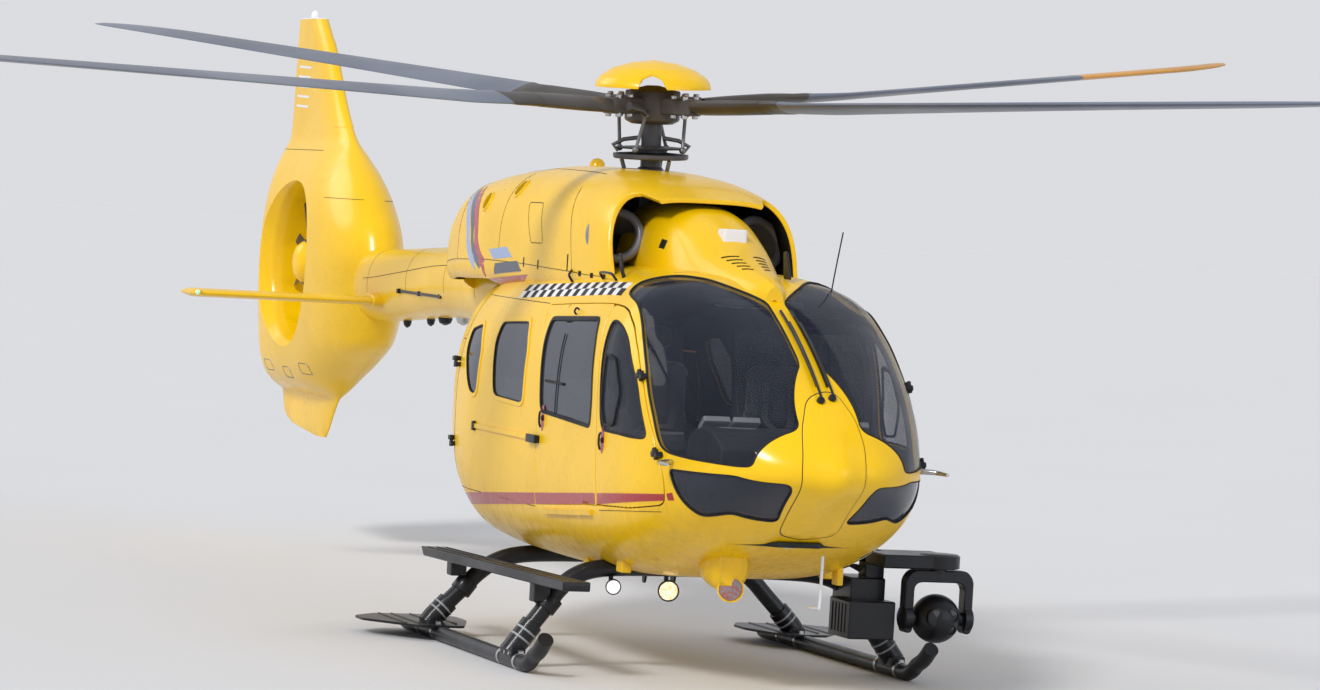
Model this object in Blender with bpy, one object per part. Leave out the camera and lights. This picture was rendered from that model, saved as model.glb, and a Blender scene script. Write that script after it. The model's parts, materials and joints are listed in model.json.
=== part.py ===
"""Light twin-engine rescue helicopter on skids, modelled as separate panels and pieces.

Metres, +Z up, +X towards the nose, +Y to port. Stations are measured from the rotor mast
and the whole machine is then moved by MAST_X and MAST_Y, so that the origin lies on the
ground under the middle of its bounding box. Z = 0 is the underside of the skids.
"""
import math

import bmesh
import bpy
import numpy as np
from mathutils import Matrix, Vector

# Driving dimensions: whole machine
MAST_X = 1.5446
MAST_Y = 0.0116
GAP = 0.0003
SEAM = 0.004
WALL = 0.05
RING = 28
DUCT_SIDES = 40

# Main rotor: disc tilt and azimuth as flown
ROTOR_RADIUS = 5.50
ROTOR_HUB = (0.03, 0.0, 3.325)
ROTOR_AXIS = (0.0454, -0.0402, 1.0)
ROTOR_AZIMUTH = 24.6
ROTOR_CONE = 3.2
BLADE_CHORD = 0.32
BLADE_ROOT = 0.38
MAST_RADIUS = 0.062
MAST_FOOT = -0.52

# Shrouded tail fan
DUCT_X = -7.218
DUCT_Z = 2.121
DUCT_RADIUS = 0.575
FAN_RADIUS = 0.565
FAN_BLADES = 10
VANES = 7
BOOM_WALL = 0.010
FIN_WALL = 0.012

# Landing gear
SKID_Y = 1.185
SKID_RADIUS = 0.046
SKID_REAR = -0.62
TUBE_RADIUS = 0.052
FRONT_TUBE_X = 1.51
REAR_TUBE_X = -0.12
SLEEVE_RADIUS = 0.066
FOOT_HALF_LENGTH = 0.11
FOOT_HALF_WIDTH = 0.045

# Camera turret
GIMBAL_X = 1.90
GIMBAL_Y = 1.285
BALL_Z = 0.385
BALL_RADIUS = 0.145

# Fuselage pod sections
POD_COLUMNS = ("x", "half_width", "top", "bottom", "widest", "n_top", "n_bottom")
POD = (
    (-2.28, 0.05, 1.98, 1.84, 1.92, 2.0, 2.0),
    (-2.20, 0.25, 2.10, 1.68, 1.88, 2.0, 2.2),
    (-2.05, 0.39, 2.18, 1.46, 1.80, 2.0, 2.4),
    (-1.80, 0.54, 2.24, 1.16, 1.65, 2.1, 2.7),
    (-1.50, 0.68, 2.28, 0.92, 1.52, 2.3, 3.0),
    (-1.20, 0.785, 2.31, 0.74, 1.42, 2.4, 3.3),
    (-0.90, 0.845, 2.33, 0.63, 1.37, 2.6, 3.6),
    (-0.55, 0.868, 2.34, 0.57, 1.34, 2.8, 4.0),
    (-0.10, 0.870, 2.35, 0.545, 1.33, 3.1, 4.0),
    (0.60, 0.870, 2.36, 0.54, 1.33, 3.3, 4.0),
    (1.30, 0.870, 2.36, 0.55, 1.33, 3.6, 4.0),
    (1.70, 0.870, 2.345, 0.57, 1.33, 3.8, 3.8),
    (1.96, 0.870, 2.32, 0.595, 1.32, 3.8, 3.6),
    (2.20, 0.862, 2.25, 0.645, 1.31, 3.4, 3.4),
    (2.40, 0.843, 2.165, 0.705, 1.30, 3.0, 3.2),
    (2.70, 0.781, 2.005, 0.80, 1.30, 2.6, 2.9),
    (2.95, 0.689, 1.84, 0.92, 1.30, 2.3, 2.6),
    (3.15, 0.573, 1.68, 1.05, 1.30, 2.2, 2.4),
    (3.30, 0.437, 1.53, 1.14, 1.30, 2.1, 2.2),
    (3.40, 0.285, 1.42, 1.20, 1.30, 2.0, 2.1),
    (3.445, 0.15, 1.36, 1.245, 1.30, 2.0, 2.0),
    (3.46, 0.05, 1.32, 1.28, 1.30, 2.0, 2.0),
)

# Panel outlines in side view, each point (x, z)
PILOT_DOOR = (
    (1.73, 2.138), (1.88, 2.130), (1.984, 2.108), (2.119, 2.029), (2.265, 1.896), (2.433, 1.705),
    (2.626, 1.433), (2.739, 1.211), (2.744, 1.142), (2.72, 1.07), (2.664, 1.04), (1.895, 0.98),
    (1.865, 1.25), (1.84, 1.467), (1.82, 1.696), (1.762, 1.924), (1.722, 2.051),
)
SLIDING_DOOR = (
    (0.548, 2.085), (1.10, 2.115), (1.73, 2.138), (1.722, 2.051), (1.762, 1.924), (1.82, 1.696),
    (1.84, 1.467), (1.865, 1.25), (1.895, 0.975), (0.76, 0.90), (0.76, 1.279), (0.735, 1.516),
    (0.709, 1.754), (0.62, 1.99),
)
PILOT_WINDOW = (
    (1.825, 2.04), (1.90, 2.047), (2.019, 2.018), (2.125, 1.955), (2.378, 1.70), (2.51, 1.50),
    (2.555, 1.43), (2.52, 1.403), (1.955, 1.414), (1.905, 1.471), (1.875, 1.612), (1.83, 1.87),
)
SLIDING_WINDOW = (
    (0.727, 2.014), (1.62, 2.05), (1.69, 1.87), (1.74, 1.58), (1.735, 1.414),
    (0.842, 1.451), (0.80, 1.49), (0.724, 1.875),
)
SIDE_WINDOW = (
    (-0.20, 1.948), (0.34, 1.973), (0.45, 1.80), (0.468, 1.50), (0.42, 1.478),
    (-0.085, 1.492), (-0.135, 1.526), (-0.23, 1.83),
)
AFT_WINDOW = (
    (-0.87, 1.876), (-0.617, 1.919), (-0.48, 1.75), (-0.465, 1.507), (-0.52, 1.476),
    (-0.62, 1.49), (-0.70, 1.55), (-0.86, 1.739),
)
REAR_WINDOW = ((-1.75, 1.70), (-1.28, 1.70), (-1.22, 1.35), (-1.50, 1.35))

# Outlines on the front of the pod, each point (x, y, z) on the starboard side
WINDSHIELD = (
    (1.763, 0.69, 2.208), (1.713, 0.609, 2.268), (1.817, 0.404, 2.322), (2.065, 0.248, 2.292),
    (2.316, 0.055, 2.203), (2.609, 0.055, 2.056), (2.879, 0.055, 1.89), (3.281, 0.188, 1.53),
    (3.288, 0.448, 1.318), (3.233, 0.503, 1.312), (2.944, 0.691, 1.329), (2.777, 0.757, 1.347),
    (2.714, 0.776, 1.370), (2.668, 0.786, 1.413), (2.587, 0.795, 1.546), (2.507, 0.797, 1.651),
    (2.396, 0.784, 1.805), (2.279, 0.764, 1.938), (2.18, 0.745, 2.034), (2.082, 0.726, 2.110),
    (1.997, 0.716, 2.155), (1.87, 0.707, 2.182),
)
WINDSHIELD_EYE = (1.5, 0.30, 1.45)
CHIN_WINDOW = (
    (2.787, 0.754, 1.259), (3.20, 0.52, 1.262), (3.385, 0.248, 1.239), (3.36, 0.225, 1.205),
    (3.069, 0.203, 1.005), (3.04, 0.45, 1.045), (2.90, 0.585, 1.005),
)
CHIN_EYE = (2.2, 0.30, 1.40)

REAR_SEAM_X = -1.0
NOSE_SEAM_X = 1.70
CLAM_TOP = 1.80
CLAM_HALF_GAP = 0.003
SILL = 0.88
DOOR_TOP = 2.07
DOOR_INSET = 0.004
HINGED_INSET = 0.007
DOOR_SKIN = 0.015
FRAME_INSET = 0.030

# Fuel tank under the cabin floor
TANK_LOW = (0.02, -0.62, 0.665)
TANK_HIGH = (1.35, 0.62, SILL - 0.03 - GAP)

# Door hinges: points (x, |y|, z) on each pin line, lower first, and the knuckles' size
PILOT_PIN = ((2.693, 0.807, 1.336), (2.405, 0.820, 1.758))
CLAM_PIN = ((-0.989, 0.850, 1.16), (-0.989, 0.850, 1.66))
KNUCKLE_RADIUS = 0.013
KNUCKLE_LENGTH = 0.035

# Rail that the sliding door's rear carriage runs on
RAIL_START = -0.478
RAIL_END = 0.70
RAIL_Z = 1.287
RAIL_FACE = 0.882

# Colours (linear) and finish: name, red, green, blue, roughness, metallic
FINISHES = (
    ("yellow_paint", 0.90, 0.56, 0.0, 0.25, 0.0),
    ("black_metal", 0.012, 0.012, 0.014, 0.45, 0.3),
    ("rotor_grey", 0.16, 0.18, 0.23, 0.45, 0.1),
    ("hub_metal", 0.20, 0.18, 0.16, 0.40, 0.7),
    ("cabin_dark", 0.035, 0.038, 0.048, 0.7, 0.0),
    ("seat_fabric", 0.03, 0.03, 0.035, 0.9, 0.0),
    ("engine_metal", 0.25, 0.25, 0.26, 0.4, 0.8),
    ("window", 0.05, 0.06, 0.075, 0.05, 0.0),
)


def finish(name):
    """Returns the material of that name, made on first use."""
    found = bpy.data.materials.get(name)
    if found is not None:
        return found
    row = next(item for item in FINISHES if item[0] == name)
    made = bpy.data.materials.new(name)
    made.use_nodes = True
    shader = made.node_tree.nodes["Principled BSDF"]
    shader.inputs["Base Color"].default_value = (row[1], row[2], row[3], 1.0)
    shader.inputs["Roughness"].default_value = row[4]
    shader.inputs["Metallic"].default_value = row[5]
    if name == "window":
        shader.inputs["Alpha"].default_value = 0.35
    made.diffuse_color = (row[1], row[2], row[3], 1.0)
    return made


def smooth_curve(xs, ys, x):
    """Monotone cubic through the points (xs, ys), read at x."""
    xs = np.asarray(xs, float)
    ys = np.asarray(ys, float)
    step = np.diff(xs)
    slope = np.diff(ys) / step
    tangent = np.zeros(len(xs))
    for i in range(1, len(xs) - 1):
        if slope[i - 1] * slope[i] > 0:
            before = 2 * step[i] + step[i - 1]
            after = step[i] + 2 * step[i - 1]
            tangent[i] = (before + after) / (before / slope[i - 1] + after / slope[i])
    tangent[0] = slope[0]
    tangent[-1] = slope[-1]
    x = np.clip(x, xs[0], xs[-1])
    i = int(np.clip(np.searchsorted(xs, x, side="right") - 1, 0, len(xs) - 2))
    t = (x - xs[i]) / step[i]
    start = (1 + 2 * t) * (1 - t) ** 2 * ys[i] + t * (1 - t) ** 2 * step[i] * tangent[i]
    end = t * t * (3 - 2 * t) * ys[i + 1] + t * t * (t - 1) * step[i] * tangent[i + 1]
    return float(start + end)


def pod_value(point):
    """Below zero inside the pod's outer surface, above zero outside."""
    columns = list(zip(*POD))
    row = [smooth_curve(columns[0], column, point[0]) for column in columns[1:]]
    half_width, top, bottom, widest, n_top, n_bottom = row
    power = n_top if point[2] >= widest else n_bottom
    rise = (top - widest) if point[2] >= widest else (widest - bottom)
    return (abs(point[1]) / half_width) ** power + (abs(point[2] - widest) / rise) ** power - 1.0


def pod_normal(point):
    """Outward direction of the pod's surface near a point."""
    step = 0.002
    slope = []
    for axis in range(3):
        high = list(point)
        low = list(point)
        high[axis] += step
        low[axis] -= step
        slope.append(pod_value(high) - pod_value(low))
    return Vector(slope).normalized()


def superellipse(half_width, top, bottom, widest, n_top, n_bottom, count, offset=0.0):
    """Closed section of points (y, z), with its own roundness above and below the widest line."""
    points = []
    for k in range(count):
        angle = 2 * math.pi * k / count
        c = math.cos(angle)
        s = math.sin(angle)
        power = 2.0 / (n_top if s >= 0 else n_bottom)
        rise = (top - widest) if s >= 0 else (widest - bottom)
        y = (half_width + offset) * math.copysign(abs(c) ** power, c)
        z = widest + (rise + offset) * math.copysign(abs(s) ** power, s)
        points.append((y, z))
    return points


def pod_rings(offset=0.0):
    """Rings of the fuselage pod, grown by offset, which is negative for the inner wall."""
    rings = []
    for x, half_width, top, bottom, widest, n_top, n_bottom in POD:
        if x > 2.4:
            x += offset * (x - 2.4) / 1.06
        if x < -1.2:
            x -= offset * (-1.2 - x) / 1.08
        if half_width + offset < 0.03 or widest - bottom + offset < 0.01 or top - widest + offset < 0.01:
            continue
        section = superellipse(half_width, top, bottom, widest, n_top, n_bottom, RING, offset)
        rings.append([(x, y, z) for y, z in section])
    return rings


def solid(name, verts, faces, material, smooth=True):
    """A mesh object whose faces point out."""
    mesh = bpy.data.meshes.new(name)
    mesh.from_pydata([tuple(v) for v in verts], [], faces)
    work = bmesh.new()
    work.from_mesh(mesh)
    bmesh.ops.recalc_face_normals(work, faces=work.faces)
    work.to_mesh(mesh)
    work.free()
    if smooth:
        mesh.shade_smooth()
        mesh.set_sharp_from_angle(angle=math.radians(35))
    made = bpy.data.objects.new(name, mesh)
    made.data.materials.append(finish(material))
    bpy.context.scene.collection.objects.link(made)
    return made


def loft(name, rings, material, smooth=True):
    """Skin through closed rings of equal count, with a fan on each end."""
    count = len(rings[0])
    verts = [point for ring in rings for point in ring]
    faces = []
    for i in range(len(rings) - 1):
        for k in range(count):
            a = i * count + k
            b = i * count + (k + 1) % count
            faces.append((a, b, b + count))
            faces.append((a, b + count, a + count))
    for ring, start in ((rings[0], 0), (rings[-1], (len(rings) - 1) * count)):
        centre = tuple(sum(point[j] for point in ring) / count for j in range(3))
        verts.append(centre)
        tip = len(verts) - 1
        for k in range(count):
            faces.append((start + k, start + (k + 1) % count, tip))
    return solid(name, verts, faces, material, smooth)


def prism(name, outline, axis, low, high, material, smooth=False):
    """Outline extruded along an axis (0, 1 or 2) from low to high."""
    def place(u, v, w):
        point = [u, v]
        point.insert(axis, w)
        return tuple(point)
    rings = [[place(u, v, w) for u, v in outline] for w in (low, high)]
    count = len(outline)
    verts = rings[0] + rings[1]
    faces = [(k, (k + 1) % count, (k + 1) % count + count, k + count) for k in range(count)]
    faces.append(tuple(range(count)))
    faces.append(tuple(range(count, 2 * count)))
    return solid(name, verts, faces, material, smooth)


def block(name, low, high, material="cabin_dark"):
    """Box between two corners."""
    outline = ((low[0], low[1]), (high[0], low[1]), (high[0], high[1]), (low[0], high[1]))
    return prism(name, outline, 2, low[2], high[2], material)


def turned(name, profile, material, count=32, axis="Z"):
    """Profile of (radius, height) turned about an axis through the origin."""
    rings = []
    for radius, height in profile:
        ring = []
        for k in range(count):
            angle = 2 * math.pi * k / count
            u = radius * math.cos(angle)
            v = radius * math.sin(angle)
            ring.append((u, v, height) if axis == "Z" else (u, height, v))
        rings.append(ring)
    return loft(name, rings, material)


def pipe(name, path, radius, material, count=14):
    """Round tube along a path of points with mitred corners."""
    points = [Vector(p) for p in path]
    radii = radius if isinstance(radius, (list, tuple)) else [radius] * len(points)
    rings = []
    side = None
    for i, point in enumerate(points):
        before = (point - points[i - 1]).normalized() if i else None
        after = (points[i + 1] - point).normalized() if i < len(points) - 1 else None
        tangent = ((before or after) + (after or before)).normalized()
        if side is None:
            side = tangent.cross(Vector((0.0, 0.0, 1.0))).normalized()
        side = (side - tangent * side.dot(tangent)).normalized()
        other = tangent.cross(side)
        stretch = 1.0
        if before is not None and after is not None:
            stretch = 1.0 / max(0.5, before.dot(tangent))
        rings.append([tuple(point + (side * math.cos(2 * math.pi * k / count)
                                     + other * math.sin(2 * math.pi * k / count)) * radii[i] * stretch ** 0.5)
                      for k in range(count)])
    return loft(name, rings, material)


def combine(target, tool, operation, keep_tool=False):
    """Boolean of two objects, applied to the target's mesh."""
    step = target.modifiers.new("cut", "BOOLEAN")
    step.operation = operation
    step.solver = "EXACT"
    step.object = tool
    graph = bpy.context.evaluated_depsgraph_get()
    mesh = bpy.data.meshes.new_from_object(target.evaluated_get(graph), depsgraph=graph)
    target.modifiers.clear()
    old = target.data
    target.data = mesh
    bpy.data.meshes.remove(old)
    keep = target.data.materials[0]
    target.data.materials.clear()
    target.data.materials.append(keep)
    for polygon in target.data.polygons:
        polygon.material_index = 0
    if not keep_tool:
        discard(tool)
    return target


def discard(made):
    """Removes a construction object."""
    mesh = made.data
    bpy.data.objects.remove(made)
    if mesh.users == 0:
        bpy.data.meshes.remove(mesh)


def grown(outline, amount):
    """Outline of (u, v) points with every edge moved outwards by amount."""
    area = sum(a[0] * b[1] - b[0] * a[1] for a, b in zip(outline, outline[1:] + outline[:1])) / 2
    sign = 1.0 if area > 0 else -1.0
    result = []
    count = len(outline)
    for k in range(count):
        before = Vector(outline[k]) - Vector(outline[k - 1])
        after = Vector(outline[(k + 1) % count]) - Vector(outline[k])
        n0 = Vector((before.y, -before.x)).normalized() * sign
        n1 = Vector((after.y, -after.x)).normalized() * sign
        mean = (n0 + n1).normalized()
        reach = amount / max(0.4, mean.dot(n0))
        result.append((outline[k][0] + mean.x * reach, outline[k][1] + mean.y * reach))
    return tuple(result)


def side_cutter(name, outline, side, amount=0.0, inner=0.30, outer=1.15):
    """Prism across one side of the pod: side is -1 to starboard, +1 to port."""
    low, high = sorted((side * inner, side * outer))
    return prism(name, grown(outline, amount), 1, low, high, "cabin_dark")


def points_turn(outline):
    """Twice the area that an outline encloses as seen from ahead, above zero anticlockwise."""
    turn = 0.0
    for a, b in zip(outline, outline[1:] + outline[:1]):
        turn += a[1] * b[2] - b[1] * a[2]
    return turn


def eye_cutter(name, outline, eye, side, shrink=0.0, near=0.72, far=1.35):
    """Cone from a point in the cabin through an outline on the nose, square to the wall."""
    centre = Vector((eye[0], side * eye[1], eye[2]))
    points = [Vector((x, side * y, z)) for x, y, z in outline]
    normals = [pod_normal(p) for p in points]
    count = len(points)
    turn = side if points_turn(outline) > 0 else -side
    inward = []
    for k in range(count):
        along = (points[(k + 1) % count] - points[k - 1]).normalized()
        inward.append(normals[k].cross(along) * turn)
    points = [p + step * shrink for p, step in zip(points, inward)]
    rings = [[tuple(centre + (p - centre) * near) for p in points]]
    rings.append([tuple(p - n * 0.07) for p, n in zip(points, normals)])
    rings.append([tuple(p + n * 0.05) for p, n in zip(points, normals)])
    rings.append([tuple(centre + (p - centre) * far) for p in points])
    return loft(name, rings, "cabin_dark", smooth=False)


def pod_piece(name, boxes, material="yellow_paint", wall=WALL, outer=0.0):
    """Piece of the pod's wall inside a box, as thick as the wall."""
    made = loft(name, pod_rings(outer), material)
    tool = block("tool", *boxes)
    combine(made, tool, "INTERSECT")
    inner = loft("tool", pod_rings(outer - wall), material)
    combine(made, inner, "DIFFERENCE")
    return made


def pod_solid(name, offset):
    """Whole pod as a solid, for cutting what stands on it."""
    return loft(name, pod_rings(offset), "cabin_dark")


def side_name(side):
    """Suffix of a piece's name."""
    return "right" if side < 0 else "left"


def add_hinges(fixed, door, pin, side):
    """Two hinges on one pin line: lower knuckle and web on the frame, upper ones on the door."""
    points = [Vector((x, side * y, z)) for x, y, z in pin]
    turn = Vector((0, 0, 1)).rotation_difference(points[1] - points[0]).to_matrix().to_4x4()
    skin = side * -0.045
    top = side * 0.008
    for point in points:
        place = Matrix.Translation(point) @ turn
        for target, low, high, rear, front in ((fixed, -KNUCKLE_LENGTH, -GAP, -0.006, 0.016),
                                               (door, 0.0, KNUCKLE_LENGTH, -0.045, -0.021)):
            barrel = turned("tool", ((KNUCKLE_RADIUS, low), (KNUCKLE_RADIUS, high)), "black_metal", 8)
            web = block("tool2", (rear, min(skin, top), low + 0.004), (front, max(skin, top), high - 0.004))
            combine(barrel, web, "UNION")
            if target is door:
                low_y, high_y = sorted((side * -0.010, top))
                strap = block("tool2", (rear + 0.005, low_y, low + 0.004), (0.0, high_y, high - 0.004))
                combine(barrel, strap, "UNION")
            barrel.matrix_world = place
            combine(target, barrel, "UNION")


def add_rail(wall, door, side):
    """Rail on the side wall, and the door's carriage on its outer face."""
    low, high = sorted((side * 0.85, side * RAIL_FACE))
    combine(wall, block("tool", (RAIL_START, low, RAIL_Z - 0.015), (RAIL_END, high, RAIL_Z + 0.015)), "UNION")
    low, high = sorted((side * (RAIL_FACE + GAP), side * 0.905))
    carriage = block("tool", (RAIL_END - 0.04, low, RAIL_Z - 0.025), (0.83, high, RAIL_Z + 0.025))
    low, high = sorted((side * 0.85, side * 0.90))
    combine(carriage, block("tool2", (0.775, low, RAIL_Z - 0.022), (0.825, high, RAIL_Z + 0.022)), "UNION")
    combine(door, carriage, "UNION")


def build_pod():
    """Panels, doors and windows of the cabin."""
    far = 1.2
    nose = pod_piece("nose_shell", ((NOSE_SEAM_X + GAP, -far, 0.4), (3.6, far, 2.5)))
    roof = pod_piece("roof_shell", ((REAR_SEAM_X + GAP, -far, DOOR_TOP + GAP), (NOSE_SEAM_X, far, 2.5)))
    belly = pod_piece("belly_shell", ((REAR_SEAM_X + GAP, -far, 0.4), (NOSE_SEAM_X, far, SILL - GAP)))
    tail = pod_piece("rear_fairing", ((-2.4, -far, CLAM_TOP + 0.0055), (REAR_SEAM_X, far, 2.5)))
    for side in (-1, 1):
        end = side_name(side)
        low, high = sorted((side * 0.4, side * far))
        wall = pod_piece("side_wall_" + end, ((REAR_SEAM_X + GAP, low, SILL), (0.78, high, DOOR_TOP)))
        combine(wall, side_cutter("tool", SLIDING_DOOR, side, SEAM), "DIFFERENCE")
        for outline in (SIDE_WINDOW, AFT_WINDOW):
            combine(wall, side_cutter("tool", outline, side), "DIFFERENCE")
        for piece in (nose, roof):
            combine(piece, side_cutter("tool", PILOT_DOOR, side, SEAM), "DIFFERENCE")
            combine(piece, eye_cutter("tool", WINDSHIELD, WINDSHIELD_EYE, side), "DIFFERENCE")
            combine(piece, side_cutter("tool", SLIDING_DOOR, side, SEAM), "DIFFERENCE")
        combine(belly, side_cutter("tool", SLIDING_DOOR, side, SEAM), "DIFFERENCE")
        combine(nose, eye_cutter("tool", CHIN_WINDOW, CHIN_EYE, side), "DIFFERENCE")
        for label, outline, window in (("pilot", PILOT_DOOR, PILOT_WINDOW),
                                       ("sliding", SLIDING_DOOR, SLIDING_WINDOW)):
            low, high = sorted((side * 0.35, side * far))
            bounds = ((0.3, low, 0.8), (3.0, high, 2.3))
            if label == "pilot":
                door = pod_piece("pilot_door_" + end, bounds, wall=DOOR_SKIN)
                combine(door, side_cutter("tool", outline, side, -HINGED_INSET), "INTERSECT")
                frame = pod_piece("tool2", bounds, wall=WALL - 0.01, outer=-0.01)
                combine(frame, side_cutter("tool", outline, side, -FRAME_INSET), "INTERSECT")
                combine(door, frame, "UNION")
                combine(door, side_cutter("tool", window, side), "DIFFERENCE")
                add_hinges(nose, door, PILOT_PIN, side)
            else:
                door = pod_piece("sliding_door_" + end, bounds)
                combine(door, side_cutter("tool", outline, side, -DOOR_INSET), "INTERSECT")
                combine(door, side_cutter("tool", window, side), "DIFFERENCE")
                add_rail(wall, door, side)
        low, high = sorted((side * CLAM_HALF_GAP, side * far))
        clam = pod_piece("clamshell_" + end, ((-2.4, low, 0.4), (REAR_SEAM_X - SEAM, high, CLAM_TOP)))
        combine(clam, side_cutter("tool", REAR_WINDOW, side), "DIFFERENCE")
        add_hinges(wall, clam, CLAM_PIN, side)
        for label, outline in (("pilot_window_", PILOT_WINDOW), ("sliding_window_", SLIDING_WINDOW),
                               ("side_window_", SIDE_WINDOW), ("aft_window_", AFT_WINDOW),
                               ("clamshell_window_", REAR_WINDOW)):
            low, high = sorted((side * 0.1, side * far))
            pane = pod_piece(label + end, ((-2.4, low, 0.9), (3.0, high, 2.3)), "window", 0.008, -0.006)
            combine(pane, side_cutter("tool", outline, side, -GAP), "INTERSECT")
        for label, outline, eye in (("windshield_", WINDSHIELD, WINDSHIELD_EYE),
                                    ("chin_window_", CHIN_WINDOW, CHIN_EYE)):
            pane = pod_piece(label + end, ((1.4, -far, 0.8), (3.6, far, 2.5)), "window", 0.008, -0.006)
            combine(pane, eye_cutter("tool", outline, eye, side, 0.001), "INTERSECT")
    return nose, roof, belly, tail


def build_interior():
    """Floor, instrument panel and seats."""
    floor = pod_solid("cabin_floor", -WALL - GAP)
    combine(floor, block("tool", (-0.95, -1.2, SILL - 0.03), (2.95, 1.2, SILL)), "INTERSECT")
    floor.data.materials.clear()
    floor.data.materials.append(finish("cabin_dark"))
    tank = block("fuel_tank", TANK_LOW, TANK_HIGH)
    combine(tank, pod_solid("tool", -WALL - GAP), "INTERSECT")
    outline = ((2.35, 1.40), (2.62, 1.50), (2.92, 1.40), (2.92, 1.22), (2.62, 1.12), (2.40, 1.16))
    panel = prism("instrument_panel", outline, 1, -0.50, 0.50, "cabin_dark")
    combine(panel, block("tool", (2.20, -0.14, SILL + GAP), (2.66, 0.14, 1.30)), "UNION")
    for side in (-1, 1):
        y = side * 0.37
        outline = ((1.42, SILL + GAP), (1.80, SILL + GAP), (1.86, 1.24), (1.94, 1.36), (1.92, 1.42),
                   (1.50, 1.40), (1.30, 2.02), (1.20, 2.02), (1.30, 1.30), (1.44, 1.26))
        prism("pilot_seat_" + side_name(side), outline, 1, y - 0.24, y + 0.24, "seat_fabric")
    outline = ((-0.70, SILL + GAP), (-0.40, SILL + GAP), (-0.36, 1.32), (-0.32, 1.36), (-0.34, 1.42),
               (-0.74, 1.40), (-0.86, 1.95), (-0.94, 1.95), (-0.86, 1.30), (-0.70, 1.26))
    prism("rear_seat", outline, 1, -0.62, 0.62, "seat_fabric")


COWL_COLUMNS = ("x", "half_width", "top", "widest", "n_top")
COWL = (
    (1.18, 0.585, 2.765, 2.25, 3.6),
    (0.90, 0.62, 2.84, 2.25, 3.6),
    (0.50, 0.635, 2.90, 2.26, 3.4),
    (0.00, 0.64, 2.93, 2.27, 3.2),
    (-0.60, 0.64, 2.935, 2.28, 3.1),
    (-1.20, 0.635, 2.905, 2.28, 3.2),
    (-1.60, 0.625, 2.87, 2.27, 3.4),
    (-1.95, 0.605, 2.82, 2.26, 3.5),
    (-2.20, 0.57, 2.74, 2.24, 3.3),
    (-2.38, 0.50, 2.63, 2.22, 2.8),
    (-2.50, 0.38, 2.49, 2.20, 2.3),
)
FAIRING_COLUMNS = ("x", "half_width", "top", "n_top")
FAIRING = (
    (2.31, 0.06, 2.29, 2.0),
    (2.20, 0.13, 2.335, 2.0),
    (2.00, 0.20, 2.39, 2.1),
    (1.75, 0.27, 2.47, 2.2),
    (1.45, 0.33, 2.61, 2.4),
    (1.20, 0.35, 2.70, 2.6),
    (0.95, 0.36, 2.74, 2.6),
)


def build_deck():
    """Engine cowling, front fairing, gearbox and engines on the roof."""
    rings = []
    for x, half_width, top, widest, power in COWL:
        section = superellipse(half_width, top, 2.05, widest, power, 2.4, 28)
        rings.append([(x, y, z) for y, z in section])
    cowl = loft("cowling", rings, "yellow_paint")
    rings = []
    for x, half_width, top, widest, power in COWL:
        x = min(x + 0.1, 1.3) if x > 0.9 else max(x, -2.44)
        section = superellipse(half_width - 0.03, top - 0.03, 1.9, widest, power, 2.4, 28)
        rings.append([(x, y, z) for y, z in section])
    inner = loft("tool", rings, "yellow_paint")
    combine(inner, block("tool2", (-2.42, -1, 1.5), (1.5, 1, 3.2)), "INTERSECT")
    combine(cowl, inner, "DIFFERENCE")
    combine(cowl, pod_solid("tool", GAP), "DIFFERENCE")
    combine(cowl, boom_solid("tool", GAP), "DIFFERENCE")
    hole = turned("tool", ((0.17, 2.6), (0.17, 3.2)), "yellow_paint", 20)
    hole.location = (0.0, 0.0, 0.0)
    combine(cowl, hole, "DIFFERENCE")
    rings = []
    for x, half_width, top, power in FAIRING:
        section = superellipse(half_width, top, 1.95, 2.15, power, 2.0, 24)
        rings.append([(x, y, z) for y, z in section])
    fairing = loft("front_fairing", rings, "yellow_paint")
    combine(fairing, pod_solid("tool", GAP), "DIFFERENCE")
    box = block("gearbox", (-0.24, -0.22, 2.2), (0.50, 0.22, 2.80), "engine_metal")
    combine(box, pod_solid("tool", GAP), "DIFFERENCE")
    boss = turned("tool", ((0.09, MAST_FOOT - 0.10), (0.09, MAST_FOOT - GAP)), "engine_metal", 24)
    boss.matrix_world = rotor_frame()
    combine(box, boss, "UNION")
    for side in (-1, 1):
        low, high = sorted((side * 0.24, side * 0.47))
        engine = block("engine_" + side_name(side), (-1.10, low, 2.1), (-0.28, high, 2.56), "engine_metal")
        combine(engine, pod_solid("tool", GAP), "DIFFERENCE")
    return cowl


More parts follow.
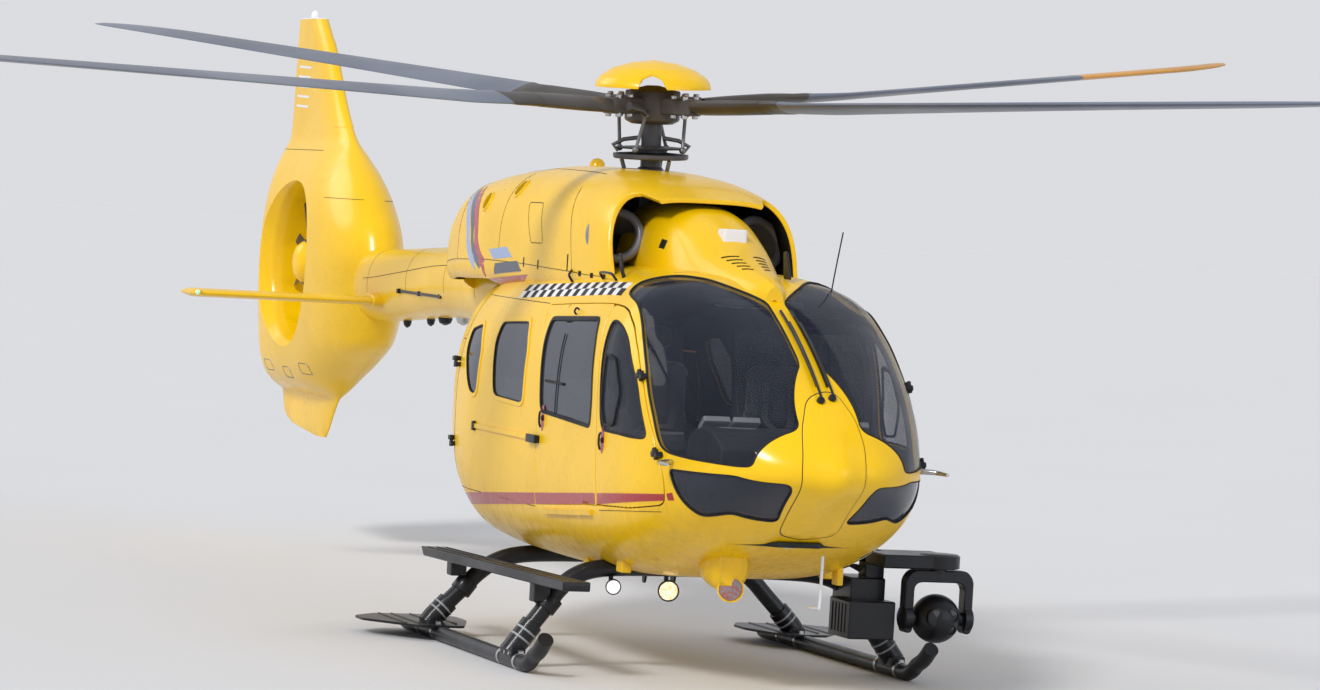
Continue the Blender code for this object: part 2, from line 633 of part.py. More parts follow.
BOOM_COLUMNS = ("x", "centre", "half_width", "half_height")
BOOM = (
    (-1.50, 2.10, 0.30, 0.28),
    (-2.20, 2.11, 0.29, 0.28),
    (-2.80, 2.11, 0.27, 0.265),
    (-3.50, 2.105, 0.245, 0.245),
    (-4.50, 2.06, 0.215, 0.25),
    (-5.50, 2.015, 0.19, 0.262),
    (-6.00, 2.01, 0.18, 0.262),
)
TAIL_COLUMNS = ("z", "front", "back", "half_width")
TAIL = (
    (0.815, -6.90, -7.14, 0.020),
    (0.87, -6.83, -7.80, 0.030),
    (0.95, -6.76, -8.05, 0.034),
    (1.11, -6.60, -8.12, 0.040),
    (1.17, -6.52, -8.13, 0.13),
    (1.25, -6.43, -8.13, 0.21),
    (1.40, -6.10, -8.13, 0.275),
    (1.60, -5.70, -8.13, 0.31),
    (1.85, -5.60, -8.13, 0.33),
    (2.10, -5.60, -8.13, 0.335),
    (2.35, -5.68, -8.13, 0.325),
    (2.60, -5.90, -8.13, 0.29),
    (2.80, -6.15, -8.13, 0.23),
    (2.95, -6.40, -8.13, 0.16),
    (3.06, -6.58, -8.13, 0.10),
    (3.25, -6.82, -8.13, 0.085),
    (3.75, -7.29, -8.12, 0.072),
    (3.975, -7.57, -8.12, 0.062),
)


def boom_solid(name, offset=0.0, reach=0.0):
    """Tail boom, grown by offset and longer by reach at each end."""
    rings = []
    for x, centre, half_width, half_height in BOOM:
        if x in (BOOM[0][0], BOOM[-1][0]):
            x += math.copysign(reach, x - BOOM[2][0])
        section = superellipse(half_width, centre + half_height, centre - half_height, centre,
                               2.2, 2.2, 20, offset)
        rings.append([(x, y, z) for y, z in section])
    return loft(name, rings, "yellow_paint")


def stabiliser_solid(name, offset=0.0):
    """Tailplane running through the boom."""
    section = []
    for k in range(16):
        angle = 2 * math.pi * k / 16
        section.append((-5.20 + (0.20 + offset) * math.cos(angle),
                        1.905 + (0.026 + offset) * math.sin(angle) * (1.15 + 0.35 * math.cos(angle))))
    return prism(name, section, 1, -1.57 - offset, 1.57 + offset, "yellow_paint", smooth=True)


def fin_section(front, back, half):
    """Plan section of the fin and shroud: long nose, parallel sides, blunt tail."""
    upper = []
    chord = front - back
    for u in (0.0, 0.01, 0.04, 0.10, 0.18, 0.28, 0.40, 0.60, 0.80, 0.93, 0.985, 1.0):
        if u < 0.40:
            width = (1 - (1 - u / 0.40) ** 2.1) ** (1 / 2.1)
        elif u > 0.80:
            width = (1 - ((u - 0.80) / 0.20) ** 4 * 0.75) ** 0.5
        else:
            width = 1.0
        upper.append((front - u * chord, half * width))
    lower = [(x, -y) for x, y in reversed(upper[1:])]
    return upper + lower


def fin_solid(name, wall=0.0):
    """Fin and shroud without the duct, or the space inside their wall."""
    rings = []
    for z, front, back, half in TAIL:
        if half - wall > 0.02 or not wall:
            z = min(z, TAIL[-1][0] - wall)
            rings.append([(x, y, z) for x, y in fin_section(front - wall, back + wall, half - wall)])
    return loft(name, rings, "yellow_paint")


def duct_solid(name, grow=0.0):
    """Space inside the shroud, with its flared mouths, grown in radius."""
    profile = ((0.74, -0.40), (0.665, -0.31), (0.60, -0.24), (DUCT_RADIUS, -0.16), (DUCT_RADIUS, 0.16),
               (0.60, 0.24), (0.665, 0.31), (0.74, 0.40))
    duct = turned(name, [(radius + grow, y) for radius, y in profile], "yellow_paint", DUCT_SIDES, "Y")
    duct.location = (DUCT_X, 0.0, DUCT_Z)
    return duct


def build_tail():
    """Boom, tailplane, fin with shroud, vanes and fan."""
    boom = boom_solid("tail_boom")
    combine(boom, boom_solid("tool", -BOOM_WALL, 0.02), "DIFFERENCE")
    combine(boom, pod_solid("tool", GAP), "DIFFERENCE")
    combine(boom, stabiliser_solid("tool", GAP), "DIFFERENCE")
    stabiliser_solid("stabiliser")
    fin = fin_solid("tail_fin")
    space = fin_solid("tool2", FIN_WALL)
    combine(space, duct_solid("tool", FIN_WALL), "DIFFERENCE")
    combine(fin, space, "DIFFERENCE")
    combine(fin, duct_solid("tool"), "DIFFERENCE")
    combine(fin, boom_solid("tool", GAP), "DIFFERENCE")
    profile = ((0.10, 0.0), (0.19, 0.005), (0.19, 0.10), (0.15, 0.17), (0.06, 0.20))
    support = turned("fan_support", profile, "yellow_paint", 24, "Y")
    support.location = (DUCT_X, 0.0, DUCT_Z)
    for k in range(VANES):
        angle = 2 * math.pi * (k + 0.35) / VANES
        vane = block("tool", (-0.012, 0.015, 0.15), (0.012, 0.115, DUCT_RADIUS + 0.01))
        vane.matrix_world = Matrix.Translation((DUCT_X, 0, DUCT_Z)) @ Matrix.Rotation(angle, 4, "Y")
        combine(support, vane, "UNION")
    bore = turned("tool", ((DUCT_RADIUS - GAP, -0.14), (DUCT_RADIUS - GAP, 0.3)), "yellow_paint",
                  DUCT_SIDES, "Y")
    bore.location = (DUCT_X, 0.0, DUCT_Z)
    combine(support, bore, "INTERSECT")
    profile = ((0.05, -0.235), (0.12, -0.215), (0.165, -0.165), (0.175, -0.13), (0.175, -0.012), (0.05, -0.012), (0.05, -GAP))
    fan = turned("tail_fan", profile, "hub_metal", 24, "Y")
    fan.location = (DUCT_X, 0.0, DUCT_Z)
    for k in range(FAN_BLADES):
        angle = 2 * math.pi * k / FAN_BLADES
        blade = block("tool", (-0.045, -0.078, 0.12), (0.045, -0.062, FAN_RADIUS))
        blade.matrix_world = (Matrix.Translation((DUCT_X, 0, DUCT_Z)) @ Matrix.Rotation(angle, 4, "Y")
                              @ Matrix.Translation((0, -0.07, 0)) @ Matrix.Rotation(math.radians(28), 4, "Z")
                              @ Matrix.Translation((0, 0.07, 0)))
        combine(fan, blade, "UNION")


def rotor_frame():
    """Matrix from the rotor's own frame, with its hub at the origin, to the machine."""
    axis = Vector(ROTOR_AXIS).normalized()
    tilt = Vector((0, 0, 1)).rotation_difference(axis).to_matrix().to_4x4()
    return Matrix.Translation(ROTOR_HUB) @ tilt


def build_rotor():
    """Mast, hub with its cap, and four blades."""
    frame = rotor_frame()
    profile = ((MAST_RADIUS, MAST_FOOT), (MAST_RADIUS, -0.33), (0.23, -0.33), (0.24, -0.30), (0.23, -0.265),
               (MAST_RADIUS, -0.255), (MAST_RADIUS, -0.115))
    mast = turned("mast", profile, "hub_metal", 24)
    mast.matrix_world = frame
    profile = ((0.13, -0.1147), (0.17, -0.09), (0.17, 0.085), (0.365, 0.10), (0.365, 0.125),
               (0.33, 0.175), (0.25, 0.225), (0.14, 0.26), (0.04, 0.272))
    hub = turned("rotor_hub", profile, "hub_metal", 24)
    hub.matrix_world = frame
    for k in range(2):
        arm = block("tool", (-BLADE_ROOT + GAP, -0.075, -0.05), (BLADE_ROOT - GAP, 0.075, 0.05))
        arm.matrix_world = frame @ Matrix.Rotation(math.radians(ROTOR_AZIMUTH + 90 * k), 4, "Z")
        combine(hub, arm, "UNION")
    stations = (
        (BLADE_ROOT, 0.16, 0.080, 0.5, 14.0),
        (0.60, 0.15, 0.085, 0.5, 13.5),
        (1.00, 0.17, 0.075, 0.5, 12.5),
        (1.30, 0.27, 0.050, 0.30, 11.5),
        (1.60, BLADE_CHORD, 0.040, 0.25, 10.5),
        (3.20, BLADE_CHORD, 0.038, 0.25, 6.0),
        (4.80, BLADE_CHORD, 0.034, 0.25, 2.5),
        (5.15, 0.29, 0.028, 0.32, 2.0),
        (5.40, 0.22, 0.018, 0.50, 1.8),
        (ROTOR_RADIUS, 0.12, 0.010, 0.85, 1.6),
    )
    for index in range(4):
        rings = []
        for radius, chord, thick, lead, pitch in stations:
            ring = []
            twist = math.radians(pitch)
            for k in range(12):
                angle = 2 * math.pi * k / 12
                along = chord * (0.5 * math.cos(angle) + 0.5 - lead) * -1.0
                fat = 1.0 if radius < 1.2 else 1.0 - 0.45 * math.cos(angle)
                up = thick / 2 * math.sin(angle) * fat
                ring.append((radius, -along * math.cos(twist) - up * math.sin(twist) - chord * (1 - 2 * lead),
                             -along * math.sin(twist) * -1.0 + up * math.cos(twist)))
            rings.append(ring)
        blade = loft("blade_%d" % (index + 1), rings, "rotor_grey")
        cone = Matrix.Translation((BLADE_ROOT, 0, 0)) @ Matrix.Rotation(math.radians(-ROTOR_CONE), 4, "Y")
        turn = Matrix.Rotation(math.radians(ROTOR_AZIMUTH + 90 * index), 4, "Z")
        blade.matrix_world = frame @ turn @ cone @ Matrix.Translation((-BLADE_ROOT, 0, 0))
        trim = block("tool", (-1, -1, -1), (BLADE_ROOT, 1, 1))
        trim.matrix_world = frame @ turn
        combine(blade, trim, "DIFFERENCE")


FRONT_PATH = ((1.172, 0.130), (1.075, 0.26), (0.988, 0.375), (0.93, 0.455), (0.84, 0.535),
              (0.70, 0.585), (0.45, 0.602), (0.0, 0.605))
REAR_PATH = ((1.172, 0.130), (1.08, 0.225), (0.98, 0.325), (0.90, 0.405), (0.80, 0.475),
             (0.66, 0.520), (0.42, 0.538), (0.0, 0.542))


def cross_tube(name, x, path, radius):
    """Cross tube: one half's path of (y, z), mirrored; a wider one also reaches further down."""
    (y0, z0), (y1, z1) = path[:2]
    reach = (radius - TUBE_RADIUS) / math.hypot(y0 - y1, z0 - z1)
    path = ((y0 + (y0 - y1) * reach, z0 + (z0 - z1) * reach),) + tuple(path[1:])
    points = [(x, -y, z) for y, z in path] + [(x, y, z) for y, z in reversed(path[:-1])]
    return pipe(name, points, radius, "black_metal", 12)


def build_gear(nose, belly):
    """Cross tubes in their slots under the belly, skids with pads and saddles, and the step."""
    for name, x, path in (("cross_tube_front", FRONT_TUBE_X, FRONT_PATH),
                          ("cross_tube_rear", REAR_TUBE_X, REAR_PATH)):
        tube = cross_tube(name, x, path, TUBE_RADIUS)
        combine(belly, cross_tube("tool", x, path, TUBE_RADIUS + GAP), "DIFFERENCE")
        slot = block("tool", (x - TUBE_RADIUS - GAP, -1.1, 0.40), (x + TUBE_RADIUS + GAP, 1.1, path[-1][1]))
        combine(belly, slot, "DIFFERENCE")
    pad = ((-0.60, -0.20), (-0.60, 0.22), (-0.42, 0.40), (-0.25, 0.40), (0.12, 0.14), (0.12, -0.14),
           (-0.25, -0.27), (-0.45, -0.27))
    for side in (-1, 1):
        end = side_name(side)
        path = ((SKID_REAR, side * SKID_Y, SKID_RADIUS), (1.76, side * SKID_Y, SKID_RADIUS),
                (1.84, side * SKID_Y, SKID_RADIUS + 0.022), (1.91, side * SKID_Y, SKID_RADIUS + 0.065),
                (2.10, side * SKID_Y, 0.225))
        skid = pipe("skid_" + end, path, SKID_RADIUS, "black_metal", 12)
        outline = tuple((x, side * (SKID_Y + y)) for x, y in pad)
        combine(skid, prism("tool", outline, 2, 0.082, 0.097, "black_metal"), "UNION")
        for x, route in ((FRONT_TUBE_X, FRONT_PATH), (REAR_TUBE_X, REAR_PATH)):
            foot = block("tool", (x - FOOT_HALF_LENGTH, side * SKID_Y - FOOT_HALF_WIDTH, 0.05),
                         (x + FOOT_HALF_LENGTH, side * SKID_Y + FOOT_HALF_WIDTH, 0.125))
            combine(skid, foot, "UNION")
            upper = [(x, side * y, z) for y, z in (route[0], route[1])]
            low = (x, side * 1.205, 0.085)
            sleeve = pipe("tool", (low, upper[0], upper[1]), SLEEVE_RADIUS, "black_metal", 12)
            combine(skid, sleeve, "UNION")
            combine(skid, cross_tube("tool", x, route, TUBE_RADIUS + GAP), "DIFFERENCE")


def build_step():
    """Boarding step along the starboard side, on brackets at the cross tubes."""
    outline = ((-0.54, 0.465), (2.19, 0.508), (2.19, 0.565), (-0.60, 0.520))
    step = prism("step_right", outline, 1, -1.13, -0.965, "black_metal")
    for x, path, z in ((FRONT_TUBE_X, FRONT_PATH, 0.49), (REAR_TUBE_X, REAR_PATH, 0.47)):
        arm = block("tool", (x - 0.05, -1.09, 0.38), (x + 0.05, -0.99, z + 0.02))
        combine(step, arm, "UNION")
        combine(step, cross_tube("tool", x, path, TUBE_RADIUS + GAP), "DIFFERENCE")


def build_gimbal():
    """Stabilised camera on the port front cross tube: carrier, yoke that pans and ball that tilts."""
    carrier = block("gimbal_carrier", (1.575, 0.74, 0.25), (1.90, 1.03, 0.475), "black_metal")
    combine(carrier, block("tool", (1.46, 0.80, 0.44), (1.75, 1.02, 0.60)), "UNION")
    combine(carrier, block("tool", (1.60, 0.90, 0.68), (2.00, 1.36, 0.76)), "UNION")
    combine(carrier, block("tool", (1.60, 0.90, 0.44), (1.72, 1.02, 0.76)), "UNION")
    combine(carrier, cross_tube("tool", FRONT_TUBE_X, FRONT_PATH, TUBE_RADIUS + GAP), "DIFFERENCE")
    outline = []
    for y, z in ((-0.215, 0.30), (-0.215, 0.62), (-0.17, 0.672), (0.17, 0.672), (0.215, 0.62), (0.215, 0.30),
                 (0.16, 0.30), (0.16, 0.575), (0.13, 0.60), (-0.13, 0.60), (-0.16, 0.575), (-0.16, 0.30)):
        outline.append((GIMBAL_Y + y, z))
    yoke = prism("gimbal_yoke", outline, 0, GIMBAL_X - 0.045, GIMBAL_X + 0.045, "black_metal")
    pin = turned("tool", ((0.05, 0.65), (0.05, 0.68 - GAP)), "black_metal", 20)
    pin.location = (GIMBAL_X, GIMBAL_Y, 0.0)
    combine(yoke, pin, "UNION")
    profile = []
    for k in range(9):
        angle = math.pi * (k + 0.35) / 8.7
        profile.append((BALL_RADIUS * math.sin(angle), -BALL_RADIUS * math.cos(angle)))
    ball = turned("gimbal_ball", profile, "black_metal", 18, "Y")
    ball.location = (GIMBAL_X, GIMBAL_Y, BALL_Z)
    shaft = turned("tool", ((0.04, -0.16 + GAP), (0.04, 0.16 - GAP)), "black_metal", 10, "Y")
    shaft.location = (GIMBAL_X, GIMBAL_Y, BALL_Z)
    combine(ball, shaft, "UNION")


def joint_points():
    """Point on its joint's axis for each moving piece."""
    points = {name: ROTOR_HUB for name in ("mast", "rotor_hub", "blade_1", "blade_2", "blade_3", "blade_4")}
    points["tail_fan"] = (DUCT_X, 0.0, DUCT_Z)
    points["gimbal_yoke"] = (GIMBAL_X, GIMBAL_Y, BALL_Z)
    points["gimbal_ball"] = (GIMBAL_X, GIMBAL_Y, BALL_Z)
    for side in (-1, 1):
        for label, pin in (("pilot_", PILOT_PIN), ("clamshell_", CLAM_PIN)):
            x, y, z = pin[0]
            door = "pilot_door_" if label == "pilot_" else label
            points[door + side_name(side)] = (x, side * y, z)
            points[label + "window_" + side_name(side)] = (x, side * y, z)
    return points


def main():
    """Builds the machine and moves it onto its origin."""
    for old in list(bpy.data.objects):
        bpy.data.objects.remove(old)
    nose, roof, belly, tail = build_pod()
    build_interior()
    build_deck()
    build_tail()
    combine(tail, boom_solid("tool", GAP), "DIFFERENCE")
    build_rotor()
    build_gear(nose, belly)
    build_step()
    build_gimbal()
    pivots = joint_points()
    for made in bpy.data.objects:
        point = Vector(pivots.get(made.name, (0.0, 0.0, 0.0)))
        made.data.transform(Matrix.Translation(-point) @ made.matrix_world)
        made.matrix_world = Matrix.Translation(point + Vector((MAST_X, MAST_Y, 0.0)))


main()
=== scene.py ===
"""Looks of a light twin-engine rescue helicopter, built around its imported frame.

Places are measured from the foot of the rotor mast (x forward, y to port, z up from the skids'
underside) and moved by MAST into the frame, so they read like the part's own source.
"""

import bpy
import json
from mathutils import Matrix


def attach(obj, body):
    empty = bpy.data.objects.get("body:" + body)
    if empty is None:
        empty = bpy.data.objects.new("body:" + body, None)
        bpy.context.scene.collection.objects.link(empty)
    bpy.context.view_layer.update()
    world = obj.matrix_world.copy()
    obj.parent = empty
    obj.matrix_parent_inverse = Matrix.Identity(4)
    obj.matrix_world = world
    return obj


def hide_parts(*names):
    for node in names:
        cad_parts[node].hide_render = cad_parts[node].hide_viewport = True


bl_info = {
    "name": "Rescue helicopter looks",
    "version": (1, 0, 0),
    "blender": (4, 5, 0),
    "location": "View3D > Sidebar > Helicopter",
    "description": "Panels, glass, rotor, gear and finishes of a light twin-engine helicopter",
    "category": "Object",
}

import json
import math

import bmesh
import bpy
import numpy as np
from bpy.props import FloatProperty, FloatVectorProperty, IntProperty, PointerProperty
from mathutils import Matrix, Vector
from mathutils.geometry import delaunay_2d_cdt

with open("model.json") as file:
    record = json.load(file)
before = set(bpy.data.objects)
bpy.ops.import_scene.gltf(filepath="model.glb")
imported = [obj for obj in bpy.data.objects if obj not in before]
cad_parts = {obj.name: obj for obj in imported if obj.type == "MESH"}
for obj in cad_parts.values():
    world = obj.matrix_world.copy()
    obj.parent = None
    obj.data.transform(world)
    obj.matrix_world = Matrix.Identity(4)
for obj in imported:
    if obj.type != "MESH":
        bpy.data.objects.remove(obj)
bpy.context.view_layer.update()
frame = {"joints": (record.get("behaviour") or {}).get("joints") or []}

# Frame of the machine, from its joints
JOINTS = {joint["name"]: joint for joint in frame["joints"]}
HUB = np.array((0.03, 0.0, 3.325))
MAST = np.array(JOINTS["main_rotor_spin"]["pos_m"]) - HUB
MAST[2] = 0.0
WALL, SKIN_THICKNESS = 0.05, 0.030
SIDES = ((-1, "right"), (1, "left"))

# Fuselage pod sections: x, half width, top, bottom, widest height, roundness above and below
POD = np.array((
    (-2.28, 0.05, 1.98, 1.84, 1.92, 2.0, 2.0),
    (-2.20, 0.25, 2.10, 1.68, 1.88, 2.0, 2.2),
    (-2.05, 0.39, 2.18, 1.46, 1.80, 2.0, 2.4),
    (-1.80, 0.54, 2.24, 1.16, 1.65, 2.1, 2.7),
    (-1.50, 0.68, 2.28, 0.92, 1.52, 2.3, 3.0),
    (-1.20, 0.785, 2.31, 0.74, 1.42, 2.4, 3.3),
    (-0.90, 0.845, 2.33, 0.63, 1.37, 2.6, 3.6),
    (-0.55, 0.868, 2.34, 0.57, 1.34, 2.8, 4.0),
    (-0.10, 0.870, 2.35, 0.545, 1.33, 3.1, 4.0),
    (0.60, 0.870, 2.36, 0.54, 1.33, 3.3, 4.0),
    (1.30, 0.870, 2.36, 0.55, 1.33, 3.6, 4.0),
    (1.70, 0.870, 2.345, 0.57, 1.33, 3.8, 3.8),
    (1.96, 0.870, 2.32, 0.595, 1.32, 3.8, 3.6),
    (2.20, 0.862, 2.25, 0.645, 1.31, 3.4, 3.4),
    (2.40, 0.843, 2.165, 0.705, 1.30, 3.0, 3.2),
    (2.70, 0.781, 2.005, 0.80, 1.30, 2.6, 2.9),
    (2.95, 0.689, 1.84, 0.92, 1.30, 2.3, 2.6),
    (3.15, 0.573, 1.68, 1.05, 1.30, 2.2, 2.4),
    (3.30, 0.437, 1.53, 1.14, 1.30, 2.1, 2.2),
    (3.40, 0.285, 1.42, 1.20, 1.30, 2.0, 2.1),
    (3.445, 0.15, 1.36, 1.245, 1.30, 2.0, 2.0),
    (3.46, 0.05, 1.32, 1.28, 1.30, 2.0, 2.0),
))

# Panel outlines in side view, each point (x, z)
PILOT_DOOR = (
    (1.73, 2.138), (1.88, 2.130), (1.984, 2.108), (2.119, 2.029), (2.265, 1.896), (2.433, 1.705),
    (2.626, 1.433), (2.739, 1.211), (2.744, 1.142), (2.72, 1.07), (2.664, 1.04), (1.895, 0.98),
    (1.865, 1.25), (1.84, 1.467), (1.82, 1.696), (1.762, 1.924), (1.722, 2.051),
)
SLIDING_DOOR = (
    (0.548, 2.085), (1.10, 2.115), (1.73, 2.138), (1.722, 2.051), (1.762, 1.924), (1.82, 1.696),
    (1.84, 1.467), (1.865, 1.25), (1.895, 0.975), (0.76, 0.90), (0.76, 1.279), (0.735, 1.516),
    (0.709, 1.754), (0.62, 1.99),
)
PILOT_WINDOW = (
    (1.825, 2.04), (1.90, 2.047), (2.019, 2.018), (2.125, 1.955), (2.378, 1.70), (2.51, 1.50),
    (2.555, 1.43), (2.52, 1.403), (1.955, 1.414), (1.905, 1.471), (1.875, 1.612), (1.83, 1.87),
)
SLIDING_WINDOW = (
    (0.727, 2.014), (1.62, 2.05), (1.69, 1.87), (1.74, 1.58), (1.735, 1.414),
    (0.842, 1.451), (0.80, 1.49), (0.724, 1.875),
)
SIDE_WINDOW = (
    (-0.20, 1.948), (0.34, 1.973), (0.45, 1.80), (0.468, 1.50), (0.42, 1.478),
    (-0.085, 1.492), (-0.135, 1.526), (-0.23, 1.83),
)
AFT_WINDOW = (
    (-0.87, 1.876), (-0.617, 1.919), (-0.48, 1.75), (-0.465, 1.507), (-0.52, 1.476),
    (-0.62, 1.49), (-0.70, 1.55), (-0.86, 1.739),
)
REAR_WINDOW = ((-1.75, 1.70), (-1.28, 1.70), (-1.22, 1.35), (-1.50, 1.35))

# Outlines on the front of the pod, each point (x, y, z) on the starboard side
WINDSHIELD = (
    (1.763, 0.69, 2.208), (1.713, 0.609, 2.268), (1.817, 0.404, 2.322), (2.065, 0.248, 2.292),
    (2.316, 0.055, 2.203), (2.609, 0.055, 2.056), (2.879, 0.055, 1.89), (3.281, 0.188, 1.53),
    (3.288, 0.448, 1.318), (3.233, 0.503, 1.312), (2.944, 0.691, 1.329), (2.777, 0.757, 1.347),
    (2.714, 0.776, 1.370), (2.668, 0.786, 1.413), (2.587, 0.795, 1.546), (2.507, 0.797, 1.651),
    (2.396, 0.784, 1.805), (2.279, 0.764, 1.938), (2.18, 0.745, 2.034), (2.082, 0.726, 2.110),
    (1.997, 0.716, 2.155), (1.87, 0.707, 2.182),
)
CHIN_WINDOW = (
    (2.787, 0.754, 1.259), (3.20, 0.52, 1.262), (3.385, 0.248, 1.239), (3.36, 0.225, 1.205),
    (3.069, 0.203, 1.005), (3.04, 0.45, 1.045), (2.90, 0.585, 1.005),
)

REAR_SEAM_X, NOSE_SEAM_X = -1.0, 1.70
REAR_END, NOSE_END = -2.19, 3.452
CLAM_TOP, SILL = 1.80, 0.88
KEEL_GAP = 0.0035


def curve_through(xs, ys, x):
    """Monotone cubic through the points (xs, ys), read at an array x: on each span the cubic
    whose end slopes are the weighted harmonic mean of the neighbouring spans' slopes."""
    xs, ys, x = np.asarray(xs, float), np.asarray(ys, float), np.asarray(x, float)
    step = np.diff(xs)
    slope = np.diff(ys) / step
    before, after = 2 * step[1:] + step[:-1], step[1:] + 2 * step[:-1]
    same = slope[:-1] * slope[1:] > 0
    safe = np.where(same, slope[:-1], 1.0), np.where(same, slope[1:], 1.0)
    inner = np.where(same, (before + after) / (before / safe[0] + after / safe[1]), 0.0)
    tangent = np.concatenate(([slope[0]], inner, [slope[-1]]))
    x = np.clip(x, xs[0], xs[-1])
    i = np.clip(np.searchsorted(xs, x, side="right") - 1, 0, len(xs) - 2)
    t = (x - xs[i]) / step[i]
    start = (1 + 2 * t) * (1 - t) ** 2 * ys[i] + t * (1 - t) ** 2 * step[i] * tangent[i]
    end = t * t * (3 - 2 * t) * ys[i + 1] + t * t * (t - 1) * step[i] * tangent[i + 1]
    return start + end


def unit(vectors):
    """Each row divided by its length."""
    return vectors / np.maximum(np.linalg.norm(vectors, axis=-1, keepdims=True), 1e-12)


def oval(half_width, top, bottom, widest, n_top, n_bottom, angle):
    """Point (y, z) of a superellipse section in the direction of angle from (0, widest): the
    radius r solves (r cos / half_width)^n + (r sin / rise)^n = 1, with its own n and rise above
    and below the widest line."""
    c, s = np.cos(angle), np.sin(angle)
    power = np.where(s >= 0, n_top, n_bottom)
    rise = np.where(s >= 0, top - widest, widest - bottom)
    r = ((np.abs(c) / half_width) ** power + (np.abs(s) / rise) ** power) ** (-1.0 / power)
    return r * c, widest + r * s


# The pod as a surface of station s along its side line and angle a round its section
_STATIONS = np.linspace(POD[0, 0], POD[-1, 0], 4001)
_SIDE = curve_through(POD[:, 0], POD[:, 1], _STATIONS)
_LENGTHS = np.concatenate(([0.0], np.cumsum(np.hypot(np.diff(_STATIONS), np.diff(_SIDE)))))


def along(x):
    """Length along the pod's side line at station x."""
    return np.interp(x, _STATIONS, _LENGTHS)


def pod_angle(x, y, z):
    """Section angle of a point on the pod, counted from straight down through port."""
    widest = curve_through(POD[:, 0], POD[:, 4], x)
    angle = np.arctan2(z - widest, y)
    return np.where(angle < -math.pi / 2, angle + 2 * math.pi, angle)


def pod_half_width(x, z):
    """Half width of the pod at station x and height z."""
    half_width, top, bottom, widest, n_top, n_bottom = (
        curve_through(POD[:, 0], POD[:, k], x) for k in range(1, 7))
    over = z >= widest
    power = np.where(over, n_top, n_bottom)
    rise = np.where(over, top - widest, widest - bottom)
    part = np.clip(np.abs(z - widest) / rise, 0, 1)
    return half_width * (1 - part ** power) ** (1 / power)


ANGLE_SCALE = 0.85


def on_side(outline, side):
    """Side-view outline (x, z) as pod coordinates (s, scaled angle) on one side."""
    outline = np.asarray(outline, float)
    x, z = outline[:, 0], outline[:, 1]
    return np.stack((along(x), pod_angle(x, side * pod_half_width(x, z), z) * ANGLE_SCALE), -1)


def on_front(outline, side):
    """Outline of (x, |y|, z) points near the pod as pod coordinates on one side."""
    outline = np.asarray(outline, float)
    x, y, z = outline.T
    return np.stack((along(x), pod_angle(x, side * y, z) * ANGLE_SCALE), -1)


def rounded(outline, radius, count=6):
    """Closed outline with each corner replaced by a parabola that leaves the edges at most
    radius, and at most half an edge, from the corner."""
    p = np.asarray(outline, float)
    before, after = np.roll(p, 1, 0) - p, np.roll(p, -1, 0) - p
    size_before = np.linalg.norm(before, axis=1, keepdims=True)
    size_after = np.linalg.norm(after, axis=1, keepdims=True)
    start = p + before / size_before * np.minimum(radius, size_before * 0.5)
    end = p + after / size_after * np.minimum(radius, size_after * 0.5)
    t = np.linspace(0, 1, count)[None, :, None]
    curve = (1 - t) ** 2 * start[:, None] + 2 * t * (1 - t) * p[:, None] + t ** 2 * end[:, None]
    points = curve.reshape(-1, p.shape[1])
    keep = np.linalg.norm(points - np.roll(points, 1, 0), axis=1) > 1e-5
    return points[keep]


def resampled(loop, spacing):
    """Closed loop with points added so that no edge is longer than spacing."""
    after = np.roll(loop, -1, 0)
    count = np.maximum(1, np.ceil(np.linalg.norm(after - loop, axis=1) / spacing)).astype(int)
    index = np.repeat(np.arange(len(loop)), count)
    share = np.concatenate([np.arange(c) / c for c in count])[:, None]
    return loop[index] * (1 - share) + after[index] * share


def circle(count):
    """Angles that go once round, the last short of the first."""
    return np.linspace(0, 2 * math.pi, count, endpoint=False)


def signed_area(loop):
    """Area inside a closed loop, above zero when it runs anticlockwise."""
    x, y = loop[:, 0], loop[:, 1]
    return 0.5 * np.sum(x * np.roll(y, -1) - np.roll(x, -1) * y)


def inset(loop, amount):
    """Closed loop moved inwards by amount, along the mean of its edges' normals."""
    edge = unit(np.roll(loop, -1, 0) - loop)
    normal = np.stack((-edge[:, 1], edge[:, 0]), -1) * math.copysign(1.0, signed_area(loop))
    mean = unit(normal + np.roll(normal, 1, 0))
    reach = np.maximum(0.5, np.sum(mean * normal, 1, keepdims=True))
    return loop + mean * amount / reach


def inside(points, loop):
    """Which points lie inside a closed loop, by counting the edges to their right."""
    a, b = loop, np.roll(loop, -1, 0)
    found = np.zeros(len(points), bool)
    for start in range(0, len(points), 4000):
        p = points[start:start + 4000]
        y = p[:, 1:2]
        crosses = (a[:, 1] > y) != (b[:, 1] > y)
        rise = np.where(np.abs(b[:, 1] - a[:, 1]) < 1e-12, 1e-12, b[:, 1] - a[:, 1])
        x = a[:, 0] + (y - a[:, 1]) * (b[:, 0] - a[:, 0]) / rise
        found[start:start + 4000] = (crosses & (p[:, 0:1] < x)).sum(1) % 2 == 1
    return found


def near_loop(points, loop, reach):
    """Which points lie within reach of a loop's own points."""
    found = np.zeros(len(points), bool)
    for start in range(0, len(points), 2000):
        p = points[start:start + 2000]
        gap = np.min(np.sum((p[:, None] - loop[None]) ** 2, -1), 1)
        found[start:start + 2000] = gap < reach * reach
    return found


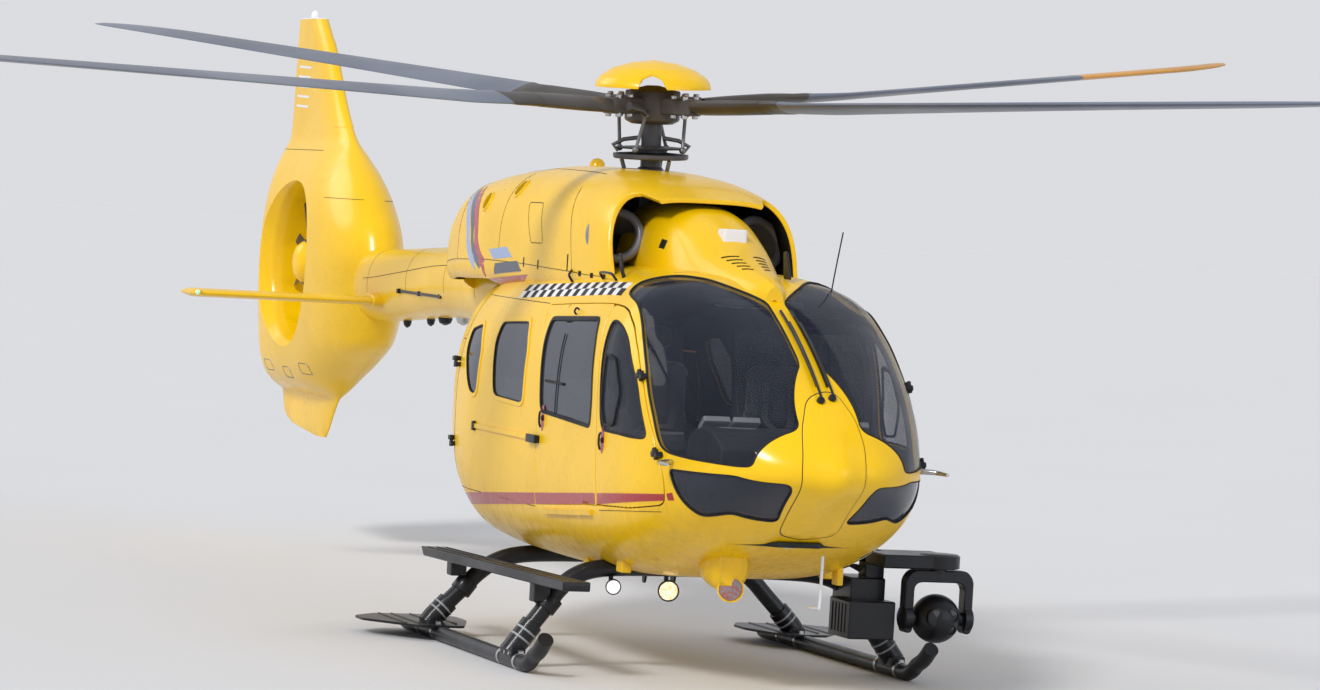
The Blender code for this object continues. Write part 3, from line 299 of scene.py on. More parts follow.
def trimmed(loops, spacing):
    """Triangles that fill the first loop less the others: grid points at spacing inside, joined by
    a Delaunay triangulation that keeps the loops' edges. Returns points, triangles and, for each
    loop, its points' numbers."""
    outer = loops[0]
    low, high = outer.min(0), outer.max(0)
    grid = [np.arange(low[k] + spacing * 0.5, high[k], spacing) for k in (0, 1)]
    points = np.stack(np.meshgrid(*grid, indexing="ij"), -1)
    points[:, ::2, 0] += spacing * 0.25
    points[:, 1::2, 0] -= spacing * 0.25
    points = points.reshape(-1, 2)
    keep = inside(points, outer)
    for hole in loops[1:]:
        keep &= ~inside(points, hole)
    points = points[keep]
    for loop in loops:
        points = points[~near_loop(points, loop, spacing * 0.45)]
    every = np.concatenate(list(loops) + [points])
    edges, start = [], 0
    for loop in loops:
        ring = np.arange(len(loop)) + start
        edges += list(zip(ring.tolist(), np.roll(ring, -1).tolist()))
        start += len(loop)
    made = delaunay_2d_cdt([Vector(p) for p in every], edges, [], 0, 1e-7)
    verts = np.array([tuple(v) for v in made[0]])
    faces = np.array([f for f in made[2] if len(f) == 3])
    home = np.zeros(len(every), int)
    for new, old in enumerate(made[3]):
        home[old] = new
    middle = verts[faces].mean(1)
    keep = inside(middle, outer)
    for hole in loops[1:]:
        keep &= ~inside(middle, hole)
    faces = faces[keep]
    a, b, c = (verts[faces[:, k]] for k in range(3))
    turn = (b[:, 0] - a[:, 0]) * (c[:, 1] - a[:, 1]) - (b[:, 1] - a[:, 1]) * (c[:, 0] - a[:, 0])
    faces[turn < 0] = faces[turn < 0][:, ::-1]
    rings, start = [], 0
    for loop in loops:
        rings.append(home[np.arange(len(loop)) + start])
        start += len(loop)
    return verts, faces, rings


class Mesh:
    """Points and faces gathered for one piece, in the machine's own places."""

    def __init__(self):
        self.points, self.faces, self.marks, self.count = [], [], [], 0

    def add(self, points, faces, mark=0):
        """Adds points (n, 3) and an array or list of faces, which wear material number mark."""
        points = np.asarray(points, float).reshape(-1, 3)
        self.points.append(points)
        if isinstance(faces, np.ndarray):
            faces = (faces + self.count).tolist()
        else:
            faces = [[int(i) + self.count for i in f] for f in faces]
        self.faces += faces
        self.marks += [mark] * len(faces)
        self.count += len(points)

    def grid(self, points, wrap_rows=False, wrap_cols=False, caps=False, mark=0):
        """Adds a grid (rows, columns, 3) of quads, closed round either way, with fans as caps."""
        rows, cols = points.shape[:2]
        number = np.arange(rows * cols).reshape(rows, cols)
        r = np.arange(rows if wrap_rows else rows - 1)
        c = np.arange(cols if wrap_cols else cols - 1)
        i, j = np.meshgrid(r, c, indexing="ij")
        i2, j2 = (i + 1) % rows, (j + 1) % cols
        quads = np.stack((number[i, j], number[i, j2], number[i2, j2], number[i2, j]), -1).reshape(-1, 4)
        flat = points.reshape(-1, 3)
        self.add(flat, quads, mark)
        if caps:
            k = np.arange(cols)
            k2 = (k + 1) % cols
            for ring, centre in ((points[0], (k2, k)), (points[-1], (k, k2))):
                fan = np.stack((centre[0], centre[1], np.full(cols, cols)), -1)
                self.add(np.concatenate((ring, ring.mean(0, keepdims=True))), fan, mark)

    def build(self, name, materials, body="airframe", slot_name="yellow_paint", stands_for=(),
              sharp=35.0, weld=1e-5):
        """Makes the object, gives it its finish and lets it ride on its body."""
        data = bpy.data.meshes.new(name)
        points = np.concatenate(self.points) + MAST
        data.from_pydata(points.tolist(), [], self.faces)
        data.polygons.foreach_set("material_index", np.array(self.marks, np.int32))
        work = bmesh.new()
        work.from_mesh(data)
        bmesh.ops.remove_doubles(work, verts=work.verts, dist=weld)
        bmesh.ops.recalc_face_normals(work, faces=work.faces)
        work.to_mesh(data)
        work.free()
        for material in materials if isinstance(materials, (list, tuple)) else (materials,):
            data.materials.append(material)
        return show(name, data, body, stands_for, sharp)


def show(name, data, body, stands_for=(), sharp=35.0):
    """Puts a finished mesh into the scene, riding on its body."""
    data.shade_smooth()
    data.set_sharp_from_angle(angle=math.radians(sharp))
    made = bpy.data.objects.new(name, data)
    bpy.context.scene.collection.objects.link(made)
    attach(made, body)
    if stands_for:
        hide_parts(*stands_for)
    return made


def placement(origin, out, along=(1.0, 0.0, 0.0)):
    """Matrix to a place whose third axis points out and whose first lies nearest to along."""
    out = unit(np.asarray(out, float))
    first = np.asarray(along, float)
    first = unit(first - out * (first @ out))
    made = np.eye(4)
    made[:3, 0], made[:3, 1], made[:3, 2], made[:3, 3] = first, np.cross(out, first), out, origin
    return made


def upright(x, y, z=0.0):
    """Placement of a side-view outline: its first axis forward, its second up, its third to
    starboard."""
    return placement((x, y, z), (0, -1, 0))


def mirrored(angle, side):
    """Section angle given for starboard, as it is on either side."""
    return angle if side < 0 else math.pi - angle


def moved(points, place):
    """Points carried by a matrix."""
    return points @ place[:3, :3].T + place[:3, 3]


def turned(mesh, profile, place, count=32, closed=False, mark=0, caps=True):
    """Adds a profile of (radius, height) turned round the third axis of place."""
    profile = np.asarray(profile, float)
    angle = circle(count)
    r, h = profile[:, :1], profile[:, 1:]
    points = np.stack((r * np.cos(angle), r * np.sin(angle), h + 0 * angle), -1)
    mesh.grid(moved(points, place), closed, True, caps and not closed, mark)


def smoothed(path, count):
    """Points on a Catmull-Rom curve through a path, count to each of its spans."""
    p = np.asarray(path, float)
    p = np.concatenate((2 * p[:1] - p[1:2], p, 2 * p[-1:] - p[-2:-1]))
    t = np.linspace(0, 1, count, endpoint=False)[None, :, None]
    a, b, c, d = (p[k:len(p) - 3 + k, None] for k in range(4))
    curve = 0.5 * (2 * b + (c - a) * t + (2 * a - 5 * b + 4 * c - d) * t ** 2
                   + (3 * b - a - 3 * c + d) * t ** 3)
    return np.concatenate((curve.reshape(-1, p.shape[1]), p[-2:-1]))


def tube(mesh, path, radius, count=12, up=(0.0, 0.0, 1.0), flat=1.0, mark=0, closed=False):
    """Adds a tube along a path: at each point a circle, or an oval flat times as deep as wide,
    square to the path's mean direction, starting from the side square to up."""
    p = np.asarray(path, float)
    if closed:
        way = unit(np.roll(p, -1, 0) - np.roll(p, 1, 0))
    else:
        way = unit(np.gradient(p, axis=0))
    side = unit(np.cross(way, np.asarray(up, float)))
    other = np.cross(way, side)
    radius = np.broadcast_to(np.asarray(radius, float), len(p))[:, None, None]
    angle = circle(count)[None, :, None]
    ring = side[:, None] * np.cos(angle) + other[:, None] * np.sin(angle) * flat
    mesh.grid(p[:, None] + ring * radius, closed, True, not closed, mark)


def slab(mesh, loops, low, high, place, bevel=0.002, mark=0, spacing=9.0):
    """Adds an outline less its holes, drawn up the third axis of place from low to high, with its
    rims chamfered by bevel."""
    loops = [np.asarray(loop, float) for loop in loops]
    inner = [inset(loops[0], bevel)] + [inset(loop, -bevel) for loop in loops[1:]]
    uv, faces, _ = trimmed(inner, spacing)
    flat = lambda points, h: moved(np.concatenate((points, np.full((len(points), 1), h)), 1), place)
    mesh.add(flat(uv, high), faces, mark)
    mesh.add(flat(uv, low), faces[:, ::-1], mark)
    for loop, rim in zip(loops, inner):
        rows = ((rim, low), (loop, low + bevel), (loop, high - bevel), (rim, high))
        mesh.grid(np.stack([flat(points, h) for points, h in rows]), False, True, False, mark)


def rounded_box(width, depth, radius=0.01):
    """Outline of a rectangle about the origin with rounded corners."""
    x, y = width / 2, depth / 2
    return rounded(((-x, -y), (x, -y), (x, y), (-x, y)), radius)


def box(mesh, low, high, bevel=0.004, corner=0.008, mark=0):
    """Adds a box between two corners with rounded uprights and chamfered rims."""
    low, high = np.asarray(low, float), np.asarray(high, float)
    middle = (low + high) / 2
    place = placement((middle[0], middle[1], 0.0), (0, 0, 1))
    slab(mesh, [rounded_box(high[0] - low[0], high[1] - low[1], corner)], low[2], high[2], place, bevel,
         mark)


def side_box(mesh, side, near, far, *trim):
    """Adds a box between two corners whose y is counted outwards on one side."""
    low, high = sorted((side * near[1], side * far[1]))
    box(mesh, (near[0], low, near[2]), (far[0], high, far[2]), *trim)


def pod_at(points, depth=0.0):
    """Machine points of pod coordinates (s, scaled angle), depth below the surface: the section is
    drawn in by depth all round, and its station by its share of the taper towards both ends."""
    s, a = points[..., 0], points[..., 1] / ANGLE_SCALE
    x = np.interp(s, _LENGTHS, _STATIONS)
    half_width, top, bottom, widest, n_top, n_bottom = (
        curve_through(POD[:, 0], POD[:, k], x.ravel()).reshape(x.shape) for k in range(1, 7))
    half_width = np.maximum(half_width - depth, 0.2 * half_width)
    top = widest + np.maximum(top - widest - depth, 0.2 * (top - widest))
    bottom = widest - np.maximum(widest - bottom - depth, 0.2 * (widest - bottom))
    y, z = oval(half_width, top, bottom, widest, n_top, n_bottom, a)
    x = x - depth * np.clip((x - 2.4) / 1.06, 0, 1) + depth * np.clip((-1.2 - x) / 1.08, 0, 1)
    return np.stack((x, y, z), -1)


# Roof cowling: x, half width, top, widest, roundness; front fairing: x, half width, top, roundness
COWL = np.array((
    (-2.50, 0.38, 2.49, 2.20, 2.3), (-2.38, 0.50, 2.63, 2.22, 2.8), (-2.20, 0.57, 2.74, 2.24, 3.3),
    (-1.95, 0.605, 2.82, 2.26, 3.5), (-1.60, 0.625, 2.87, 2.27, 3.4), (-1.20, 0.635, 2.905, 2.28, 3.2),
    (-0.60, 0.64, 2.935, 2.28, 3.1), (0.00, 0.64, 2.93, 2.27, 3.2), (0.50, 0.635, 2.90, 2.26, 3.4),
    (0.90, 0.62, 2.84, 2.25, 3.6), (1.18, 0.585, 2.765, 2.25, 3.6)))
COWL_SCALE = 0.62
FAIRING = np.array((
    (0.50, 0.36, 2.76, 2.6), (0.95, 0.36, 2.74, 2.6), (1.20, 0.35, 2.70, 2.6), (1.45, 0.33, 2.61, 2.4),
    (1.75, 0.27, 2.47, 2.2), (2.00, 0.20, 2.39, 2.1), (2.20, 0.13, 2.335, 2.0), (2.31, 0.06, 2.29, 2.0)))
FAIRING_SCALE = 0.35
BOOM = np.array((
    (-6.00, 2.01, 0.18, 0.262), (-5.50, 2.015, 0.19, 0.262), (-4.50, 2.06, 0.215, 0.25),
    (-3.50, 2.105, 0.245, 0.245), (-2.80, 2.11, 0.27, 0.265), (-2.20, 2.11, 0.29, 0.28),
    (-1.50, 2.10, 0.30, 0.28)))
BOOM_SCALE = 0.25


def column(table, k, x):
    """Smooth curve of one column of a table, read at x of any shape."""
    return curve_through(table[:, 0], table[:, k], x.ravel()).reshape(x.shape)


def cowl_at(points, depth=0.0):
    """Cowling surface at (x, scaled angle): an oval about the widest line, drawn in by depth."""
    x, a = points[..., 0], points[..., 1] / COWL_SCALE
    half_width, top, widest, power = (column(COWL, k, x) for k in (1, 2, 3, 4))
    y, z = oval(half_width - depth, top - depth, 2.05 + 0 * x, widest, power, 2.4, a)
    return np.stack((x, y, z), -1)


def fairing_at(points, depth=0.0):
    """Front fairing surface at (x, scaled angle), drawn in by depth."""
    x, a = points[..., 0], points[..., 1] / FAIRING_SCALE
    half_width, top, power = (column(FAIRING, k, x) for k in (1, 2, 3))
    y, z = oval(half_width - depth, top - depth, 1.95 + 0 * x, 2.15, power, 2.0, a)
    return np.stack((x, y, z), -1)


def boom_at(points, depth=0.0):
    """Tail boom surface at (x, scaled angle), drawn in by depth."""
    x, a = points[..., 0], points[..., 1] / BOOM_SCALE
    centre, half_width, half_height = (column(BOOM, k, x) for k in (1, 2, 3))
    y, z = oval(half_width - depth, centre + half_height - depth, centre - half_height + depth, centre,
                2.2, 2.2, a)
    return np.stack((x, y, z), -1)


def front_at(points, depth=0.0):
    """Front of the pod at (y, z): the station where its section's oval passes through the point,
    found by halving, moved out along the surface's slope by -depth, with the nose's bump added."""
    y, z = points[..., 0], points[..., 1]
    low, high = np.full(y.shape, 2.2), np.full(y.shape, 3.46)
    for _ in range(26):
        x = (low + high) / 2
        half_width, top, bottom, widest, n_top, n_bottom = (column(POD, k, x) for k in range(1, 7))
        over = z >= widest
        power = np.where(over, n_top, n_bottom)
        rise = np.where(over, top - widest, widest - bottom)
        within = (np.abs(y) / half_width) ** power + (np.abs(z - widest) / rise) ** power < 1
        low, high = np.where(within, x, low), np.where(within, high, x)
    lean = np.clip((z - 1.30) / 0.5, -1, 1)
    out = unit(np.stack((np.ones_like(y), y / 0.5, lean), -1))
    bump = 0.045 * np.exp(-(y / 0.10) ** 2 - ((z - 1.27) / 0.20) ** 2)
    return np.stack((low, y, z), -1) + out * (bump - depth)[..., None]


def normal_on(at, points, step=0.002):
    """Outward unit normals of a surface at its own coordinates."""
    across = at(points + (0, step)) - at(points - (0, step))
    forward = at(points + (step, 0)) - at(points - (step, 0))
    return unit(np.cross(across, forward))


def spot(at, u, v, along=(1.0, 0.0, 0.0), lift=0.0):
    """Placement on a surface at its coordinates (u, v), its third axis outwards."""
    point = np.array(((u, v),), float)
    out = normal_on(at, point)[0]
    return placement(at(point)[0] + out * lift, out, along)


def pod_spot(x, z, side, along=(1.0, 0.0, 0.0), lift=0.0):
    """Placement on the pod's side at station x and height z."""
    u, v = on_side(((x, z),), side)[0]
    return spot(pod_at, u, v, along, lift)


def plate(mesh, loops, thickness, spacing=0.04, lift=0.0, edge=0.002, at=pod_at, marks=(0, 0)):
    """Adds a closed curved plate to mesh: the surface inside the first loop less the other loops,
    raised by lift and as thick as thickness, with its rims chamfered by edge."""
    loops = [resampled(loop, spacing) for loop in loops]
    inner = [inset(loops[0], edge)] + [inset(loop, -edge) for loop in loops[1:]]
    uv, faces, _ = trimmed(inner, spacing)
    mesh.add(at(uv, -lift), faces[:, ::-1], marks[0])
    mesh.add(at(uv, thickness - lift), faces, marks[1])
    for k, loop in enumerate(loops):
        rows = ((inner[k], -lift), (loop, edge - lift), (loop, thickness - edge - lift),
                (inner[k], thickness - lift))
        mesh.grid(np.stack([at(points, depth) for points, depth in rows]), False, True, False, marks[0])


def strip(mesh, loop, widths, heights, at=pod_at, spacing=0.02, mark=0):
    """Adds a closed ring that follows a loop on a surface: its section is the closed polygon of
    widths, measured inwards from the loop, and heights above the surface."""
    loop = resampled(loop, spacing)
    rows = [at(inset(loop, w), -h) for w, h in zip(widths, heights)]
    mesh.grid(np.stack(rows), True, True, False, mark)


def ribbon(mesh, path, width, height=0.0008, at=pod_at, spacing=0.03, sunk=0.002, mark=0):
    """Adds an open band that follows a path on a surface, width across and height proud of it."""
    p = np.asarray(path, float)
    length = np.concatenate(([0.0], np.cumsum(np.linalg.norm(np.diff(p, axis=0), axis=1))))
    at_length = np.linspace(0, length[-1], max(2, int(math.ceil(length[-1] / spacing)) + 1))
    p = np.stack([np.interp(at_length, length, p[:, k]) for k in (0, 1)], -1)
    way = unit(np.gradient(p, axis=0))
    across = np.stack((-way[:, 1], way[:, 0]), -1) * width / 2
    rows = np.stack((at(p - across, sunk), at(p + across, sunk), at(p + across, -height),
                     at(p - across, -height)), 1)
    mesh.grid(rows, False, True, True, mark)


def domes(mesh, points, normals, radius, height, sides=6, mark=0):
    """Adds a low dome at each point: a foot, a rim and a flat crown at 0.55 of the radius."""
    points, out = np.asarray(points, float), np.asarray(normals, float)
    first = unit(np.cross(out, np.where(np.abs(out[:, :1]) < 0.9, (1.0, 0, 0), (0, 1.0, 0))))
    second = np.cross(out, first)
    angle = circle(sides)[None, :, None]
    ring = first[:, None] * np.cos(angle) + second[:, None] * np.sin(angle)
    base, up = points[:, None], out[:, None]
    cloud = np.concatenate((base + ring * radius - up * 0.002, base + ring * radius,
                            base + ring * radius * 0.55 + up * height), 1)
    k = np.arange(sides)
    k2 = (k + 1) % sides
    walls = np.concatenate([np.stack((k + n, k2 + n, k2 + n + sides, k + n + sides), -1) for n in (0,
            sides)])
    start = (np.arange(len(points)) * 3 * sides)[:, None, None]
    crown, foot = (k + 2 * sides)[None, None] + start, k[::-1][None, None] + start
    faces = ((walls[None] + start).reshape(-1, 4).tolist() + crown.reshape(-1, sides).tolist()
             + foot.reshape(-1, sides).tolist())
    mesh.add(cloud.reshape(-1, 3), faces, mark)


def rivets(mesh, path, spacing=0.045, size=0.004, at=pod_at, mark=0):
    """Adds rivet heads along a path of surface coordinates."""
    p = np.asarray(path, float)
    length = np.concatenate(([0.0], np.cumsum(np.linalg.norm(np.diff(p, axis=0), axis=1))))
    step = np.arange(spacing / 2, length[-1], spacing)
    p = np.stack([np.interp(step, length, p[:, k]) for k in (0, 1)], -1)
    domes(mesh, at(p), normal_on(at, p), size, size * 0.35, 6, mark)


# Colours (linear) that a user would change, and sizes
class HelicopterColours(bpy.types.PropertyGroup):
    """Colours of the machine's finishes"""
    yellow: FloatVectorProperty(name="Body yellow", description="Gloss paint of the body",
                                subtype="COLOR",
                                size=3, min=0, max=1, default=(0.88, 0.53, 0.0))
    red: FloatVectorProperty(name="Stripe red", description="Side stripe and door marks",
                             subtype="COLOR",
                             size=3, min=0, max=1, default=(0.36, 0.004, 0.012))
    navy: FloatVectorProperty(name="Navy", description="Dark bands on the cowling", subtype="COLOR",
                              size=3, min=0, max=1, default=(0.018, 0.024, 0.065))
    sky: FloatVectorProperty(name="Light blue", description="Pale bands on the cowling", subtype="COLOR",
                             size=3, min=0, max=1, default=(0.28, 0.38, 0.62))
    blade: FloatVectorProperty(name="Blade grey", description="Rotor blades", subtype="COLOR",
                               size=3, min=0, max=1, default=(0.13, 0.15, 0.20))
    cloth: FloatVectorProperty(name="Seat cloth", description="Seat covers", subtype="COLOR",
                               size=3, min=0, max=1, default=(0.028, 0.030, 0.038))
    tint: FloatVectorProperty(name="Glass tint", description="Colour of the panes", subtype="COLOR",
                              size=3, min=0, max=1, default=(0.030, 0.036, 0.055))


class HelicopterSizes(bpy.types.PropertyGroup):
    """Sizes of the machine's trim"""
    door_gap: FloatProperty(name="Door gap", description="Gap left round each door", default=0.004,
                            min=0.002, max=0.01, subtype="DISTANCE", unit="LENGTH")
    seal_width: FloatProperty(name="Seal width", description="Black rubber round the large windows",
                              default=0.016, min=0.004, max=0.04, subtype="DISTANCE", unit="LENGTH")
    seam_width: FloatProperty(name="Seam width", description="Dark line between two panels",
                              default=0.0045,
                              min=0.001, max=0.01, subtype="DISTANCE", unit="LENGTH")
    rivet_pitch: FloatProperty(name="Rivet pitch", description="Distance between rivet heads",
                               default=0.05,
                               min=0.02, max=0.2, subtype="DISTANCE", unit="LENGTH")
    cushion_fill: FloatProperty(name="Cushion fill", description="How tightly the seats are stuffed",
                                default=0.7, min=0.1, max=1.0, subtype="FACTOR")
    cushion_steps: IntProperty(name="Cushion steps",
                               description="Frames that the seat cloth is let swell",
                               default=14, min=4, max=24)


def colours():
    """The machine's colours."""
    return bpy.context.scene.helicopter_colours


def sizes():
    """The machine's trim sizes."""
    return bpy.context.scene.helicopter_sizes


class Nodes:
    """Places and joins nodes in one shader tree."""

    def __init__(self, tree):
        self.tree = tree

    def put(self, kind, inputs=(), **settings):
        """Adds a node, sets its own values, and fills its inputs with numbers or other outputs."""
        made = self.tree.nodes.new(kind)
        for key, value in settings.items():
            setattr(made, key, value)
        for key, value in dict(inputs).items():
            if isinstance(value, bpy.types.NodeSocket):
                self.tree.links.new(value, made.inputs[key])
            else:
                made.inputs[key].default_value = value
        return made

    def math(self, operation, *values, clamp=False):
        """Output of a Math node."""
        return self.put("ShaderNodeMath", enumerate(values), operation=operation,
                        use_clamp=clamp).outputs[0]

    def ramp(self, value, low, high, to_low=0.0, to_high=1.0):
        """Output that goes smoothly from to_low to to_high as value goes from low to high."""
        return self.put("ShaderNodeMapRange", {"Value": value, "From Min": low, "From Max": high,
                                               "To Min": to_low, "To Max": to_high},
                        interpolation_type="SMOOTHSTEP").outputs["Result"]

    def noise(self, vector, scale, detail=3.0, roughness=0.55):
        """Value of a noise texture."""
        return self.put("ShaderNodeTexNoise", {"Vector": vector, "Scale": scale, "Detail": detail,
                                               "Roughness": roughness}).outputs["Fac"]

    def bump(self, height, strength, distance):
        """Normal of a Bump node."""
        return self.put("ShaderNodeBump", {"Height": height, "Strength": strength,
                                           "Distance": distance}).outputs["Normal"]

    def mix(self, factor, first, second):
        """Colour between two colours."""
        made = self.put("ShaderNodeMix", data_type="RGBA")
        for index, value in ((0, factor), (6, first), (7, second)):
            if isinstance(value, bpy.types.NodeSocket):
                self.tree.links.new(value, made.inputs[index])
            elif index:
                made.inputs[index].default_value = (*tuple(value)[:3], 1.0)
            else:
                made.inputs[index].default_value = value
        return made.outputs[2]


def effect(name, inputs, outputs, fill):
    """Node group made once: inputs of (name, default), outputs of names, filled by fill."""
    found = bpy.data.node_groups.get(name)
    if found:
        return found
    made = bpy.data.node_groups.new(name, "ShaderNodeTree")
    for label, default in inputs:
        kind = "NodeSocketVector" if default is None else "NodeSocketFloat"
        socket = made.interface.new_socket(name=label, in_out="INPUT", socket_type=kind)
        if default is not None:
            socket.default_value = default
    for label in outputs:
        made.interface.new_socket(name=label, in_out="OUTPUT", socket_type="NodeSocketFloat")
    nodes = Nodes(made)
    source, target = nodes.put("NodeGroupInput"), nodes.put("NodeGroupOutput")
    for label, value in fill(nodes, source.outputs).items():
        made.links.new(value, target.inputs[label])
    return made


def grain_effect():
    """Uneven tone, a fine relief and sparse scratches that several finishes share."""
    def fill(n, given):
        place, scale = given["Position"], given["Scale"]
        broad = n.noise(place, n.math("MULTIPLY", scale, 0.12), 4.0)
        fine = n.noise(place, n.math("MULTIPLY", scale, 6.0), 2.0)
        stretched = n.put("ShaderNodeMapping", {"Vector": place, "Scale": (0.35, 2.4, 4.0)}).outputs[0]
        scratch = n.noise(stretched, n.math("MULTIPLY", scale, 5.0), 5.0, 0.7)
        return {"Tone": n.ramp(broad, 0.35, 0.65), "Relief": fine,
                "Scratch": n.ramp(scratch, 0.66, 0.74)}
    return effect("surface_grain", (("Position", None), ("Scale", 10.0)), ("Tone", "Relief", "Scratch"),
                  fill)


def grime_effect():
    """Dust and film that gather low down and in streaks."""
    def fill(n, given):
        place = given["Position"]
        height = n.put("ShaderNodeSeparateXYZ", {"Vector": place}).outputs["Z"]
        low = n.ramp(height, given["High"], given["Low"])
        tall = n.put("ShaderNodeMapping", {"Vector": place, "Scale": (7.0, 7.0, 1.2)}).outputs[0]
        streak = n.ramp(n.noise(tall, 3.0, 4.0, 0.65), 0.42, 0.72)
        return {"Grime": n.math("MULTIPLY", low, streak)}
    return effect("grime", (("Position", None), ("Low", 0.5), ("High", 1.3)), ("Grime",), fill)


def weave_effect():
    """Over-and-under threads: two sine waves, one along each of two directions, multiplied."""
    def fill(n, given):
        parts = n.put("ShaderNodeSeparateXYZ", {"Vector": given["Position"]}).outputs
        pitch = given["Threads"]
        across = n.math("SINE", n.math("MULTIPLY", n.math("ADD", parts["X"], parts["Z"]), pitch))
        along = n.math("SINE", n.math("MULTIPLY", n.math("ADD", parts["Y"],
                                                         n.math("MULTIPLY", parts["Z"], 0.4)),
                                      pitch))
        height = n.math("MULTIPLY_ADD", n.math("MULTIPLY", across, along), 0.5, 0.5)
        fuzz = n.noise(given["Position"], 60.0, 3.0)
        return {"Height": height, "Fuzz": fuzz}
    return effect("cloth_weave", (("Position", None), ("Threads", 1800.0)), ("Height", "Fuzz"), fill)


# Plain finishes: colour, roughness, metallic, coat, grain scale, tone change, relief, scratches
FINISHES = {
    "yellow_paint": ("yellow", 0.26, 0.0, 0.15, 9.0, 0.10, 0.03, 0.02),
    "red_paint": ("red", 0.25, 0.0, 0.5, 9.0, 0.10, 0.03, 0.0),
    "navy_paint": ("navy", 0.25, 0.0, 0.5, 9.0, 0.10, 0.03, 0.0),
    "sky_paint": ("sky", 0.25, 0.0, 0.5, 9.0, 0.10, 0.03, 0.0),
    "grey_paint": ((0.20, 0.20, 0.24), 0.30, 0.0, 0.3, 9.0, 0.15, 0.03, 0.05),
    "white_paint": ((0.80, 0.80, 0.82), 0.30, 0.0, 0.3, 9.0, 0.08, 0.03, 0.02),
    "orange_paint": ((0.85, 0.10, 0.035), 0.35, 0.0, 0.2, 9.0, 0.10, 0.03, 0.0),
    "black_metal": ((0.012, 0.013, 0.018), 0.36, 0.2, 0.15, 14.0, 0.45, 0.25, 0.5),
    "black_rubber": ((0.010, 0.010, 0.012), 0.55, 0.0, 0.0, 20.0, 0.25, 0.20, 0.1),
    "seam_dark": ((0.030, 0.022, 0.008), 0.60, 0.0, 0.0, 20.0, 0.25, 0.10, 0.0),
    # Near-black painted shade, laid where the inside of a hollow, opening or slot would lie in shadow
    "hollow_dark": ((0.004, 0.004, 0.005), 0.80, 0.0, 0.0, 10.0, 0.30, 0.20, 0.0),
    "rotor_grey": ("blade", 0.38, 0.0, 0.2, 6.0, 0.22, 0.10, 0.25),
    "cuff_grey": ((0.075, 0.065, 0.058), 0.42, 0.2, 0.1, 12.0, 0.35, 0.25, 0.4),
    "blade_tip": ((0.62, 0.28, 0.03), 0.38, 0.0, 0.2, 6.0, 0.20, 0.10, 0.15),
    "hub_metal": ((0.12, 0.115, 0.12), 0.38, 0.75, 0.0, 14.0, 0.35, 0.25, 0.5),
    "bare_steel": ((0.55, 0.55, 0.56), 0.26, 0.95, 0.0, 16.0, 0.20, 0.15, 0.4),
    "worn_bronze": ((0.26, 0.19, 0.10), 0.40, 0.6, 0.0, 14.0, 0.35, 0.20, 0.4),
    "engine_metal": ((0.22, 0.22, 0.23), 0.48, 0.8, 0.0, 18.0, 0.35, 0.30, 0.4),
    "cabin_dark": ((0.028, 0.030, 0.037), 0.62, 0.0, 0.0, 30.0, 0.25, 0.45, 0.1),
    "cabin_lining": ((0.10, 0.105, 0.12), 0.75, 0.0, 0.0, 25.0, 0.20, 0.35, 0.05),
    "trim_grey": ((0.34, 0.35, 0.37), 0.45, 0.2, 0.0, 25.0, 0.15, 0.20, 0.1),
    "web_strap": ((0.045, 0.047, 0.055), 0.85, 0.0, 0.0, 60.0, 0.25, 0.60, 0.0),
    "screen_glass": ((0.006, 0.008, 0.012), 0.08, 0.0, 0.3, 12.0, 0.20, 0.02, 0.0),
    "floor_mat": ((0.030, 0.031, 0.033), 0.80, 0.0, 0.0, 60.0, 0.25, 0.70, 0.1),
}
GRIMY = ("yellow_paint", "red_paint")
DUST = (0.20, 0.14, 0.05)


def material(name, fill):
    """Material made once: fill takes its nodes and Object coordinates and gives the shader's inputs,
    each a number, a colour or another node's output."""
    label = name + "_finish"
    found = bpy.data.materials.get(label)
    if found:
        return found
    made = bpy.data.materials.new(label)
    made.use_nodes = True
    nodes = Nodes(made.node_tree)
    shader = made.node_tree.nodes["Principled BSDF"]
    place = nodes.put("ShaderNodeTexCoord").outputs["Object"]
    for key, value in fill(nodes, place).items():
        if isinstance(value, bpy.types.NodeSocket):
            made.node_tree.links.new(value, shader.inputs[key])
        else:
            shader.inputs[key].default_value = value
    return made


def scaled(colour, factor):
    """Colour with each channel multiplied."""
    return tuple(c * factor for c in colour)


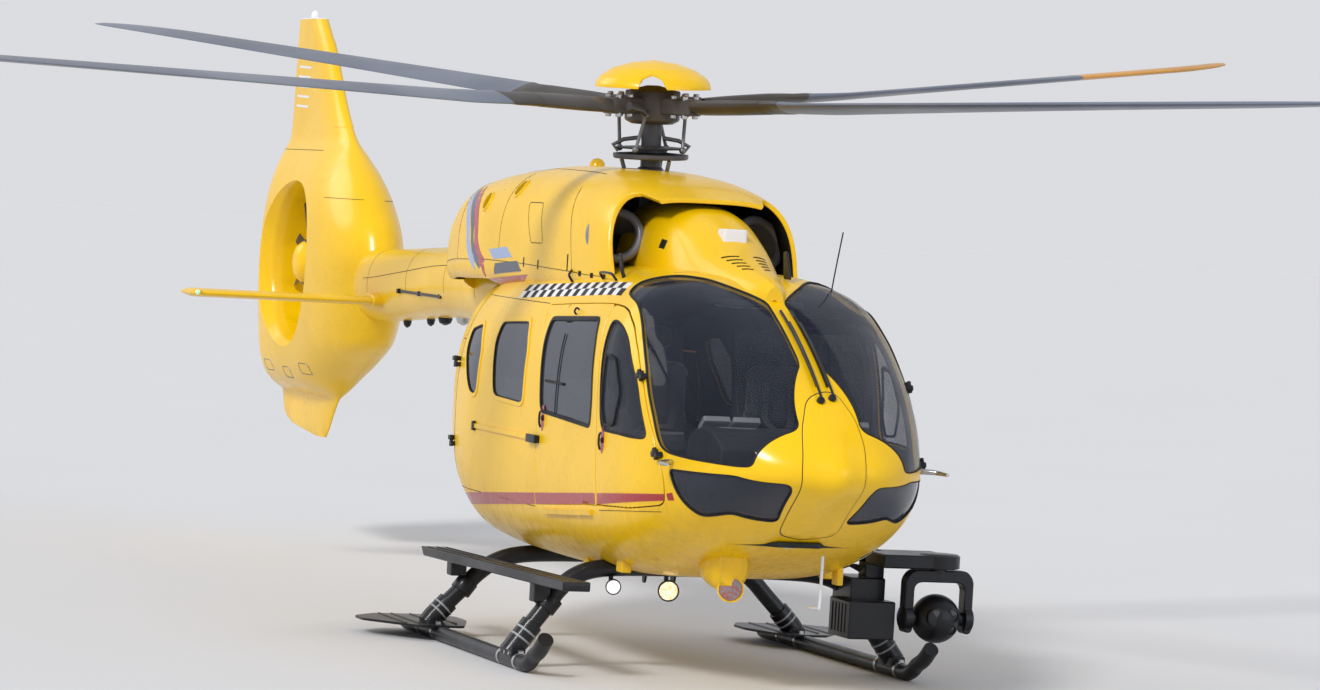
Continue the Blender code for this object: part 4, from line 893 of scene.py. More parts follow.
def finish(name):
    """The plain material of that name: its colour is toned by the shared grain, its roughness rises
    with the tone and with scratches, and its relief is the grain's."""
    colour, roughness, metallic, coat, scale, tone, relief, scratch = FINISHES[name]
    colour = tuple(getattr(colours(), colour)) if isinstance(colour, str) else colour

    def fill(n, place):
        grain = n.put("ShaderNodeGroup", node_tree=grain_effect())
        n.tree.links.new(place, grain.inputs["Position"])
        grain.inputs["Scale"].default_value = scale
        base = n.mix(grain.outputs["Tone"], colour, scaled(colour, 1 - tone))
        rough = n.ramp(grain.outputs["Tone"], 0.0, 1.0, roughness, min(1.0, roughness * 1.25))
        if name in GRIMY:
            grime = n.put("ShaderNodeGroup", node_tree=grime_effect())
            n.tree.links.new(place, grime.inputs["Position"])
            base = n.mix(n.math("MULTIPLY", grime.outputs["Grime"], 0.35), base, DUST)
            rough = n.math("ADD", rough, n.math("MULTIPLY", grime.outputs["Grime"], 0.2))
        if scratch:
            worn = n.math("MULTIPLY", grain.outputs["Scratch"], scratch)
            lighter = tuple(min(1.0, c * 1.6 + 0.05) for c in colour)
            base = n.mix(n.math("MULTIPLY", worn, 0.6), base, lighter)
            rough = n.math("ADD", rough, n.math("MULTIPLY", worn, 0.12), clamp=True)
        return {"Base Color": base, "Roughness": rough, "Metallic": metallic, "Coat Weight": coat,
                "Coat Roughness": 0.06, "Specular IOR Level": 0.35,
                "Normal": n.bump(grain.outputs["Relief"], relief, 0.001)}

    made = material(name, fill)
    made.diffuse_color = (*colour, 1.0)
    return made


def cloth_finish():
    """Woven seat cloth with sheen, threads in relief and a soft change of tone."""
    colour = tuple(colours().cloth)

    def fill(n, place):
        weave = n.put("ShaderNodeGroup", node_tree=weave_effect())
        n.tree.links.new(place, weave.inputs["Position"])
        return {"Base Color": n.mix(weave.outputs["Fuzz"], scaled(colour, 0.7), scaled(colour, 1.5)),
                "Roughness": n.ramp(weave.outputs["Height"], 0.0, 1.0, 0.95, 0.80),
                "Normal": n.bump(weave.outputs["Height"], 0.5, 0.0008),
                "Sheen Weight": 0.35, "Sheen Roughness": 0.4}

    return material("seat_cloth", fill)


def glass_finish(name, opacity):
    """Tinted pane: its alpha rises from opacity face on to nearly 1 at a grazing view, with faint
    haze in its roughness."""
    colour = tuple(colours().tint)

    def fill(n, place):
        grain = n.put("ShaderNodeGroup", node_tree=grain_effect())
        n.tree.links.new(place, grain.inputs["Position"])
        grain.inputs["Scale"].default_value = 8.0
        facing = n.put("ShaderNodeLayerWeight", {"Blend": 0.35}).outputs["Facing"]
        return {"Alpha": n.ramp(facing, 0.0, 1.0, opacity, min(0.97, opacity + 0.45)),
                "Roughness": n.ramp(grain.outputs["Tone"], 0.0, 1.0, 0.02, 0.05),
                "Base Color": n.mix(grain.outputs["Tone"], colour, scaled(colour, 1.3)),
                "IOR": 1.5, "Specular IOR Level": 0.5}

    made = material(name, fill)
    made.diffuse_color = (*colour, 0.4)
    return made


def glow_finish(name, colour, strength, centre=(0.9, 0.9, 0.9)):
    """Lit lens: a glow with a mottled reflector under clear gloss."""
    def fill(n, place):
        speck = n.ramp(n.noise(place, 55.0, 2.0), 0.40, 0.60)
        return {"Base Color": n.mix(speck, colour, centre),
                "Emission Color": n.mix(speck, scaled(colour, 0.5), colour),
                "Emission Strength": strength, "Roughness": 0.08, "Coat Weight": 0.5}

    return material(name, fill)


def screen_finish():
    """Dark display glass with a few faint lit bars, laid out along y and z."""
    def fill(n, place):
        height = n.put("ShaderNodeSeparateXYZ", {"Vector": place}).outputs["Z"]
        bars = n.ramp(n.math("SINE", n.math("MULTIPLY", height, 180.0)), 0.80, 0.92)
        cells = n.ramp(n.noise(place, 30.0, 1.0), 0.52, 0.58)
        return {"Emission Color": n.mix(n.math("MULTIPLY", bars, cells), (0.0, 0.0, 0.0),
                                        (0.05, 0.20, 0.24)),
                "Base Color": n.mix(cells, (0.006, 0.008, 0.012), (0.012, 0.014, 0.020)),
                "Emission Strength": 0.5, "Roughness": 0.10}

    return material("display", fill)


# Pieces
def grown(loop, amount):
    """Closed loop moved outwards by amount."""
    return inset(loop, -amount)


def side_loops(outline, side, radius=0.05):
    """Rounded outline on one side as pod coordinates."""
    return on_side(rounded(outline, radius), side)


def level(xs, z, side):
    """Pod coordinates of stations xs at the height z on one side."""
    return on_side(np.stack((xs, np.full(len(xs), z)), -1), side)


def front_loop(outline, side, radius=0.05):
    """Rounded outline on the nose as pod coordinates."""
    return on_front(rounded(outline, radius), side)


LOWEST, HIGHEST = -math.pi / 2 * ANGLE_SCALE + 0.0006, 3 * math.pi / 2 * ANGLE_SCALE - 0.0006


def opening(side):
    """Hole in the skin for both doors of one side: the sliding and pilot doors' outlines joined."""
    gap = sizes().door_gap
    back = list(SLIDING_DOOR[:2]) + list(PILOT_DOOR[:12]) + [(0.76, 0.90)] + list(SLIDING_DOOR[10:])
    return grown(side_loops(back, side, 0.04), gap / 2)


def pod_outline():
    """Outer edge of the pod's skin: full sections ahead of the rear doors, and above them aft."""
    nose, seam, top = along(NOSE_END), along(REAR_SEAM_X), CLAM_TOP + 0.006
    xs = np.linspace(REAR_END, REAR_SEAM_X, 40)
    corners = (seam, LOWEST), (nose, LOWEST), (nose, HIGHEST), (seam, HIGHEST)
    return np.concatenate((corners, level(xs, top, -1)[::-1], level(xs, top, 1)))


def build_skin():
    """The pod's skin in one plate with the doors' and windows' holes, its lining on the inside."""
    mesh = Mesh()
    loops = [pod_outline()]
    for side, _ in SIDES:
        loops += [opening(side), side_loops(SIDE_WINDOW, side), side_loops(AFT_WINDOW, side),
                  front_loop(WINDSHIELD, side), front_loop(CHIN_WINDOW, side, 0.04)]
    plate(mesh, loops, SKIN_THICKNESS, 0.034, 0.0, 0.0025, marks=(0, 1))
    mesh.build("pod_skin", (finish("yellow_paint"), finish("cabin_lining")),
               stands_for=("nose_shell", "roof_shell", "belly_shell", "rear_fairing", "side_wall_right",
                           "side_wall_left"), sharp=40)


DOOR_PANEL, DOOR_FRAME = 0.014, 0.034


def build_doors():
    """Doors as plates with the window's hole, an inner frame, and a dark seal under their gap."""
    for side, end in SIDES:
        for name, outline, window, body, gap in (
                ("pilot_door_", PILOT_DOOR, PILOT_WINDOW, "pilot_door_" + end, 0.0065),
                ("sliding_door_", SLIDING_DOOR, SLIDING_WINDOW, "airframe", 0.003)):
            mesh = Mesh()
            loop, hole = side_loops(outline, side, 0.035), side_loops(window, side)
            plate(mesh, [inset(loop, gap), hole], DOOR_PANEL, 0.035, marks=(0, 1))
            inner = [inset(loop, 0.031), grown(hole, 0.002)]
            plate(mesh, inner, DOOR_FRAME, 0.05, 0.0005 - DOOR_PANEL, marks=(1, 1))
            if name == "sliding_door_":
                side_box(mesh, side, (0.66, 0.8825, 1.262), (0.83, 0.905, 1.312),
                    0.004, 0.006, 2)
                side_box(mesh, side, (0.775, 0.85, 1.265), (0.825, 0.90, 1.309),
                    0.003, 0.004, 2)
            else:
                hinge(mesh, PILOT_SPOTS, side, True, 2)
            mesh.build(name + "panel_" + end,
                       (finish("yellow_paint"), finish("cabin_lining"), finish("black_metal")), body,
                       stands_for=(name + end,))
            seal = Mesh()
            strip(seal, loop, (0.030, -0.012, -0.012, 0.030), (-0.016, -0.016, -0.022, -0.022), mark=0)
            seal.build(name + "seal_" + end, finish("black_rubber"), slot_name="black_metal")
        mesh = Mesh()
        xs = np.linspace(REAR_END, REAR_SEAM_X - 0.004, 40)
        top = level(xs, CLAM_TOP, side)
        edge = KEEL_GAP / np.maximum(column(POD, 1, xs), 0.2)
        bottom = np.stack((along(xs), (LOWEST if side > 0 else HIGHEST) + side * edge * ANGLE_SCALE), -1)
        keep = column(POD, 3, xs) < CLAM_TOP - 0.05
        loop = np.concatenate((bottom[keep], top[keep][::-1]))
        hole = side_loops(REAR_WINDOW, side, 0.04)
        plate(mesh, [loop, hole], 0.04, 0.035, marks=(0, 1))
        hinge(mesh, CLAM_SPOTS, side, True, 2)
        mesh.build("clamshell_panel_" + end, (finish("yellow_paint"), finish("cabin_lining"),
                                              finish("black_metal")),
                   "clamshell_" + end, stands_for=("clamshell_" + end,))


PILOT_SPOTS = ((2.693, 0.807, 1.336), (2.405, 0.820, 1.758))
CLAM_SPOTS = ((-0.989, 0.850, 1.16), (-0.989, 0.850, 1.66))


def hinge(mesh, spots, side, moving, mark):
    """Adds the knuckles of two hinges on one pin line with their webs: upper halves on the door,
    lower ones on the frame."""
    points = np.array([(x, side * y, z) for x, y, z in spots])
    way = unit(points[1] - points[0])
    for point in points:
        place = placement(point, way, (1, 0, 0))
        low, high = (0.0006, 0.036) if moving else (-0.036, -0.0004)
        turned(mesh, ((0.010, low), (0.013, low + 0.002), (0.013, high - 0.002), (0.010, high)), place,
               20,
               mark=mark)
        near, far = (-0.045, 0.0) if moving else (0.0, 0.03)
        inward = np.array((0.0, -side, 0.0))
        inward = unit(inward - way * (inward @ way))
        across = np.cross(inward, way)
        across = across if across[0] > 0 else -across
        root = np.eye(4)
        root[:3, 0], root[:3, 1] = across, np.cross(way, across)
        root[:3, 2], root[:3, 3] = way, point
        y0, y1 = (-0.011, 0.034) if (root[:3, 1] @ inward) > 0 else (-0.034, 0.011)
        outline = np.array(((near, y0), (far, y0), (far, y1), (near, y1)))
        slab(mesh, [rounded(outline, 0.004)], low + 0.004, high - 0.004, root, 0.001, mark)


def build_windows():
    """Panes 8 mm thick, set 6 mm into their openings, with seals and rims round them."""
    side_glass, front_glass = glass_finish("cabin_glass", 0.66), glass_finish("front_glass", 0.14)
    for side, end in SIDES:
        for name, outline, body, radius, glass in (
                ("pilot_window_", PILOT_WINDOW, "pilot_door_" + end, 0.05, front_glass),
                ("sliding_window_", SLIDING_WINDOW, "airframe", 0.05, side_glass),
                ("side_window_", SIDE_WINDOW, "airframe", 0.05, side_glass),
                ("aft_window_", AFT_WINDOW, "airframe", 0.05, side_glass),
                ("clamshell_window_", REAR_WINDOW, "clamshell_" + end, 0.04, side_glass)):
            loop = side_loops(outline, side, radius)
            pane(name + end, loop, body, glass)
        pane("windshield_" + end, front_loop(WINDSHIELD, side), "airframe", front_glass)
        pane("chin_window_" + end, front_loop(CHIN_WINDOW, side, 0.04), "airframe",
             glass_finish("chin_glass", 0.55))
        seal = Mesh()
        wide = sizes().seal_width
        band(seal, side_loops(SLIDING_WINDOW, side), -0.004, wide, 0.004)
        band(seal, front_loop(WINDSHIELD, side), -0.006, 0.006, 0.002)
        band(seal, front_loop(CHIN_WINDOW, side, 0.04), -0.005, 0.008, 0.002)
        seal.build("window_seals_" + end, finish("black_rubber"), slot_name="black_metal")
        rims = Mesh()
        for outline in (SIDE_WINDOW, AFT_WINDOW):
            band(rims, side_loops(outline, side), -0.022, 0.003, 0.0055)
        rims.build("window_rims_" + end, finish("yellow_paint"))
        inner = Mesh()
        for outline in (SIDE_WINDOW, AFT_WINDOW):
            band(inner, side_loops(outline, side), 0.0, 0.009, 0.003)
        inner.build("window_lips_" + end, finish("black_rubber"), slot_name="black_metal")
        door = Mesh()
        band(door, side_loops(PILOT_WINDOW, side), -0.003, 0.009, 0.003)
        band(door, on_side(rounded(VENT, 0.035), side), -0.0, 0.014, 0.006)
        door.build("pilot_window_seal_" + end, finish("black_rubber"), "pilot_door_" + end,
                   "black_metal")
        vent = Mesh()
        ribbon(vent, on_side(((0.86, 1.64), (1.20, 1.635)), side), 0.012, 0.004)
        ribbon(vent, on_side(((1.08, 1.44), (1.08, 1.93)), side), 0.008, 0.003)
        vent.build("sliding_window_bars_" + end, finish("black_rubber"), slot_name="black_metal")


VENT = ((1.90, 1.86), (2.06, 1.83), (2.19, 1.64), (2.13, 1.45), (1.965, 1.44), (1.90, 1.55))


PANE_THICKNESS, PANE_SUNK = 0.008, 0.006


def pane(name, loop, body, glass):
    """One pane of glass."""
    mesh = Mesh()
    plate(mesh, [inset(loop, 0.001)], PANE_THICKNESS, 0.03, -PANE_SUNK, 0.001)
    mesh.build(name + "_pane", glass, body, "window", stands_for=(name,))


def band(mesh, loop, outer, inner, height, sunk=0.006, mark=0):
    """Adds a closed band round a loop, from outer to inner inside it, height proud of the skin."""
    strip(mesh, loop, (outer, outer, outer + 0.0015, inner - 0.0015, inner, inner),
          (-sunk, height - 0.0015, height, height, height - 0.0015, -sunk), mark=mark)


FOOT_LINE = 0.96


def build_seams():
    """Dark lines between the skin's fixed panels, and rows of rivet heads."""
    lines, heads = Mesh(), Mesh()
    wide = sizes().seam_width
    for x, low in ((REAR_SEAM_X, 0.02), (NOSE_SEAM_X, 1.19)):
        top = np.linspace(low, math.pi - low, 60)
        ribbon(lines, np.stack((np.full(60, along(x)), top * ANGLE_SCALE), -1), wide * 0.7)
    for side, _ in SIDES:
        for x0, x1, z in ((-1.0, 0.54, 2.09), (-0.98, 0.75, 0.885), (1.92, 2.66, FOOT_LINE)):
            xs = np.linspace(x0, x1, 40)
            path = level(xs, z, side)
            if z == FOOT_LINE:
                path = on_side(np.stack((xs, np.linspace(0.955, 1.01, 40)), -1), side)
            ribbon(lines, path, wide * 0.7)
            rivets(heads, path + (0, side * 0.02), sizes().rivet_pitch, 0.0035)
        zs = np.linspace(0.92, 2.05, 40)
        ribbon(lines, on_side(np.stack((np.full(40, REAR_SEAM_X + 0.002), zs), -1), side), wide)
        for x in (-0.93, 0.50):
            rivets(heads, on_side(np.stack((np.full(40, x), np.linspace(0.95, 1.40, 40)), -1), side),
                   sizes().rivet_pitch, 0.0035)
        ring = resampled(grown(side_loops(SIDE_WINDOW, side), 0.034), 0.03)
        rivets(heads, np.concatenate((ring, ring[:1])), 0.06, 0.003)
    lines.build("panel_lines", finish("seam_dark"))
    heads.build("rivet_heads", finish("yellow_paint"))


def build_nose():
    """Screwed-on nose panel in its dark outline, with its screws."""
    outline = np.array(((-0.099, 1.69), (0.0, 1.735), (0.091, 1.734), (0.163, 1.596), (0.175, 1.46),
                        (0.15, 1.333),
                        (0.163, 1.159), (0.193, 0.93), (0.0, 0.90), (-0.152, 0.93), (-0.178, 1.083),
                        (-0.213, 1.32),
                        (-0.17, 1.532)))
    loop = rounded(outline, 0.05)
    border, panel = Mesh(), Mesh()
    plate(border, [grown(loop, 0.005)], 0.016, 0.022, 0.001, 0.001, front_at)
    border.build("nose_panel_edge", finish("black_rubber"), slot_name="black_metal")
    plate(panel, [loop], 0.018, 0.02, 0.004, 0.003, front_at)
    panel.build("nose_panel", finish("yellow_paint"))
    heads = Mesh()
    ring = resampled(inset(loop, 0.012), 0.02)
    rivets(heads, np.concatenate((ring, ring[:1])), 0.07, 0.0045, front_at)
    heads.build("nose_panel_screws", finish("bare_steel"), slot_name="black_metal")


DECAL_THICKNESS, DECAL_LIFT = 0.0022, 0.0012


def decal(mesh, loop, mark=0, at=pod_at):
    """Adds a painted area inside a loop: a plate 1.2 mm proud that reaches 1 mm below the skin."""
    plate(mesh, [loop], DECAL_THICKNESS, 0.035, DECAL_LIFT, 0.0004, at, (mark, mark))


def stripe(mesh, side, x0, x1, low, high, mark=0):
    """Adds a painted band on the side between two stations, low and high being its edges' heights
    as tables of (x, z)."""
    xs = np.linspace(x0, x1, max(3, int((x1 - x0) / 0.06)))
    bottom = on_side(np.stack((xs, np.interp(xs, *np.array(low).T)), -1), side)
    top = on_side(np.stack((xs, np.interp(xs, *np.array(high).T)), -1), side)
    decal(mesh, np.concatenate((bottom, top[::-1])), mark)


STRIPE_LOW = ((-2.0, 0.90), (-1.0, 0.76), (-0.56, 0.794), (1.949, 0.993), (2.965, 1.105))
STRIPE_HIGH = ((-2.0, 0.96), (-1.0, 0.832), (-0.449, 0.876), (2.729, 1.115), (2.953, 1.158))


def build_marks():
    """Painted bands, blocks, checks and ovals as thin plates on the surfaces they lie on."""
    red, light, dark = finish("red_paint"), finish("sky_paint"), finish("navy_paint")
    for side, end in SIDES:
        body = Mesh()
        for x0, x1 in ((-0.995, 0.752), (0.768, 1.866), (2.752, 2.80)):
            stripe(body, side, x0, x1, STRIPE_LOW, STRIPE_HIGH)
        ellipse(body, on_side(((0.865, 1.417),), side)[0], 0.030, 0.075, 0)
        body.build("side_stripe_" + end, red)
        door = Mesh()
        stripe(door, side, 1.905, 2.728, STRIPE_LOW, STRIPE_HIGH)
        ellipse(door, on_side(((1.965, 1.36),), side)[0], 0.030, 0.075, 0)
        door.build("pilot_door_stripe_" + end, red, "pilot_door_" + end)
        rear = Mesh()
        stripe(rear, side, -1.22, -1.012, STRIPE_LOW, STRIPE_HIGH)
        rear.build("clamshell_stripe_" + end, red, "clamshell_" + end)
    checks = Mesh()
    for side, _ in SIDES:
        low = ((-0.137, 2.233), (1.669, 2.166))
        high = ((-0.175, 2.332), (1.687, 2.269))
        count = 24
        for row in (0, 1):
            for k in range(count):
                cell = []
                for u, v in ((k, row), (k + 1, row), (k + 1, row + 1), (k, row + 1)):
                    t, w = u / count, v / 2
                    p = (np.array(low[0]) * (1 - t) + np.array(low[1]) * t) * (1 - w) + \
                        (np.array(high[0]) * (1 - t) + np.array(high[1]) * t) * w
                    cell.append((along(p[0] + 0.02 * (v - 1)), mirrored(p[1], side) * ANGLE_SCALE))
                decal(checks, np.array(cell), (k + row) % 2)
    checks.build("roof_checks", (finish("black_rubber"), finish("white_paint")))
    cowl = Mesh()
    for side, _ in SIDES:
        blocks = ((((-1.112, 2.997), (-0.742, 2.956), (-0.613, 3.051), (-1.0, 3.091)), 0),
                  (((-0.961, 3.127), (-0.508, 3.082), (-0.419, 3.176), (-1.0, 3.239)), 1),
                  (((-1.186, 3.302), (-0.29, 3.199), (-0.421, 3.275), (-0.965, 3.401)), 2))
        for corners, mark in blocks:
            loop = np.array([(x, mirrored(a, side) * COWL_SCALE) for x, a in corners])
            decal(cowl, loop, mark, cowl_at)
        path = ((-1.796, 2.381), (-1.70, 2.50), (-1.60, 2.66), (-1.53, 2.80), (-1.50, 2.93),
                (-1.42, 3.06),
                (-1.30, 3.16))
        for shift, width, mark in ((-0.10, 0.07, 0), (0.0, 0.055, 1), (0.09, 0.075, 2)):
            line = smoothed([((x + shift), mirrored(a, side) * COWL_SCALE) for x, a in path], 6)
            ribbon(cowl, line, width, 0.001, cowl_at, 0.03, 0.002, mark)
        ellipse(cowl, np.array((-1.227, mirrored(3.208, side) * COWL_SCALE)), 0.022, 0.045, 2, cowl_at)
    cowl.build("cowling_bands", (light, dark, red))


def ellipse(mesh, centre, wide, tall, mark, at=pod_at):
    """Adds a painted oval at surface coordinates."""
    angle = circle(40)
    loop = centre + np.stack((wide * np.cos(angle), tall * np.sin(angle)), -1)
    decal(mesh, loop, mark, at)


def build_handles():
    """Handles, latches, rails, ledges, hinges and other fittings on the pod's sides."""
    for side, end in SIDES:
        black, moving = Mesh(), Mesh()
        hinge(black, PILOT_SPOTS, side, False, 0)
        hinge(black, CLAM_SPOTS, side, False, 0)
        yellow = Mesh()
        side_box(yellow, side, (-0.478, 0.85, 1.272), (0.655, 0.882, 1.302), 0.003, 0.005, 0)
        side_box(black, side, (-0.478, 0.86, 1.258), (-0.44, 0.888, 1.316),
            0.003, 0.005, 0)
        ribbon(yellow, on_side(((0.95, 0.880), (1.80, 0.936)), side), 0.026, 0.016)
        handle(black, (0.865, 1.417), side)
        handle(moving, (1.965, 1.36), side)
        bar = smoothed([pod_at(on_side(((x, z),), side), -h)[0] for x, z, h in
                        ((1.16, 2.045, 0.004), (1.162, 2.05, 0.02), (1.168, 2.07, 0.02),
                         (1.17, 2.075, 0.004))], 4)
        tube(black, bar, 0.006, 10)
        black.build("side_fittings_" + end, finish("black_metal"), slot_name="black_metal")
        moving.build("pilot_door_handle_" + end, finish("black_metal"), "pilot_door_" + end,
                     "black_metal")
        bars = Mesh()
        for path in ([(0.511, 2.267), (0.605, 2.226)], [(1.08, 2.262), (1.35, 2.262)]):
            foot = []
            for x, z in path:
                foot.append(np.array((x, side * float(pod_half_width(np.array(x), np.array(z))), z)))
            out = np.array((0, side * 0.6, 0.8))
            line = [foot[0] - out * 0.01, foot[0] + out * 0.03,
                    foot[0] * 0.85 + foot[1] * 0.15 + out * 0.05,
                    foot[0] * 0.15 + foot[1] * 0.85 + out * 0.05, foot[1] + out * 0.03,
                    foot[1] - out * 0.01]
            tube(bars, smoothed(line, 6), 0.008, 10, (1, 0, 0.3))
        bars.build("roof_handles_" + end, finish("black_metal"), slot_name="black_metal")
        for x, z, w, h in ((1.775, 0.652, 0.10, 0.12), (1.20, 0.62, 0.08, 0.10)):
            y = float(pod_half_width(np.array(x), np.array(z)))
            side_box(yellow, side, (x - w / 2, y - 0.05, z - h / 2), (x + w / 2, y + 0.012, z + h / 2), 0.006,
                     0.01, 0)
        yellow.build("tube_brackets_" + end, finish("yellow_paint"))


def handle(mesh, spot_xz, side):
    """Adds a bowed lever on a round base, standing on the pod's side."""
    x, z = spot_xz
    place = pod_spot(x, z, side, (0, 0, 1))
    turned(mesh, ((0.016, -0.002), (0.018, 0.002), (0.018, 0.006), (0.012, 0.010)), place, 24)
    line = moved(np.array(((0.045, 0.0, 0.012), (0.03, 0.0, 0.020), (0.0, 0.0, 0.022),
                           (-0.03, 0.0, 0.020),
                           (-0.055, 0.0, 0.012))), place)
    tube(mesh, smoothed(line, 5), 0.007, 10, unit(place[:3, 1]))


def build_deck():
    """Engine cowling with its open front and visor, front fairing, inlets, vents and exhausts, with
    near-black painted shade inside the cowling, under its vents, in its slots and in the hump's openings.
    """
    lip = [(1.14, 3.3), (1.136, 3.03), (1.075, 2.77), (1.018, 2.53), (0.966, 2.323), (0.97, 2.25),
           (1.0, 2.20),
           (1.132, 2.17), (1.18, 2.16)]
    crown = np.linspace(2.10, math.pi - 2.10, 9)
    front = lip + [(1.18, a) for a in crown] + [(x, math.pi - a) for x, a in reversed(lip)]
    front = np.array(front)
    front[:, 1] *= COWL_SCALE
    low_right, low_left = front[0, 1], front[-1, 1]
    rear = np.array([(-2.495, a) for a in np.linspace(low_left, low_right, 20)])
    xs = np.linspace(-2.45, 1.10, 60)
    outline = np.concatenate((front, np.stack((xs[::-1], np.full(60, low_left)), -1), rear,
                              np.stack((xs, np.full(60, low_right)), -1)))
    mesh = Mesh()
    angle = circle(24)
    vents = [np.array((x, a * COWL_SCALE)) for x, a in VENTS] + [np.array((x,
            (math.pi - a) * COWL_SCALE))
                                                                 for x, a in VENTS]
    holes = [centre + 0.05 * np.stack((np.cos(angle), np.sin(angle)), -1) for centre in vents]
    mast = mast_hole()
    # The plate's inner faces (mark 1) are painted near black: painted shade inside the cowling
    plate(mesh, [outline, mast] + holes, 0.026, 0.045, 0.0, 0.004, cowl_at, (0, 1))
    tail = cowl_at(np.stack((np.full(64, -2.5), circle(64) * COWL_SCALE), -1))
    middle = np.array((-2.5, 0.0, 2.26))
    shares = np.array((1.0, 0.9, 0.5, 0.0))[:, None, None]
    cap = middle + (tail[None] - middle) * shares + np.array((-0.012, 0.0, 0.0)) * (1 - shares)
    mesh.grid(np.concatenate((cap, cap[::-1] + (0.010, 0.0, 0.0))), True, True, False, 0)
    mesh.build("engine_cowling", (finish("yellow_paint"), finish("hollow_dark")),
               stands_for=("cowling",))
    # Under each vent a near-black plate sunk 3 cm, and inside the open front a near-black disc: painted shade
    # where the engine bay lies in shadow
    rims, dark = Mesh(), Mesh()
    for hole in holes:
        strip(rims, hole, (-0.016, -0.012, 0.0, 0.0), (-0.004, 0.008, 0.008, -0.01), cowl_at, 0.02)
        plate(dark, [grown(hole, 0.01)], 0.004, 0.05, -0.03, 0.0005, cowl_at)
    rims.build("cowling_vent_rims", finish("yellow_paint"))
    angle = circle(72)
    ring = cowl_at(np.stack((np.full(72, 0.45), angle * COWL_SCALE), -1), 0.03)
    centre = np.array((0.45, 0.0, 2.3))
    layers = [centre + (ring - centre) * k + np.array((d, 0, 0)) for k,
              d in ((0.02, 0.0), (1.0, 0.0), (1.0, 0.015), (0.02, 0.015))]
    dark.grid(np.stack(layers), True, True)
    dark.build("cowling_inside", finish("hollow_dark"), slot_name="black_metal")
    ducts = Mesh()
    for side, _ in SIDES:
        place = placement((0.80, side * 0.46, 2.52), (0.8, side * 0.3, 0.35), (0, 0, 1))
        turned(ducts, [(0.15 + 0.028 * math.cos(t), 0.028 * math.sin(t)) for t in circle(14)],
               place, 48, closed=True)
        turned(ducts, ((0.128, -0.01), (0.14, -0.01), (0.14, -0.30), (0.128, -0.30)), place, 48,
               closed=True)
    ducts.build("intake_rings", finish("grey_paint"))
    pipes = Mesh()
    for side, _ in SIDES:
        path = smoothed([(-2.20, side * 0.17, 2.36), (-2.42, side * 0.17, 2.37),
                         (-2.60, side * 0.175, 2.385)], 8)
        shell(pipes, path, 0.105, 0.097)
    pipes.build("exhausts", finish("worn_bronze"), slot_name="engine_metal")
    fairing = Mesh()
    a = np.linspace(-0.25, math.pi + 0.25, 72)
    xs = np.concatenate((np.linspace(0.5, 2.2, 60), np.linspace(2.21, 2.309, 10)))
    grid = np.stack(np.meshgrid(xs, a * FAIRING_SCALE, indexing="ij"), -1)
    outer, inner = over_pod(fairing_at(grid), 0.020), over_pod(fairing_at(grid, 0.02), 0.026)
    inner[-1] = outer[-1]
    rows = np.concatenate((outer, inner[:, ::-1]), 1)
    fairing.grid(rows, False, True, True)
    fairing.build("hump", finish("yellow_paint"), stands_for=("front_fairing",), sharp=40)
    # Near-black patches and strips on the hump for its intake and louvres: painted shade in place of the
    # openings
    scoop = Mesh()
    for side, _ in SIDES:
        opening_loop = np.array([(x, mirrored(a_, side) * FAIRING_SCALE) for x,
                                 a_ in ((1.18, 2.25), (1.26, 2.25), (1.26, 2.36), (1.18, 2.36))])
        plate(scoop, [opening_loop], 0.004, 0.03, 0.001, 0.0008, fairing_at)
        for k in range(5):
            u = 1.76 + 0.055 * k
            line = [(u, mirrored(2.02 - 0.02 * k, side) * FAIRING_SCALE),
                    (u + 0.05, mirrored(1.72, side) * FAIRING_SCALE)]
            ribbon(scoop, line, 0.012, 0.002, fairing_at, 0.02)
    scoop.build("hump_openings", finish("hollow_dark"), slot_name="black_metal")
    # Near-black strips on the cowling for its slots: painted shade in place of the openings
    fittings = Mesh()
    for side, _ in SIDES:
        for x, a0, a1, w in ((-0.375, 3.04, 3.13, 0.02), (-0.092, 3.04, 3.13, 0.02),
                             (0.459, 2.943, 3.10, 0.02)):
            ribbon(fittings, [(x, mirrored(a0, side) * COWL_SCALE),
                              (x, mirrored(a1, side) * COWL_SCALE)], w, 0.001, cowl_at, 0.03)
        for x in (0.687, 0.881, 1.051):
            ribbon(fittings, [(x - 0.02, mirrored(3.10, side) * COWL_SCALE),
                              (x + 0.02, mirrored(3.10, side) * COWL_SCALE)], 0.03, 0.003,
                   cowl_at, 0.02)
    fittings.build("cowling_slots", finish("hollow_dark"), slot_name="black_metal")
    lines, screws_mesh = Mesh(), Mesh()
    for side, _ in SIDES:
        for path in ([(-0.944, 2.179), (-0.90, 3.05)], [(0.296, 2.341), (0.465, 2.745), (0.55, 3.1)],
                     [(-1.85, 2.2), (-1.85, 3.1)], [(-2.3, 3.10), (1.05, 3.10)],
                     [(-1.95, 2.02), (0.30, 2.10)]):
            line = np.array([(x, mirrored(v, side) * COWL_SCALE) for x, v in path])
            line = smoothed(line, 8)
            ribbon(lines, line, 0.004, 0.0008, cowl_at)
            rivets(screws_mesh, line + (0.0, 0.012), 0.09, 0.004, cowl_at)
        panel = np.array([(x, mirrored(v, side) * COWL_SCALE) for x,
                          v in ((-0.471, 2.539), (-0.201, 2.53), (-0.023, 2.88), (-0.262, 2.893))])
        ring = resampled(rounded(panel, 0.02), 0.05)
        ribbon(lines, np.concatenate((ring, ring[:1])), 0.004, 0.0008, cowl_at)
    lines.build("cowling_lines", finish("seam_dark"))
    screws_mesh.build("cowling_screws", finish("bare_steel"), slot_name="black_metal")
    top = Mesh()
    place = placement((-0.95, -0.0, 2.905), (0, 0, 1))
